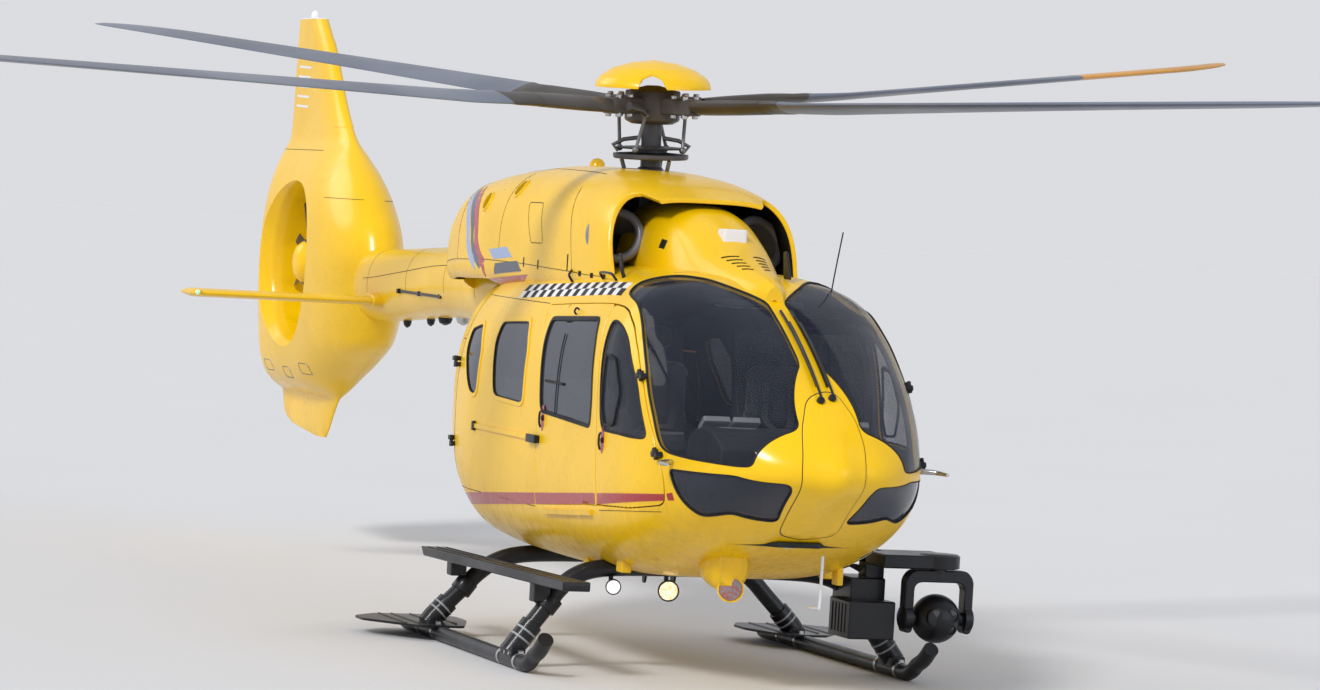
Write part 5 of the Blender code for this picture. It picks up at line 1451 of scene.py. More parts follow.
    turned(top, ((0.07, -0.02), (0.07, 0.012), (0.055, 0.016), (0.05, 0.03), (0.046, 0.055),
                 (0.03, 0.075), (0.008, 0.082)), place, 32)
    top.build("roof_beacon", finish("yellow_paint"))
    white = Mesh()
    box(white, (1.50, -0.075, 2.50), (1.62, 0.075, 2.600), 0.006, 0.02)
    white.build("roof_antenna_plate", finish("white_paint"))


VENTS = ((-1.358, 2.543), (-0.814, 2.404))


def over_pod(points, depth):
    """Points kept no lower than depth below the pod's roof at their own station and side."""
    x = points[..., 0]
    half_width, top, widest, power = (column(POD, k, x) for k in (1, 2, 4, 5))
    part = np.clip(np.abs(points[..., 1]) / half_width, 0, 1)
    roof = widest + (top - widest) * (1 - part ** power) ** (1 / power)
    made = points.copy()
    made[..., 2] = np.maximum(points[..., 2], roof - depth)
    return made


def shell(mesh, path, outer, inner, count=40, mark=0):
    """Adds an open pipe with a wall along a path."""
    p = np.asarray(path, float)
    way = unit(np.gradient(p, axis=0))
    side = unit(np.cross(way, (0.0, 0.0, 1.0)))
    other = np.cross(way, side)
    angle = circle(count)[None, :, None]
    ring = side[:, None] * np.cos(angle) + other[:, None] * np.sin(angle)
    rows = np.concatenate((p[:, None] + ring * outer, (p[:, None] + ring * inner)[::-1]))
    mesh.grid(rows, True, True, False, mark)


def mast_hole():
    """Loop on the cowling's crown that clears the mast."""
    angle = circle(40)
    radius = 0.15
    x = radius * np.cos(angle) - 0.005
    y = radius * np.sin(angle)
    section = math.pi / 2 - y / (2.93 - 2.27)
    return np.stack((x, section * COWL_SCALE), -1)


# Tail, rotor, gear and cabin
TAIL = np.array((
    (0.815, -6.90, -7.14, 0.020), (0.87, -6.83, -7.80, 0.030), (0.95, -6.76, -8.05, 0.034),
    (1.11, -6.60, -8.12, 0.040), (1.17, -6.52, -8.13, 0.13), (1.25, -6.43, -8.13, 0.21),
    (1.40, -6.10, -8.13, 0.275), (1.60, -5.70, -8.13, 0.31), (1.85, -5.60, -8.13, 0.33),
    (2.10, -5.60, -8.13, 0.335), (2.35, -5.68, -8.13, 0.325), (2.60, -5.90, -8.13, 0.29),
    (2.80, -6.15, -8.13, 0.23), (2.95, -6.40, -8.13, 0.16), (3.06, -6.58, -8.13, 0.10),
    (3.25, -6.82, -8.13, 0.085), (3.75, -7.29, -8.12, 0.072), (3.975, -7.57, -8.12, 0.062)))
DUCT = np.array((-7.218, 0.0, 2.121))
DUCT_RADIUS = 0.575
FIN_SCALE = 2.0
FLARE = ((0.575, 0.16), (0.60, 0.24), (0.665, 0.31), (0.74, 0.40))


def fin_at(side):
    """Surface of one side of the fin at (w scaled, z): w runs from the nose to the blunt tail by a
    cosine, and the half width is the section's share of the fin's half thickness."""
    def at(points, depth=0.0):
        w, z = points[..., 0] / FIN_SCALE, points[..., 1]
        front, back, half = (column(TAIL, k, z) for k in (1, 2, 3))
        u = (1 - np.cos(math.pi * np.clip(w, 0, 1))) / 2
        nose = (1 - np.clip(1 - u / 0.40, 0, 1) ** 2.1) ** (1 / 2.1)
        blunt = np.sqrt(1 - (np.clip((u - 0.80) / 0.20, 0, 1)) ** 4 * 0.75)
        return np.stack((front - u * (front - back), side * (half * nose * blunt - depth), z), -1)
    return at


def fin_coordinates(x, z):
    """Coordinates (w scaled, z) of a side-view point on the fin."""
    x, z = np.asarray(x, float), np.asarray(z, float)
    front, back = column(TAIL, 1, z), column(TAIL, 2, z)
    u = np.clip((front - x) / (front - back), 0, 1)
    return np.stack((np.arccos(1 - 2 * u) / math.pi * FIN_SCALE, z), -1)


def build_fin():
    """Fin and shroud: two trimmed sides, the flared duct between their holes, blunt tail and caps."""
    angle = circle(96)
    low, high = np.full(96, 0.576), np.full(96, 0.739)
    at = fin_at(1)
    for _ in range(30):
        r = (low + high) / 2
        x, z = DUCT[0] + r * np.cos(angle), DUCT[2] + r * np.sin(angle)
        outside = at(fin_coordinates(x, z))[:, 1] > np.interp(r, *np.array(FLARE).T)
        low, high = np.where(outside, r, low), np.where(outside, high, r)
    hole = fin_coordinates(DUCT[0] + r * np.cos(angle), DUCT[2] + r * np.sin(angle))
    z0, z1 = TAIL[0, 0], TAIL[-1, 0]
    outer = resampled(np.array(((0.0, z0), (FIN_SCALE, z0), (FIN_SCALE, z1), (0.0, z1))), 0.03)
    uv, faces, rings = trimmed([outer, hole], 0.036)
    mesh = Mesh()
    mesh.add(fin_at(1)(uv), faces, 0)
    mesh.add(fin_at(-1)(uv), faces, 0)
    edge = uv[rings[0]]
    rear = edge[np.abs(edge[:, 0] - FIN_SCALE) < 1e-6]
    rear = rear[np.argsort(rear[:, 1])]
    mesh.grid(np.stack((fin_at(-1)(rear), fin_at(1)(rear)), 1))
    for z in (z0, z1):
        cap = edge[np.abs(edge[:, 1] - z) < 1e-6]
        cap = cap[np.argsort(cap[:, 0])]
        mesh.grid(np.stack((fin_at(-1)(cap), fin_at(1)(cap)), 1))
    share = np.linspace(0, 1, 12)[:, None]
    radius = r[None] + (DUCT_RADIUS - r[None]) * share
    lip = np.interp(radius, *np.array(FLARE).T)
    around = np.stack((np.cos(angle), np.sin(angle)), 0)
    def row(radius, y):
        return np.stack((DUCT[0] + radius * around[0], y, DUCT[2] + radius * around[1]), -1)
    left = row(radius, lip)
    right = row(radius, -lip)[::-1]
    left[0], right[-1] = fin_at(1)(uv[rings[1]]), fin_at(-1)(uv[rings[1]])
    mesh.grid(np.concatenate((left, right)), False, True, False, 0)
    mesh.build("fin_and_shroud", finish("yellow_paint"), stands_for=("tail_fin",), sharp=42, weld=2e-5)
    details, light, metal, dark = Mesh(), Mesh(), Mesh(), Mesh()
    for side, _ in SIDES:
        at = fin_at(side)
        lead = [(0.02, 3.15), (0.52, 3.15), (0.55, 3.82), (0.02, 3.82)]
        plate(details, [rounded(lead, 0.05)[::side]], 0.006, 0.04, 0.004, 0.0015, at)
        x = np.array((-8.115, -8.0, -8.0, -8.115))
        tab = fin_coordinates(x, np.array((3.06, 3.06, 3.89, 3.89)))
        plate(details, [rounded(tab, 0.01)[::side]], 0.012, 0.05, 0.0, 0.002, at)
        for k in range(6):
            z = 3.30 + 0.075 * k
            line = fin_coordinates(np.array((-7.62, -7.95)), np.array((z, z + 0.01)))
            ribbon(light, line, 0.018, 0.001, at)
        for x, z in ((-6.75, 1.32), (-7.25, 1.27), (-7.75, 1.30)):
            c = fin_coordinates(np.array((x - 0.10, x + 0.10, x + 0.10, x - 0.10)),
                                np.array((z - 0.03, z - 0.03, z + 0.05, z + 0.05)))
            loop = resampled(rounded(c, 0.02), 0.05)
            ribbon(dark, np.concatenate((loop, loop[:1])), 0.004, 0.001, at)
            domes(metal, at(loop), np.tile((0.0, side, 0.0), (len(loop), 1)), 0.005, 0.002)
        ring = np.stack((DUCT[0] + 0.72 * np.cos(angle), DUCT[2] + 0.72 * np.sin(angle)), -1)
        ring = fin_coordinates(ring[:, 0], np.clip(ring[:, 1], 1.3, 3.0))
        domes(details, at(ring[::3]), np.tile((0.0, side, 0.0), (32, 1)), 0.006, 0.002)
        for x0, x1, z in ((-5.95, -6.40, 2.62), (-6.9, -8.1, 2.97)):
            line = fin_coordinates(np.linspace(x0, x1, 8), np.full(8, z))
            ribbon(dark, line, 0.004, 0.001, at)
    box(light, (-8.11, -0.058, 3.974), (-7.62, 0.058, 3.985), 0.003, 0.05)
    turned(light, ((0.035, 0.0), (0.035, 0.02), (0.028, 0.045), (0.01, 0.06)),
           placement((-7.85, 0, 3.984), (0, 0, 1)), 24)
    light.build("fin_light_trim", finish("white_paint"))
    details.build("fin_trim", finish("yellow_paint"))
    metal.build("fin_screws", finish("bare_steel"), slot_name="black_metal")
    dark.build("fin_lines", finish("seam_dark"))


def radial(angle):
    """Matrix whose third axis points out from the fan's centre at an angle from straight up."""
    return placement(DUCT, (math.sin(angle), 0.0, math.cos(angle)),
                     (math.cos(angle), 0, -math.sin(angle)))


def foil(mesh, place, stations, mark=0, count=20):
    """Adds a blade along the third axis of place: at each (reach, chord, thickness, turn, shift) an
    oval section turned about that axis, x being its chord and shift its place along y."""
    angle = circle(count)
    rows = []
    for reach, chord, thick, turn, shift in stations:
        x = chord / 2 * np.cos(angle)
        y = thick / 2 * np.sin(angle) * (1 + 0.35 * np.cos(angle))
        c, s = math.cos(turn), math.sin(turn)
        rows.append(np.stack((x * c - y * s, x * s + y * c + shift, np.full(count, reach)), -1))
    mesh.grid(moved(np.array(rows), place), False, True, True, mark)


def build_fan():
    """Ten-bladed fan, and the seven vanes with the gearbox bulb behind it."""
    fan = Mesh()
    place = placement(DUCT, (0, 1, 0))
    turned(fan, ((0.165, -0.165), (0.172, -0.150), (0.175, -0.13), (0.175, -0.012), (0.05, -0.012),
                 (0.05, -0.0004)), place, 56, mark=1, caps=True)
    turned(fan, ((0.158, -0.160), (0.150, -0.178), (0.12, -0.212), (0.08, -0.229), (0.03, -0.236)),
           place, 56, mark=0)
    for k in range(10):
        stations = [(r, 0.088 - 0.012 * (r - 0.17) / 0.39, 0.015 - 0.007 * (r - 0.17) / 0.39,
                     math.radians(34 - 14 * (r - 0.17) / 0.39), -0.07)
                    for r in np.linspace(0.16, 0.562, 10)]
        foil(fan, radial(2 * math.pi * k / 10), stations, 2)
        turned(fan, ((0.022, 0.165), (0.022, 0.19), (0.016, 0.20)),
               radial(2 * math.pi * k / 10) @ shifted(0, -0.07, 0), 16, mark=1)
    fan.build("fan_rotor", (finish("yellow_paint"), finish("hub_metal"), finish("cuff_grey")),
              "tail_fan", "hub_metal",
              stands_for=("tail_fan",))
    vanes = Mesh()
    turned(vanes, ((0.10, 0.0), (0.185, 0.001), (0.19, 0.008), (0.19, 0.10), (0.178, 0.135),
                   (0.15, 0.17), (0.11, 0.19), (0.06, 0.20)), place, 56)
    for k in range(7):
        stations = [(r, 0.098, 0.022, math.pi / 2 + 0.12, 0.065) for r in np.linspace(0.15, 0.5748, 6)]
        foil(vanes, radial(2 * math.pi * (k + 0.35) / 7), stations)
    vanes.build("fan_vanes", finish("yellow_paint"), stands_for=("fan_support",))


def shifted(x, y, z):
    """Matrix of a plain move."""
    made = np.eye(4)
    made[:3, 3] = x, y, z
    return made


def build_boom():
    """Tail boom as a 10 mm shell, its covers, tube antenna, and the tailplane with its lamps."""
    mesh = Mesh()
    xs = np.concatenate((np.linspace(-5.98, -5.6, 6), np.linspace(-5.55, -1.62, 90)))
    angle = circle(64) * BOOM_SCALE
    grid = np.stack(np.meshgrid(xs, angle, indexing="ij"), -1)
    mesh.grid(np.concatenate((boom_at(grid), boom_at(grid, 0.010)[::-1])), True, True)
    mesh.build("boom", finish("yellow_paint"), stands_for=("tail_boom",))
    wing = Mesh()
    ys = np.concatenate((-1.57 + 0.05 * (1 - np.cos(np.linspace(0, math.pi / 2, 8))),
                         np.linspace(-1.50, 1.50, 40),
                         1.57 - 0.05 * (1 - np.cos(np.linspace(math.pi / 2, 0, 8)))))
    a = circle(48)
    shrink = np.clip(1 - ((np.abs(ys) - 1.52) / 0.0502).clip(0, 1) ** 2, 0.02, 1) ** 0.5
    rows = np.stack((-5.20 + 0.20 * np.cos(a) * (0.75 + 0.25 * shrink[:, None]), ys[:, None] + 0 * a,
                     1.905 + 0.026 * np.sin(a) * (1.15 + 0.35 * np.cos(a)) * shrink[:, None]), -1)
    wing.grid(rows, False, True, True)
    wing.build("tailplane", finish("yellow_paint"), stands_for=("stabiliser",))
    lines, heads, dark, light = Mesh(), Mesh(), Mesh(), Mesh()
    path = smoothed([(-5.479, 2.92 * BOOM_SCALE), (-4.2, 2.78 * BOOM_SCALE),
                     (-2.751, 2.633 * BOOM_SCALE)], 12)
    for side in (0, 1):
        p = path if not side else np.stack((path[:, 0], math.pi * BOOM_SCALE - path[:, 1]), -1)
        ribbon(lines, p, 0.005, 0.0008, boom_at)
        rivets(heads, p + (0, 0.012 * (1 - 2 * side)), 0.06, 0.004, boom_at)
    for x in (-5.35, -4.3, -3.3, -2.5):
        ring = np.stack((np.full(60, x), np.linspace(-0.3, math.pi + 0.3, 60) * BOOM_SCALE), -1)
        ribbon(lines, ring, 0.004, 0.0008, boom_at)
        rivets(heads, ring + (0.02, 0), 0.05, 0.0035, boom_at)
    lines.build("boom_lines", finish("seam_dark"))
    heads.build("boom_rivets", finish("yellow_paint"))
    for side, _ in SIDES:
        tube(dark, [(-4.50, side * 0.212, 2.002), (-3.40, side * 0.2295, 1.999)], 0.011, 12)
        for x in (-4.45, -3.95, -3.45):
            side_box(dark, side, (x - 0.02, 0.19, 1.985), (x + 0.02, 0.235, 2.018), 0.002, 0.004)
    for x, r, kind in ((-4.93, 0.03, dark), (-4.36, 0.03, dark), (-4.02, 0.05, dark),
                       (-3.6, 0.05, light)):
        z = float(column(BOOM, 1, np.array(x)) - column(BOOM, 3, np.array(x)))
        turned(kind, ((r, -0.01), (r, 0.01), (r * 0.8, 0.035), (r * 0.2, 0.05)),
               placement((x, 0, z), (0, 0, -1)), 28)
    dark.build("boom_fittings", finish("black_metal"), slot_name="black_metal")
    light.build("boom_dome", finish("bare_steel"), slot_name="black_metal")
    collar = Mesh()
    for side, _ in SIDES:
        rows = []
        for y, g in ((0.17, 0.02), (0.235, 0.018), (0.245, 0.008), (0.245, 0.0)):
            rows.append(np.stack((-5.20 + (0.20 + g) * np.cos(a), np.full(48, side * y),
                                  1.905 + (0.026 + g) * np.sin(a) * (1.15 + 0.35 * np.cos(a))), -1))
        collar.grid(np.array(rows), False, True, True)
        side_box(collar, side, (-5.05, 1.50, 1.895), (-4.975, 1.568, 1.925), 0.006, 0.02)
    collar.build("tailplane_collars", finish("yellow_paint"))
    for side, name, tint in ((-1, "green_lamp", (0.02, 0.55, 0.15)), (1, "red_lamp", (0.6, 0.02, 0.02))):
        lamp = Mesh()
        turned(lamp, ((0.018, 0.0), (0.018, 0.02), (0.012, 0.035), (0.004, 0.040)),
               placement((-4.985, side * 1.535, 1.91), (1, 0, 0), (0, 1, 0)), 20)
        lamp.build(name, glow_finish(name, tint, 0.6), slot_name="window")


def rotor_place():
    """Matrix from the rotor's own frame to the machine: z turned onto the rotor's axis."""
    axis = Vector(JOINTS["main_rotor_spin"]["axis"]).normalized()
    tilt = Vector((0, 0, 1)).rotation_difference(axis).to_matrix().to_4x4()
    return np.array(Matrix.Translation(Vector(HUB)) @ tilt)


def about_z(degrees):
    """Rotation about the third axis."""
    return np.array(Matrix.Rotation(math.radians(degrees), 4, "Z"))


BLADE = np.array((
    (0.38, 0.16, 0.080, 0.5, 14.0), (0.60, 0.15, 0.085, 0.5, 13.5), (1.00, 0.17, 0.075, 0.5, 12.5),
    (1.30, 0.27, 0.050, 0.30, 11.5), (1.60, 0.32, 0.040, 0.25, 10.5), (3.20, 0.32, 0.038, 0.25, 6.0),
    (4.80, 0.32, 0.034, 0.25, 2.5), (5.15, 0.29, 0.028, 0.32, 2.0), (5.40, 0.22, 0.018, 0.50, 1.8),
    (5.50, 0.12, 0.010, 0.85, 1.6)))
AZIMUTH, CONE, TIP_FROM = 24.6, 3.2, 3.75


def blade_rows(radius, count=36):
    """Closed sections of a blade at each radius: an oval of its chord and thickness, fuller ahead,
    turned by its twist about the quarter line."""
    chord, thick, lead, pitch = (curve_through(BLADE[:, 0], BLADE[:, k], radius)[:, None] for k in (1, 2,
            3, 4))
    twist = np.radians(pitch)
    angle = circle(count)[None]
    back = -chord * (0.5 * np.cos(angle) + 0.5 - lead)
    fat = np.where(radius[:, None] < 1.2, 1.0, 1.0 - 0.45 * np.cos(angle))
    up = thick / 2 * np.sin(angle) * fat
    y = -back * np.cos(twist) - up * np.sin(twist) - chord * (1 - 2 * lead)
    z = back * np.sin(twist) + up * np.cos(twist)
    return np.stack((radius[:, None] + 0 * y, y, z), -1)


def build_rotor():
    """Cap, hub star, mast with swashplate and links, and the four blades."""
    frame_place = rotor_place()
    hub, cap = Mesh(), Mesh()
    angle = circle(192)
    gap = np.abs((np.degrees(angle) - AZIMUTH - 45 + 45) % 90 - 45)
    notch = np.clip(1 - gap / 13.0, 0, 1)
    limit = 0.365 - 0.075 * notch ** 0.5
    shares = np.concatenate((np.linspace(0.04, 0.9, 16), (0.95, 0.985, 1.0)))[:, None]
    r = shares * limit
    rise = np.interp(r, (0, 0.04, 0.14, 0.25, 0.33, 0.352, 0.365),
                     (0.272, 0.272, 0.258, 0.224, 0.172, 0.148, 0.118))
    top = np.stack((r * np.cos(angle), r * np.sin(angle), rise), -1)
    under = np.stack((r * np.cos(angle), r * np.sin(angle), rise - 0.012), -1)[::-1]
    cap.grid(moved(np.concatenate((top, under)), frame_place), True, True)
    turned(cap, ((0.02, 0.255), (0.02, 0.274), (0.012, 0.276)), frame_place, 20)
    cap.build("hub_cap", finish("yellow_paint"), "main_rotor", "hub_metal", stands_for=("rotor_hub",))
    turned(hub, ((0.13, -0.1147), (0.165, -0.095), (0.17, -0.085), (0.17, 0.08), (0.165, 0.088),
                 (0.13, 0.095), (0.04, 0.12)), frame_place, 48)
    for k in range(4):
        place = frame_place @ about_z(AZIMUTH + 90 * k)
        outline = rounded(((0.0, -0.085), (0.26, -0.075), (0.379, -0.06), (0.379, 0.06), (0.26, 0.075),
                           (0.0, 0.085)), 0.02)
        slab(hub, [outline], -0.05, 0.05, place, 0.008)
        for y in (-0.045, 0.045):
            for x in (0.23, 0.33):
                for flip in (1.0, -1.0):
                    turned(hub, ((0.019, 0.0), (0.019, 0.066), (0.015, 0.070)),
                           place @ shifted(x, y, 0) @ np.diag((1.0, flip, flip, 1.0)), 18, mark=1)
    hub.build("hub_star", (finish("cuff_grey"), finish("bare_steel")), "main_rotor", "hub_metal")
    mast = Mesh()
    turned(mast, ((0.062, -0.52), (0.062, -0.34), (0.10, -0.335), (0.225, -0.33), (0.232, -0.322),
                  (0.232, -0.300),
                  (0.10, -0.29), (0.10, -0.27), (0.205, -0.268), (0.212, -0.26), (0.062, -0.250),
                  (0.062, -0.115)), frame_place, 56)
    turned(mast, ((0.085, -0.52), (0.085, -0.40), (0.075, -0.385), (0.062, -0.38)), frame_place, 40,
           mark=1)
    for k in range(4):
        place = frame_place @ about_z(AZIMUTH + 90 * k + 20)
        foot, head = np.array((0.215, 0.0, -0.27)), np.array((0.20, 0.055, -0.055))
        line = moved(np.array((foot, foot * 0.97 + head * 0.03, foot * 0.03 + head * 0.97, head)), place)
        tube(mast, line, (0.014, 0.011, 0.011, 0.014), 12, place[:3, 0], mark=1)
        for point in (foot, head):
            ball_rows(mast, moved(point[None], place)[0], 0.021, 1)
        horn = moved(np.array(((0.20, 0.055, -0.055), (0.27, 0.06, -0.02), (0.37, 0.02, 0.0))), place)
        tube(mast, horn, (0.016, 0.02, 0.026), 12, place[:3, 2], mark=0)
    for turn in (75, 255):
        place = frame_place @ about_z(turn)
        line = moved(np.array(((0.07, 0, -0.20), (0.17, 0, -0.215), (0.235, 0, -0.25),
                               (0.20, 0, -0.285))), place)
        tube(mast, line, 0.013, 10, place[:3, 1], mark=1)
    mast.build("mast_and_swashplate", (finish("hub_metal"), finish("engine_metal")), "main_rotor",
               "hub_metal", stands_for=("mast",))
    fixed = Mesh()
    for turn in (20, 140, 260):
        place = frame_place @ about_z(turn)
        line = moved(np.array(((0.18, 0, -0.335), (0.155, 0, -0.42), (0.14, 0, -0.55))), place)
        tube(fixed, line, 0.013, 10, place[:3, 1])
    turned(fixed, ((0.13, -0.60), (0.14, -0.50), (0.12, -0.455), (0.09, -0.45), (0.09, -0.60)),
           frame_place, 48, closed=True)
    fixed.build("control_rods", finish("engine_metal"), slot_name="engine_metal")
    cone = np.array(Matrix.Translation((0.38, 0, 0)) @ Matrix.Rotation(math.radians(-CONE), 4, "Y")
                    @ Matrix.Translation((-0.38, 0, 0)))
    for k in range(4):
        mesh = Mesh()
        place = frame_place @ about_z(AZIMUTH + 90 * k) @ cone
        split = [0.386, 1.22, TIP_FROM if k == 1 else 5.30, 5.50]
        for part, (a, b) in enumerate(zip(split[:-1], split[1:])):
            mark = part if part < 2 else (2 if k == 1 else 1)
            rows = moved(blade_rows(np.linspace(a, b, max(4, int((b - a) / 0.06)))), place)
            mesh.grid(rows, False, True, False, mark)
            if part in (0, 2):
                ring = rows[0 if part == 0 else -1]
                middle = ring.mean(0)
                mesh.grid(np.stack((ring, middle + 0 * ring)), False, True, False, mark)
        cuff = blade_rows(np.linspace(0.42, 0.98, 14))
        centre = cuff.mean(1, keepdims=True)
        mesh.grid(moved(centre + (cuff - centre) * 1.03, place), False, True, True, 0)
        mesh.build("blade_surface_%d" % (k + 1), (finish("cuff_grey"), finish("rotor_grey"),
                                                  finish("blade_tip")),
                   "main_rotor", "rotor_grey", stands_for=("blade_%d" % (k + 1),), sharp=50)


def ball_rows(mesh, centre, radius, mark=0, count=16, squash=1.0):
    """Adds a ball."""
    polar = np.linspace(0.02, math.pi - 0.02, count // 2 + 1)
    turned(mesh, [(radius * math.sin(p), -radius * squash * math.cos(p)) for p in polar],
           placement(centre, (0, 0, 1)), count, mark=mark)


FRONT_PATH = ((1.172, 0.130), (1.075, 0.26), (0.988, 0.375), (0.93, 0.455), (0.84, 0.535),
              (0.70, 0.585), (0.45, 0.602), (0.0, 0.605))
REAR_PATH = ((1.172, 0.130), (1.08, 0.225), (0.98, 0.325), (0.90, 0.405), (0.80, 0.475),
             (0.66, 0.520), (0.42, 0.538), (0.0, 0.542))
TUBES = ((1.51, FRONT_PATH, "cross_tube_front"), (-0.12, REAR_PATH, "cross_tube_rear"))
SKID_Y, SKID_RADIUS, TUBE_RADIUS = 1.185, 0.046, 0.052
SKID_LINE = ((-0.62, 0.046), (-0.45, 0.046), (0.6, 0.046), (1.66, 0.046), (1.76, 0.046), (1.84, 0.068),
             (1.91, 0.111), (2.00, 0.150), (2.098, 0.223))


def build_gear():
    """Cross tubes, skids with feet, sleeves, clamps and pads, and the boarding step."""
    for x, path, name in TUBES:
        tube_mesh = Mesh()
        half = [(x, -y, z) for y, z in path]
        line = half + [(x, y, z) for y, z in reversed(path[:-1])]
        tube(tube_mesh, smoothed(line, 6), TUBE_RADIUS, 32, (1, 0, 0))
        tube_mesh.build(name + "_pipe", finish("black_metal"), slot_name="black_metal",
                        stands_for=(name,))
    for side, end in SIDES:
        skid, bands, clamps = Mesh(), Mesh(), Mesh()
        path = [(x, side * SKID_Y, z) for x, z in SKID_LINE]
        tube(skid, smoothed(path, 6), SKID_RADIUS, 32)
        pad = [(-0.60, -0.20), (-0.60, 0.22), (-0.42, 0.40), (-0.25, 0.40), (0.12, 0.14), (0.12, -0.14),
               (-0.25, -0.27), (-0.45, -0.27)]
        outline = rounded([(x, side * (SKID_Y + y)) for x, y in pad], 0.03)
        slab(skid, [outline], 0.082, 0.097, placement((0, 0, 0), (0, 0, 1)), 0.003, spacing=0.15)
        for y in (-0.12, 0.0, 0.12, 0.20):
            tube(skid, [(-0.57, side * (SKID_Y + y), 0.098), (0.02, side * (SKID_Y + y), 0.098)], 0.006,
                 8)
        for x, route, _ in TUBES:
            box(skid, (x - 0.11, side * SKID_Y - 0.045, 0.05), (x + 0.11, side * SKID_Y + 0.045, 0.125),
                0.008, 0.012)
            (y0, z0), (y1, z1) = route[:2]
            low, high = np.array((x, side * 1.205, 0.085)), np.array((x, side * y1, z1))
            middle = np.array((x, side * y0, z0))
            line = np.array((low, middle, middle + (high - middle) * 0.985, high))
            tube(skid, line, (0.066, 0.066, 0.066, 0.058), 32, (1, 0, 0))
            for share in (0.30, 0.62):
                spot_ = middle + (high - middle) * share
                place = placement(spot_, high - middle, (1, 0, 0))
                turned(bands, ((0.0665, -0.006), (0.069, -0.005), (0.069, 0.005), (0.0665, 0.006)),
                       place, 40, caps=False)
                turned(bands, ((0.060, -0.006), (0.0665, -0.006), (0.0665, 0.006), (0.060, 0.006)),
                       place, 40, closed=True)
            for dx in (-0.15, 0.15):
                place = placement((x + dx, side * SKID_Y, SKID_RADIUS + 0.004), (1, 0, 0), (0, 1, 0))
                turned(clamps, ((0.0455, -0.016), (0.050, -0.016), (0.050, 0.016), (0.0455, 0.016)),
                       place, 40, closed=True)
                box(clamps, (x + dx - 0.012, side * SKID_Y - 0.014, SKID_RADIUS + 0.050),
                    (x + dx + 0.012, side * SKID_Y + 0.014, SKID_RADIUS + 0.066), 0.002, 0.003)
            for dx in (-0.08, 0.0, 0.08):
                turned(clamps, ((0.010, 0.0), (0.010, 0.008), (0.007, 0.010)),
                       placement((x + dx, side * (SKID_Y + 0.045), 0.088), (0, side, 0), (1, 0, 0)), 12)
        skid.build("skid_tube_" + end, finish("black_metal"), slot_name="black_metal",
                   stands_for=("skid_" + end,))
        bands.build("sleeve_bands_" + end, finish("trim_grey"), slot_name="black_metal")
        clamps.build("skid_clamps_" + end, finish("bare_steel"), slot_name="black_metal")
    step = Mesh()
    outline = rounded(((-0.54, 0.465), (2.185, 0.508), (2.185, 0.563), (-0.597, 0.520)), 0.006, 3)
    place = upright(0, -0.965, 0)
    slab(step, [outline], 0.0, 0.165, place, 0.006, 0, 0.2)
    for x, path, z in ((1.51, FRONT_PATH, 0.49), (-0.12, REAR_PATH, 0.47)):
        box(step, (x - 0.05, -1.09, 0.385), (x + 0.05, -0.99, z + 0.02), 0.006, 0.01)
        turned(step, ((0.0535, -0.045), (0.064, -0.045), (0.066, -0.040), (0.066, 0.040), (0.064, 0.045),
                      (0.0535, 0.045)),
               placement((x, -0.985, 0.378 if x > 0 else 0.322), (0, -0.60, -0.79), (1, 0, 0)), 40,
               closed=True)
    step.build("boarding_step", finish("black_metal"), slot_name="black_metal",
               stands_for=("step_right",))
    grip = Mesh()
    for k in range(3):
        y = -1.115 + 0.06 * k
        low, high = np.array((-0.50, 0.524)), np.array((2.12, 0.5625))
        tube(grip, [(low[0], y, low[1]), (high[0], y, high[1])], 0.0035, 6)
    grip.build("step_ribs", finish("black_rubber"), slot_name="black_metal")


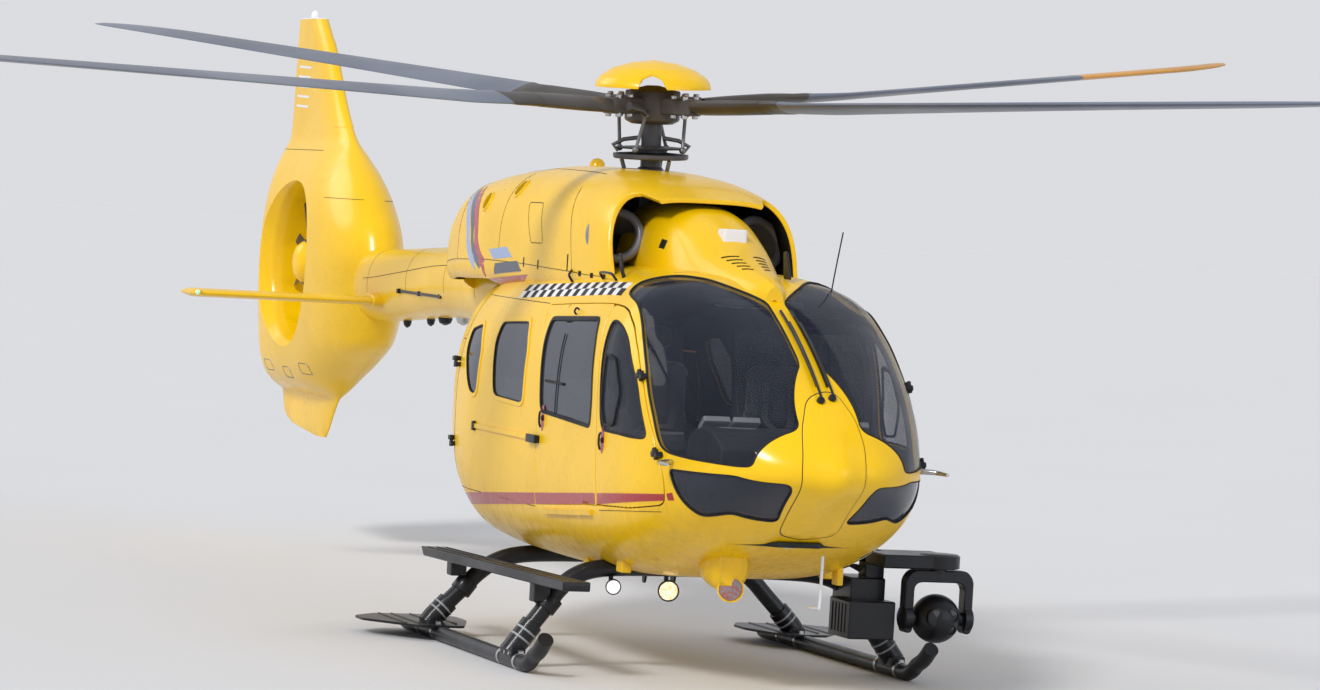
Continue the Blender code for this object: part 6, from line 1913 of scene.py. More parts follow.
def build_turret():
    """Camera carrier, panning yoke and tilting ball with its glass eyes, and the carrier's wires."""
    x, y, z = 1.90, 1.285, 0.385
    carrier = Mesh()
    for low, high in (((1.575, 0.74, 0.25), (1.90, 1.03, 0.475)),
                      ((1.46, 0.80, 0.44), (1.75, 1.02, 0.60)),
                      ((1.60, 0.90, 0.68), (2.00, 1.36, 0.76)), ((1.60, 0.90, 0.44),
                              (1.72, 1.02, 0.76))):
        box(carrier, low, high, 0.008, 0.012)
    turned(carrier, ((0.11, 0.0), (0.125, 0.004), (0.125, 0.075), (0.11, 0.085)),
           placement((x, y, 0.682), (0, 0, 1)), 48)
    for k in range(5):
        box(carrier, (1.62 + 0.05 * k, 0.735, 0.28), (1.635 + 0.05 * k, 0.742, 0.45), 0.001, 0.002)
    carrier.build("turret_carrier", finish("black_metal"), slot_name="black_metal",
                  stands_for=("gimbal_carrier",))
    wires = Mesh()
    for k in range(3):
        line = [(1.62 + 0.02 * k, 0.99, 0.58), (1.58, 0.90 - 0.03 * k, 0.66),
                (1.54, 0.80, 0.63 + 0.01 * k), (1.50, 0.70, 0.60)]
        tube(wires, smoothed(line, 8), 0.007, 8, (1, 0, 0.2))
    wires.build("turret_wires", finish("black_rubber"), slot_name="black_metal")
    yoke = Mesh()
    outline = [(y + dy, dz) for dy, dz in ((-0.215, 0.30), (-0.215, 0.62), (-0.17, 0.672), (0.17, 0.672),
                                           (0.215, 0.62), (0.215, 0.30),
                                         (0.16, 0.30), (0.16, 0.575), (0.13, 0.60), (-0.13, 0.60),
                                         (-0.16, 0.575), (-0.16, 0.30))]
    place = placement((x - 0.045, 0, 0), (1, 0, 0), (0, 1, 0))
    slab(yoke, [rounded(outline, 0.03)], 0.0, 0.09, place, 0.006)
    turned(yoke, ((0.05, 0.65), (0.05, 0.679)), placement((x, y, 0), (0, 0, 1)), 32)
    for dy in (-1, 1):
        place = placement((x, y + dy * 0.163, z), (0, dy, 0))
        turned(yoke, ((0.06, 0.0), (0.075, 0.004), (0.075, 0.05), (0.062, 0.058), (0.02, 0.06)), place,
               40)
    yoke.build("turret_yoke", finish("black_metal"), "gimbal_yoke", "black_metal",
               stands_for=("gimbal_yoke",))
    ball, glass = Mesh(), Mesh()
    place = placement((x, y, z), (0, 1, 0))
    polar = np.linspace(0.06, math.pi - 0.06, 36)
    turned(ball, [(0.145 * math.sin(p), -0.145 * math.cos(p)) for p in polar], place, 64)
    turned(ball, ((0.04, -0.159), (0.04, 0.159)), place, 24)
    for dy, dz, r in ((-0.05, 0.015, 0.047), (0.055, 0.03, 0.034), (0.05, -0.05, 0.026)):
        eye = placement((x + math.sqrt(0.145 ** 2 - dy ** 2 - dz ** 2) - 0.012, y + dy, z + dz),
                        (1, 0, 0), (0, 1, 0))
        turned(ball, ((r + 0.008, -0.02), (r + 0.008, 0.014), (r, 0.016), (r, 0.006), (r * 0.1, 0.006)),
               eye, 40)
        turned(glass, ((r * 0.985, 0.0065), (r * 0.985, 0.009), (r * 0.6, 0.012), (r * 0.05, 0.0135)),
               eye, 40)
    ball.build("turret_ball", finish("black_metal"), "gimbal_ball", "black_metal",
               stands_for=("gimbal_ball",))
    glass.build("turret_eyes", finish("screen_glass"), "gimbal_ball", "black_metal")


CUSHION_START, PULL, CHANNEL_DEPTH = (0.92, 0.92, 0.86), 0.035, 0.007
VOXEL, PRESSURE, SWELL_CAP = 0.011, 4.0, 0.022


def cushion(name, low, high, channels=3, channel_way=0):
    """One stuffed cushion between two corners: a crowned closed form whose sides pull in between
    its corners, swollen by cloth simulation, with sewn channels on top."""
    low, high = np.asarray(low, float), np.asarray(high, float)
    size, middle = high - low, (low + high) / 2
    half = size / 2 * np.array(CUSHION_START)
    u = np.linspace(-1, 1, 26)
    a, b = np.meshgrid(u, u, indexing="ij")
    crown = (1 - 0.5 * np.abs(a) ** 6) * (1 - 0.5 * np.abs(b) ** 6)
    top = np.stack((a * half[0] * (1 - PULL * (1 - b ** 2)), b * half[1] * (1 - PULL * (1 - a ** 2)),
                    half[2] * (0.35 + 0.65 * crown)), -1)
    bottom = top * (1, 1, -1)
    mesh = Mesh()
    edge = lambda g: np.concatenate((g[0, :-1], g[:-1, -1], g[-1, :0:-1], g[:0:-1, 0]))
    mesh.grid(top)
    mesh.grid(bottom[::-1])
    mesh.grid(np.stack((edge(bottom), edge(top))), False, True)
    data = bpy.data.meshes.new(name)
    data.from_pydata(np.concatenate(mesh.points).tolist(), [], mesh.faces)
    work = bmesh.new()
    work.from_mesh(data)
    bmesh.ops.remove_doubles(work, verts=work.verts, dist=1e-5)
    bmesh.ops.recalc_face_normals(work, faces=work.faces)
    work.to_mesh(data)
    work.free()
    made = bpy.data.objects.new(name, data)
    bpy.context.scene.collection.objects.link(made)
    swell(made)
    data = made.data
    points = np.empty(len(data.vertices) * 3)
    data.vertices.foreach_get("co", points)
    points = points.reshape(-1, 3)
    limit = size / 2
    points = points * np.minimum(1.0, limit / np.maximum(np.abs(points).max(0), 1e-6))
    along_way = points[:, channel_way] / limit[channel_way]
    groove = np.zeros(len(points))
    for k in range(channels):
        groove += np.exp(-((along_way - (2 * (k + 1) / (channels + 1) - 1)) / 0.035) ** 2)
    over = np.clip(points[:, 2] / limit[2], 0, 1) ** 2
    points[:, 2] -= groove * over * CHANNEL_DEPTH
    points = points + middle + MAST
    data.vertices.foreach_set("co", points.ravel())
    data.update()
    data.materials.clear()
    data.materials.append(cloth_finish())
    data.shade_smooth()
    return made


def swell(made):
    """Remeshes a closed form and lets its cloth swell under pressure for a few steps."""
    bpy.context.view_layer.objects.active = made
    remesh = made.modifiers.new("remesh", "REMESH")
    remesh.mode = "VOXEL"
    remesh.voxel_size = VOXEL
    apply_modifiers(made)
    before = np.empty(len(made.data.vertices) * 3)
    made.data.vertices.foreach_get("co", before)
    cloth = made.modifiers.new("cloth", "CLOTH")
    cloth.settings.use_pressure = True
    cloth.settings.uniform_pressure_force = PRESSURE
    cloth.settings.effector_weights.gravity = 0.0
    cloth.settings.quality = 4
    scene = bpy.context.scene
    steps = sizes().cushion_steps
    cloth.point_cache.frame_start, cloth.point_cache.frame_end = 1, steps
    for frame_number in range(1, steps + 1):
        scene.frame_set(frame_number)
    apply_modifiers(made)
    after = np.empty(len(made.data.vertices) * 3)
    made.data.vertices.foreach_get("co", after)
    before, after = before.reshape(-1, 3), after.reshape(-1, 3)
    if len(before) == len(after):
        way = after - before
        length = np.maximum(np.linalg.norm(way, axis=1, keepdims=True), 1e-9)
        after = before + way * np.minimum(1.0, SWELL_CAP / length)
        made.data.vertices.foreach_set("co", after.ravel())
    scene.frame_set(1)


def apply_modifiers(made):
    """Turns an object's modifiers into its mesh."""
    graph = bpy.context.evaluated_depsgraph_get()
    graph.update()
    mesh = bpy.data.meshes.new_from_object(made.evaluated_get(graph), depsgraph=graph)
    made.modifiers.clear()
    old, made.data = made.data, mesh
    bpy.data.meshes.remove(old)


def dress(made, node, fill):
    """Lets a cushion ride on the airframe as a stuffed piece in place of its seat."""
    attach(made, "airframe")
    if node:
        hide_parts(node)


def build_seats():
    """Pilot seats and rear bench: cushions, shells, head rests and belts."""
    fill = sizes().cushion_fill
    for side, end in SIDES:
        y = side * 0.37
        node = "pilot_seat_" + end
        for part, x0, x1, half, z0, z1, channels in (
                ("base", 1.47, 1.92, 0.225, 1.28, 1.405, 2), ("back", 1.385, 1.48, 0.215, 1.395, 1.86,
                                                              0),
                ("head", 1.25, 1.33, 0.13, 1.87, 2.015, 0)):
            made = cushion("seat_%s_%s" % (part, end), (x0, y - half, z0), (x1, y + half, z1), channels,
                           1)
            dress(made, node, fill)
        back, straps = Mesh(), Mesh()
        outline = rounded([(x - 1.42, z) for x, z in ((1.44, 0.884), (1.78, 0.884), (1.84, 1.24),
                                                      (1.88, 1.275), (1.44, 1.275),
                                                      (1.385, 1.50), (1.25, 2.01), (1.22, 2.01),
                                                      (1.30, 1.42), (1.33, 1.26))], 0.02)
        place = upright(1.42, y + 0.21, 0)
        slab(back, [outline], 0.0, 0.42, place, 0.006)
        back.build("seat_shell_" + end, finish("cabin_dark"), slot_name="cabin_dark", stands_for=(node,))
        for dy in (-0.08, 0.08):
            line = np.array(((1.30, y + dy * 0.7, 1.87), (1.42, y + dy * 0.8, 1.80),
                             (1.505, y + dy, 1.65), (1.515, y + dy, 1.50), (1.60, y + dy * 0.4, 1.425)))
            webbing(straps, smoothed(line, 6), 0.045, (0, 1, 0))
        webbing(straps, smoothed(np.array(((1.50, y - 0.235, 1.33), (1.56, y - 0.12, 1.422),
                                           (1.58, y, 1.427), (1.56, y + 0.12, 1.422),
                                           (1.50, y + 0.235, 1.33))), 6), 0.045, (1, 0, 0))
        straps.build("seat_belts_" + end, finish("web_strap"), slot_name="seat_fabric")
        buckle = Mesh()
        turned(buckle, ((0.028, 0.0), (0.03, 0.004), (0.03, 0.014), (0.022, 0.018), (0.004, 0.019)),
               placement((1.585, y, 1.428), (0.1, 0, 1)), 24)
        buckle.build("belt_buckle_" + end, finish("bare_steel"), slot_name="black_metal")
    for k, y in enumerate((-0.41, 0.0, 0.41)):
        dress(cushion("bench_base_%d" % (k + 1), (-0.71, y - 0.20, 1.27), (-0.335, y + 0.20, 1.405),
                      channels=1, channel_way=1), "rear_seat", fill)
        dress(cushion("bench_back_%d" % (k + 1), (-0.83, y - 0.20, 1.395), (-0.745, y + 0.20, 1.935),
                      channels=0), "rear_seat", fill)
    bench = Mesh()
    box(bench, (-0.72, -0.61, 0.884), (-0.40, 0.61, 1.265), 0.01, 0.02)
    box(bench, (-0.925, -0.61, 1.266), (-0.835, 0.61, 1.94), 0.01, 0.02)
    bench.build("bench_shell", finish("cabin_dark"), slot_name="cabin_dark", stands_for=("rear_seat",))


def webbing(mesh, path, width, across, mark=0, thick=0.002):
    """Adds a flat strap along a path."""
    p = np.asarray(path, float)
    way = unit(np.gradient(p, axis=0))
    side = np.asarray(across, float)
    side = unit(side - way * (way @ side)[:, None])
    up = np.cross(way, side)
    w, t = side * width / 2, up * thick / 2
    mesh.grid(np.stack((p - w - t, p + w - t, p + w + t, p - w + t), 1), False, True, True, mark)


def build_cabin():
    """Floor, instrument panel with displays, overhead bar, sticks and pedals."""
    floor = Mesh()
    xs = np.linspace(-0.94, 2.90, 60)
    half = np.maximum(0.12, pod_half_width(xs, np.full(60, 0.868)) - WALL - 0.02)
    low = np.minimum(half, 0.72)
    outline = np.concatenate((np.stack((xs, -low), -1), np.stack((xs, low), -1)[::-1]))
    slab(floor, [outline], SILL - 0.03, SILL, placement((0, 0, 0), (0, 0, 1)), 0.003, 0, 0.3)
    floor.build("floor_deck", finish("floor_mat"), slot_name="cabin_dark", stands_for=("cabin_floor",))
    board, faces_, lit, knobs = Mesh(), Mesh(), Mesh(), Mesh()
    profile = rounded(((2.35, 1.40), (2.46, 1.475), (2.62, 1.50), (2.80, 1.46), (2.92, 1.40),
                       (2.92, 1.22), (2.62, 1.12), (2.40, 1.16)), 0.03)
    place = upright(0, 0.50, 0)
    slab(board, [profile], 0.0, 1.0, place, 0.01, 0, 0.2)
    box(board, (2.20, -0.14, SILL + 0.002), (2.64, 0.14, 1.28), 0.01, 0.02)
    board.build("instrument_board", finish("cabin_dark"), slot_name="cabin_dark",
                stands_for=("instrument_panel",))
    out = unit(np.array((-0.98, 0.0, 0.2)))
    for y in (-0.38, -0.19, 0.0, 0.19, 0.38):
        spot_ = placement((2.352, y, 1.29), out, (0, 1, 0))
        slab(faces_, [rounded_box(0.165, 0.20, 0.012)], 0.0, 0.012, spot_, 0.002)
        slab(lit, [rounded_box(0.15, 0.185, 0.008)], 0.0105, 0.0125, spot_, 0.0005)
        for k in range(6):
            turned(knobs, ((0.006, 0.0), (0.006, 0.018), (0.004, 0.02)),
                   spot_ @ shifted(-0.065 + 0.026 * k, -0.108, 0), 12)
    faces_.build("display_frames", finish("trim_grey"), slot_name="cabin_dark")
    lit.build("display_glass", screen_finish(), slot_name="cabin_dark")
    knobs.build("panel_knobs", finish("black_rubber"), slot_name="cabin_dark")
    hood = Mesh()
    for side, _ in SIDES:
        for k in range(4):
            x = 2.64 + 0.045 * k
            side_box(hood, side, (x, 0.20, 1.478 - 0.022 * k), (x + 0.014, 0.42, 1.497 - 0.022 * k),
                     0.001, 0.003)
        for y in (0.24, 0.42):
            base = placement((2.58, side * y, 1.495), (-0.6, 0, 0.8), (0, 1, 0))
            slab(hood, [rounded_box(0.16, 0.11, 0.01)], 0.0, 0.035, base, 0.003)
    hood.build("glareshield_fittings", finish("trim_grey"), slot_name="cabin_dark")
    overhead = Mesh()
    box(overhead, (1.74, -0.22, 2.165), (2.22, 0.22, 2.205), 0.008, 0.02)
    overhead.build("overhead_panel", finish("cabin_dark"), slot_name="cabin_dark")
    dials = Mesh()
    for k in range(5):
        for j in range(3):
            turned(dials, ((0.022, 0.0), (0.024, 0.004), (0.022, 0.010), (0.01, 0.012)),
                   placement((1.80 + 0.08 * k, -0.15 + 0.15 * j, 2.166), (0, 0, -1)), 20)
    dials.build("overhead_dials", finish("trim_grey"), slot_name="cabin_dark")
    sticks = Mesh()
    for side, _ in SIDES:
        y = side * 0.37
        tube(sticks, smoothed([(2.10, y, 0.885), (2.08, y, 1.05), (2.02, y, 1.22), (2.00, y, 1.38),
                               (2.01, y, 1.46)], 8), 0.013, 12, (1, 0, 0.1))
        tube(sticks, [(2.0, y, 1.40), (2.01, y, 1.47)], 0.021, 14, (1, 0, 0.1))
        lever = y - 0.27 * side
        tube(sticks, smoothed([(1.62, lever, 0.90), (1.75, lever, 1.05), (1.92, lever, 1.16)], 8), 0.014,
             12)
        for dy in (-0.10, 0.10):
            box(sticks, (2.62, y + dy - 0.04, 0.93), (2.64, y + dy + 0.04, 1.02), 0.003, 0.006)
            tube(sticks, [(2.635, y + dy, 0.885), (2.632, y + dy, 0.95)], 0.009, 10, (1, 0, 0))
    sticks.build("flight_controls", finish("black_rubber"), slot_name="cabin_dark")
    rack = Mesh()
    box(rack, (-0.20, 0.30, 0.884), (0.95, 0.66, 0.97), 0.01, 0.03)
    box(rack, (-0.15, 0.32, 0.971), (0.93, 0.64, 1.05), 0.02, 0.05)
    box(rack, (0.30, -0.30, 0.884), (0.66, 0.10, 1.26), 0.012, 0.03)
    box(rack, (0.20, -0.30, 1.261), (0.32, 0.10, 1.90), 0.012, 0.03)
    rack.build("cabin_equipment", finish("cabin_dark"), slot_name="cabin_dark")


def build_masses():
    """Gearbox, engines and fuel tank as plain blocks with chamfered rims, at their places."""
    blocks = Mesh()
    box(blocks, (-0.24, -0.22, 2.36), (0.50, 0.22, 2.798), 0.01, 0.02)
    blocks.build("gearbox_block", finish("engine_metal"), slot_name="engine_metal",
                 stands_for=("gearbox",))
    for side, end in SIDES:
        low, high = sorted((side * 0.24, side * 0.47))
        engine = Mesh()
        box(engine, (-1.10, low, 2.34), (-0.28, high, 2.558), 0.01, 0.02)
        engine.build("engine_block_" + end, finish("engine_metal"), slot_name="engine_metal",
                     stands_for=("engine_" + end,))
    tank = Mesh()
    box(tank, (0.02, -0.60, 0.672), (1.35, 0.60, SILL - 0.031), 0.01, 0.03)
    tank.build("tank_block", finish("engine_metal"), slot_name="engine_metal", stands_for=("fuel_tank",))


def lamp(name, centre, out, radius, housing, colour, strength, speck=(0.9, 0.9, 0.9), depth=0.06):
    """One round lamp: a housing with a bezel and a domed lens."""
    place = placement(centre, out, (0, 1, 0))
    body, lens = Mesh(), Mesh()
    turned(body, ((radius * 0.75, -depth), (radius * 1.05, -depth * 0.6), (radius * 1.15, -0.01),
                  (radius * 1.15, 0.008),
                  (radius * 1.02, 0.010), (radius * 1.0, 0.0), (radius * 0.1, -0.004)), place, 40)
    turned(lens, ((radius * 0.99, 0.001), (radius * 0.97, 0.006), (radius * 0.6, 0.012),
                  (radius * 0.05, 0.015)), place, 40)
    body.build(name + "_housing", finish(housing),
               slot_name="black_metal" if housing == "black_metal" else "yellow_paint")
    lens.build(name + "_lens", glow_finish(name + "_lens", colour, strength, speck), slot_name="window")


def build_fittings():
    """Lamps, wipers, air probes, antennas, hooks and scoops."""
    lamp("searchlight", (2.545, -0.255, 0.580), (0.94, -0.33, -0.05), 0.066, "yellow_paint",
         (0.22, 0.20, 0.22), 0.10, (0.30, 0.07, 0.06))
    lamp("warm_lamp", (1.56, -0.268, 0.473), (1, -0.2, -0.1), 0.055, "black_metal", (1.0, 0.75, 0.4),
         1.2)
    lamp("led_lamp", (1.56, -0.61, 0.487), (1, -0.3, -0.1), 0.040, "black_metal", (0.9, 0.95, 1.0), 0.8)
    lamp("landing_light", (1.54, 0.126, 0.477), (1, 0, -0.15), 0.055, "black_metal", (0.85, 0.85, 0.9),
         0.3)
    black, steel, white, yellow = Mesh(), Mesh(), Mesh(), Mesh()
    for y in (-0.61, -0.268, 0.126):
        tube(black, [(1.51, y, 0.58), (1.51, y, 0.49)], 0.014, 12, (1, 0, 0))
    rows = []
    for x, half, low in ((2.22, 0.03, 0.69), (2.28, 0.10, 0.62), (2.38, 0.135, 0.565),
                         (2.47, 0.135, 0.555), (2.53, 0.11, 0.575),
                         (2.56, 0.085, 0.60)):
        angle = circle(40)
        rows.append(np.stack((np.full(40, x), -0.255 + half * np.cos(angle),
                              0.70 + np.sin(angle) * np.where(
            np.sin(angle) < 0, 0.70 - low, 0.16)), -1))
    yellow.grid(np.array(rows), False, True, True)
    for pivot_y, pivot_z, shift in ((-0.02, 1.685, -0.012), (0.055, 1.70, 0.05)):
        base = front_at(np.array(((pivot_y, pivot_z),)))[0]
        turned(black, ((0.022, -0.01), (0.022, 0.022), (0.014, 0.030)),
               placement(base, (1, 0, 0.6), (0, 1, 0)), 24)
        heights = np.linspace(pivot_z, 2.08, 14)
        arm = front_at(np.stack((pivot_y + (shift - pivot_y) * np.linspace(0, 1, 14), heights), -1),
                       -0.03)
        tube(black, arm, 0.0075, 10, (0, 1, 0))
        heights = np.linspace(1.76, 2.15, 16)
        blade = front_at(np.stack((np.full(16, shift), heights), -1), -0.012)
        tube(black, blade, 0.009, 8, (0, 1, 0))
    for side, _ in SIDES:
        tip = [(2.80, side * 0.735, 1.30), (2.84, side * 0.80, 1.30), (2.88, side * 0.838, 1.297),
               (2.99, side * 0.841, 1.295)]
        tube(steel, smoothed(tip, 6), np.interp(np.linspace(0, 1, 19), (0, 0.5, 1),
                                                (0.017, 0.014, 0.010)), 14)
    for y in (-0.055, -0.025):
        tube(white, smoothed([(2.80, y, 0.90), (2.80, y, 0.855), (2.83, y, 0.852), (2.87, y, 0.852)], 5),
             0.010, 12, (0, 1, 0))
    tube(white, [(2.774, 0.2, 0.80), (2.77, 0.2, 0.553), (2.765, 0.2, 0.505), (2.68, 0.2, 0.497),
                 (2.595, 0.2, 0.495)], 0.009, 12, (0, 1, 0))
    tube(black, smoothed([(1.379, -0.586, 2.27), (1.36, -0.60, 2.33), (1.33, -0.605, 2.42)], 6), 0.012,
         10, (1, 0, 0))
    tube(black, smoothed([(1.98, 0.47, 2.24), (1.96, 0.50, 2.40), (1.92, 0.55, 2.62)], 8), 0.0045, 8,
         (1, 0, 0))
    blade_antenna = [(0.0, 0.0), (0.10, 0.0), (0.02, 0.16), (-0.03, 0.16)]
    place = upright(1.90, 0.21, 2.33)
    slab(black, [rounded(blade_antenna, 0.015)], -0.007, 0.007, place, 0.003)
    box(yellow, (2.03, 0.56, 0.58), (2.12, 0.60, 0.69), 0.006, 0.012)
    for x in (0.35, 0.85):
        place[:3, 3] = (x, 0.0, 0.555)
        slab(black, [rounded([(0.0, 0.0), (0.10, 0.0), (0.05, -0.14), (0.01, -0.14)], 0.015)], -0.007,
             0.007, place, 0.003)
    box(yellow, (0.55, -0.06, 2.33), (0.72, 0.06, 2.345), 0.002, 0.01)
    checks = Mesh()
    for side, _ in SIDES:
        corner = [(1.826, side * 0.802, 0.808), (2.505, side * 0.693, 0.874),
                  (2.386, side * 0.586, 0.765), (1.85, side * 0.70, 0.70)]
        corner = on_front(corner, side)
        for k in range(10):
            t0, t1 = k / 10, (k + 1) / 10
            for row in (0, 1):
                w0, w1 = row / 2, row / 2 + 0.5
                pick = lambda t, w: ((corner[0] * (1 - t) + corner[1] * t) * (1 - w)
                                     + (corner[3] * (1 - t) + corner[2] * t) * w)
                decal(checks, np.array((pick(t0, w0), pick(t1, w0), pick(t1, w1), pick(t0, w1))),
                      (k + row) % 2)
    checks.build("lower_checks", (finish("black_rubber"), finish("white_paint")))
    black.build("small_black_fittings", finish("black_metal"), slot_name="black_metal")
    steel.build("air_probes", finish("bare_steel"), slot_name="black_metal")
    white.build("white_probes", finish("white_paint"))
    yellow.build("small_yellow_fittings", finish("yellow_paint"))


# Camera fitted to the photo: degrees, metres, and a focal length in pixels of the photo's width
CAMERA_ANGLES, CAMERA_TARGET, CAMERA_DISTANCE = (19.744, 1.758, 3.337), (0.0, 0.1508, 1.8539), 29.244
FOCAL_PIXELS, PHOTO_WIDTH, SENSOR = 4743.08, 1320.0, 36.0
FLOOR_REACH = 300.0


def build_stage():
    """Pale floor under a pale sky, soft lights, and the photo's camera."""
    scene = bpy.context.scene
    far = FLOOR_REACH
    data = bpy.data.meshes.new("studio_floor")
    data.from_pydata([(-far, -far, 0), (far, -far, 0), (far, far, 0), (-far, far, 0)], [],
                     [(0, 1, 2, 3)])
    made = bpy.data.objects.new("studio_floor", data)
    scene.collection.objects.link(made)
    pale = bpy.data.materials.new("floor_finish")
    pale.use_nodes = True
    n = Nodes(pale.node_tree)
    shader = pale.node_tree.nodes["Principled BSDF"]
    place = n.put("ShaderNodeTexCoord").outputs["Object"]
    tone = n.noise(place, 0.4, 3.0)
    pale.node_tree.links.new(n.mix(tone, (0.62, 0.62, 0.63), (0.65, 0.65, 0.66)),
                             shader.inputs["Base Color"])
    pale.node_tree.links.new(n.ramp(tone, 0.3, 0.7, 0.70, 0.80), shader.inputs["Roughness"])
    data.materials.append(pale)
    world = bpy.data.worlds.new("studio")
    world.use_nodes = True
    shade = Nodes(world.node_tree)
    back = world.node_tree.nodes["Background"]
    way = shade.put("ShaderNodeTexCoord").outputs["Generated"]
    height = shade.put("ShaderNodeSeparateXYZ", {"Vector": way}).outputs["Z"]
    world.node_tree.links.new(shade.mix(shade.ramp(height, 0.06, 0.6), (0.714, 0.719, 0.751),
                                        (0.58, 0.60, 0.64)), back.inputs["Color"])
    back.inputs["Strength"].default_value = 1.0
    scene.world = world
    for name, place_, target, spread, power, tint in (
            ("key_light", (9.0, -11.0, 13.0), (0.5, 0.0, 1.8), 12.0, 2.0, (1.0, 0.98, 0.95)),
            ("fill_light", (14.0, 8.0, 6.0), (1.5, 0.0, 1.5), 40.0, 0.45, (0.94, 0.97, 1.0)),
            ("rim_light", (-12.0, -8.0, 9.0), (-3.0, 0.0, 2.0), 30.0, 0.5, (1.0, 1.0, 1.0))):
        light = bpy.data.lights.new(name, "SUN")
        light.angle, light.energy, light.color = math.radians(spread), power, tint
        lamp_object = bpy.data.objects.new(name, light)
        lamp_object.location = Vector(place_) + Vector(MAST)
        aim = Vector(target) - Vector(place_)
        lamp_object.rotation_euler = aim.to_track_quat("-Z", "Y").to_euler()
        scene.collection.objects.link(lamp_object)
    azimuth, elevation, roll = (math.radians(v) for v in CAMERA_ANGLES)
    back_way = np.array((math.cos(elevation) * math.cos(azimuth),
                         -math.cos(elevation) * math.sin(azimuth), math.sin(elevation)))
    right = unit(np.cross((0, 0, 1.0), back_way))
    up = np.cross(back_way, right)
    c, s = math.cos(roll), math.sin(roll)
    right, up = c * right + s * up, c * up - s * right
    view = np.eye(4)
    view[:3, 0], view[:3, 1], view[:3, 2] = right, up, back_way
    view[:3, 3] = np.array(CAMERA_TARGET) + CAMERA_DISTANCE * back_way + MAST
    camera_data = bpy.data.cameras.new("camera")
    camera_data.sensor_width = SENSOR
    camera_data.lens = FOCAL_PIXELS * SENSOR / PHOTO_WIDTH
    camera = bpy.data.objects.new("camera", camera_data)
    camera.matrix_world = Matrix(view.tolist())
    scene.collection.objects.link(camera)
    scene.camera = camera
    scene.view_settings.view_transform = "Standard"


# Add-on: operators, panel and main
class HelicopterSkin(bpy.types.Operator):
    """Builds the pod's skin with its lining"""
    bl_idname = "helicopter.skin"
    bl_label = "Pod skin"

    def execute(self, context):
        build_skin()
        return {"FINISHED"}


class HelicopterDoors(bpy.types.Operator):
    """Builds the cockpit, cabin and rear doors with their seals"""
    bl_idname = "helicopter.doors"
    bl_label = "Doors"

    def execute(self, context):
        build_doors()
        return {"FINISHED"}


class HelicopterWindows(bpy.types.Operator):
    """Builds the panes with their seals and rims"""
    bl_idname = "helicopter.windows"
    bl_label = "Windows"

    def execute(self, context):
        build_windows()
        return {"FINISHED"}


class HelicopterSeams(bpy.types.Operator):
    """Draws panel lines and rivet heads on the pod"""
    bl_idname = "helicopter.seams"
    bl_label = "Panel lines"

    def execute(self, context):
        build_seams()
        return {"FINISHED"}


class HelicopterNose(bpy.types.Operator):
    """Builds the screwed-on nose panel"""
    bl_idname = "helicopter.nose"
    bl_label = "Nose panel"

    def execute(self, context):
        build_nose()
        return {"FINISHED"}


class HelicopterMarks(bpy.types.Operator):
    """Lays the painted bands, blocks and checks on the skin"""
    bl_idname = "helicopter.marks"
    bl_label = "Painted bands"

    def execute(self, context):
        build_marks()
        return {"FINISHED"}


class HelicopterHandles(bpy.types.Operator):
    """Builds handles, rails, hinges and brackets"""
    bl_idname = "helicopter.handles"
    bl_label = "Handles and rails"

    def execute(self, context):
        build_handles()
        return {"FINISHED"}


class HelicopterDeck(bpy.types.Operator):
    """Builds the engine cowling, hump, inlets and exhausts"""
    bl_idname = "helicopter.deck"
    bl_label = "Cowling and hump"

    def execute(self, context):
        build_deck()
        return {"FINISHED"}


class HelicopterMasses(bpy.types.Operator):
    """Builds the gearbox, engines and tank as plain blocks"""
    bl_idname = "helicopter.masses"
    bl_label = "Engines and tank"

    def execute(self, context):
        build_masses()
        return {"FINISHED"}


class HelicopterFin(bpy.types.Operator):
    """Builds the fin with its shroud and trim"""
    bl_idname = "helicopter.fin"
    bl_label = "Fin and shroud"

    def execute(self, context):
        build_fin()
        return {"FINISHED"}


class HelicopterFan(bpy.types.Operator):
    """Builds the tail fan and its vanes"""
    bl_idname = "helicopter.fan"
    bl_label = "Tail fan"

    def execute(self, context):
        build_fan()
        return {"FINISHED"}


class HelicopterBoom(bpy.types.Operator):
    """Builds the boom, tailplane and their fittings"""
    bl_idname = "helicopter.boom"
    bl_label = "Boom and tailplane"

    def execute(self, context):
        build_boom()
        return {"FINISHED"}


class HelicopterRotor(bpy.types.Operator):
    """Builds the cap, hub, mast and blades"""
    bl_idname = "helicopter.rotor"
    bl_label = "Main rotor"

    def execute(self, context):
        build_rotor()
        return {"FINISHED"}


class HelicopterGear(bpy.types.Operator):
    """Builds the cross tubes, skids and boarding step"""
    bl_idname = "helicopter.gear"
    bl_label = "Skid gear"

    def execute(self, context):
        build_gear()
        return {"FINISHED"}


class HelicopterTurret(bpy.types.Operator):
    """Builds the camera turret and its carrier"""
    bl_idname = "helicopter.turret"
    bl_label = "Camera turret"

    def execute(self, context):
        build_turret()
        return {"FINISHED"}


class HelicopterCabin(bpy.types.Operator):
    """Builds the floor, instruments and controls"""
    bl_idname = "helicopter.cabin"
    bl_label = "Cabin fittings"

    def execute(self, context):
        build_cabin()
        return {"FINISHED"}


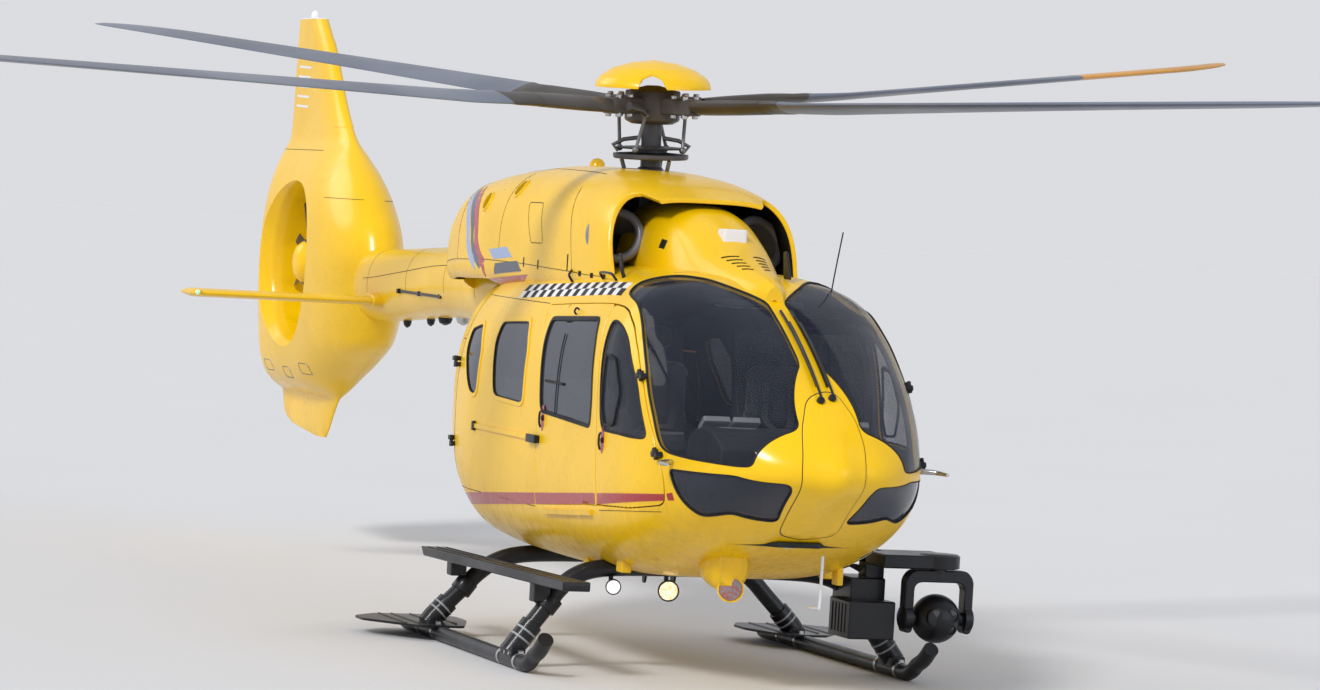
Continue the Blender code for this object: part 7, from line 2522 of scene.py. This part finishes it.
class HelicopterSeats(bpy.types.Operator):
    """Builds the stuffed seats with their shells and belts"""
    bl_idname = "helicopter.seats"
    bl_label = "Seats"

    def execute(self, context):
        build_seats()
        return {"FINISHED"}


class HelicopterFittings(bpy.types.Operator):
    """Builds lamps, wipers, probes and antennas"""
    bl_idname = "helicopter.fittings"
    bl_label = "Lamps and probes"

    def execute(self, context):
        build_fittings()
        return {"FINISHED"}


class HelicopterStage(bpy.types.Operator):
    """Builds the floor, lights and camera"""
    bl_idname = "helicopter.stage"
    bl_label = "Stage"

    def execute(self, context):
        build_stage()
        return {"FINISHED"}


STEPS = (
    HelicopterSkin, HelicopterDoors, HelicopterWindows, HelicopterSeams, HelicopterNose,
    HelicopterMarks, HelicopterHandles, HelicopterDeck, HelicopterMasses, HelicopterFin,
    HelicopterFan, HelicopterBoom, HelicopterRotor, HelicopterGear, HelicopterTurret,
    HelicopterCabin, HelicopterSeats, HelicopterFittings, HelicopterStage)


class HelicopterPanel(bpy.types.Panel):
    """Lists the steps, colours and sizes in the sidebar"""
    bl_idname = "VIEW3D_PT_helicopter"
    bl_label = "Helicopter"
    bl_space_type = "VIEW_3D"
    bl_region_type = "UI"
    bl_category = "Helicopter"

    def draw(self, context):
        for step in STEPS:
            self.layout.operator(step.bl_idname)
        for group in (colours(), sizes()):
            for name in group.__annotations__:
                self.layout.prop(group, name)


CLASSES = (HelicopterColours, HelicopterSizes) + STEPS + (HelicopterPanel,)


def register():
    """Registers the classes and hangs the two groups on the scene."""
    for kind in CLASSES:
        bpy.utils.register_class(kind)
    bpy.types.Scene.helicopter_colours = PointerProperty(type=HelicopterColours)
    bpy.types.Scene.helicopter_sizes = PointerProperty(type=HelicopterSizes)


def unregister():
    """Takes the groups and classes away again."""
    del bpy.types.Scene.helicopter_colours
    del bpy.types.Scene.helicopter_sizes
    for kind in reversed(CLASSES):
        bpy.utils.unregister_class(kind)


def main():
    """Runs every step in order."""
    register()
    for step in STEPS:
        group, name = step.bl_idname.split(".")
        getattr(getattr(bpy.ops, group), name)()


if __name__ == "__main__":
    main()
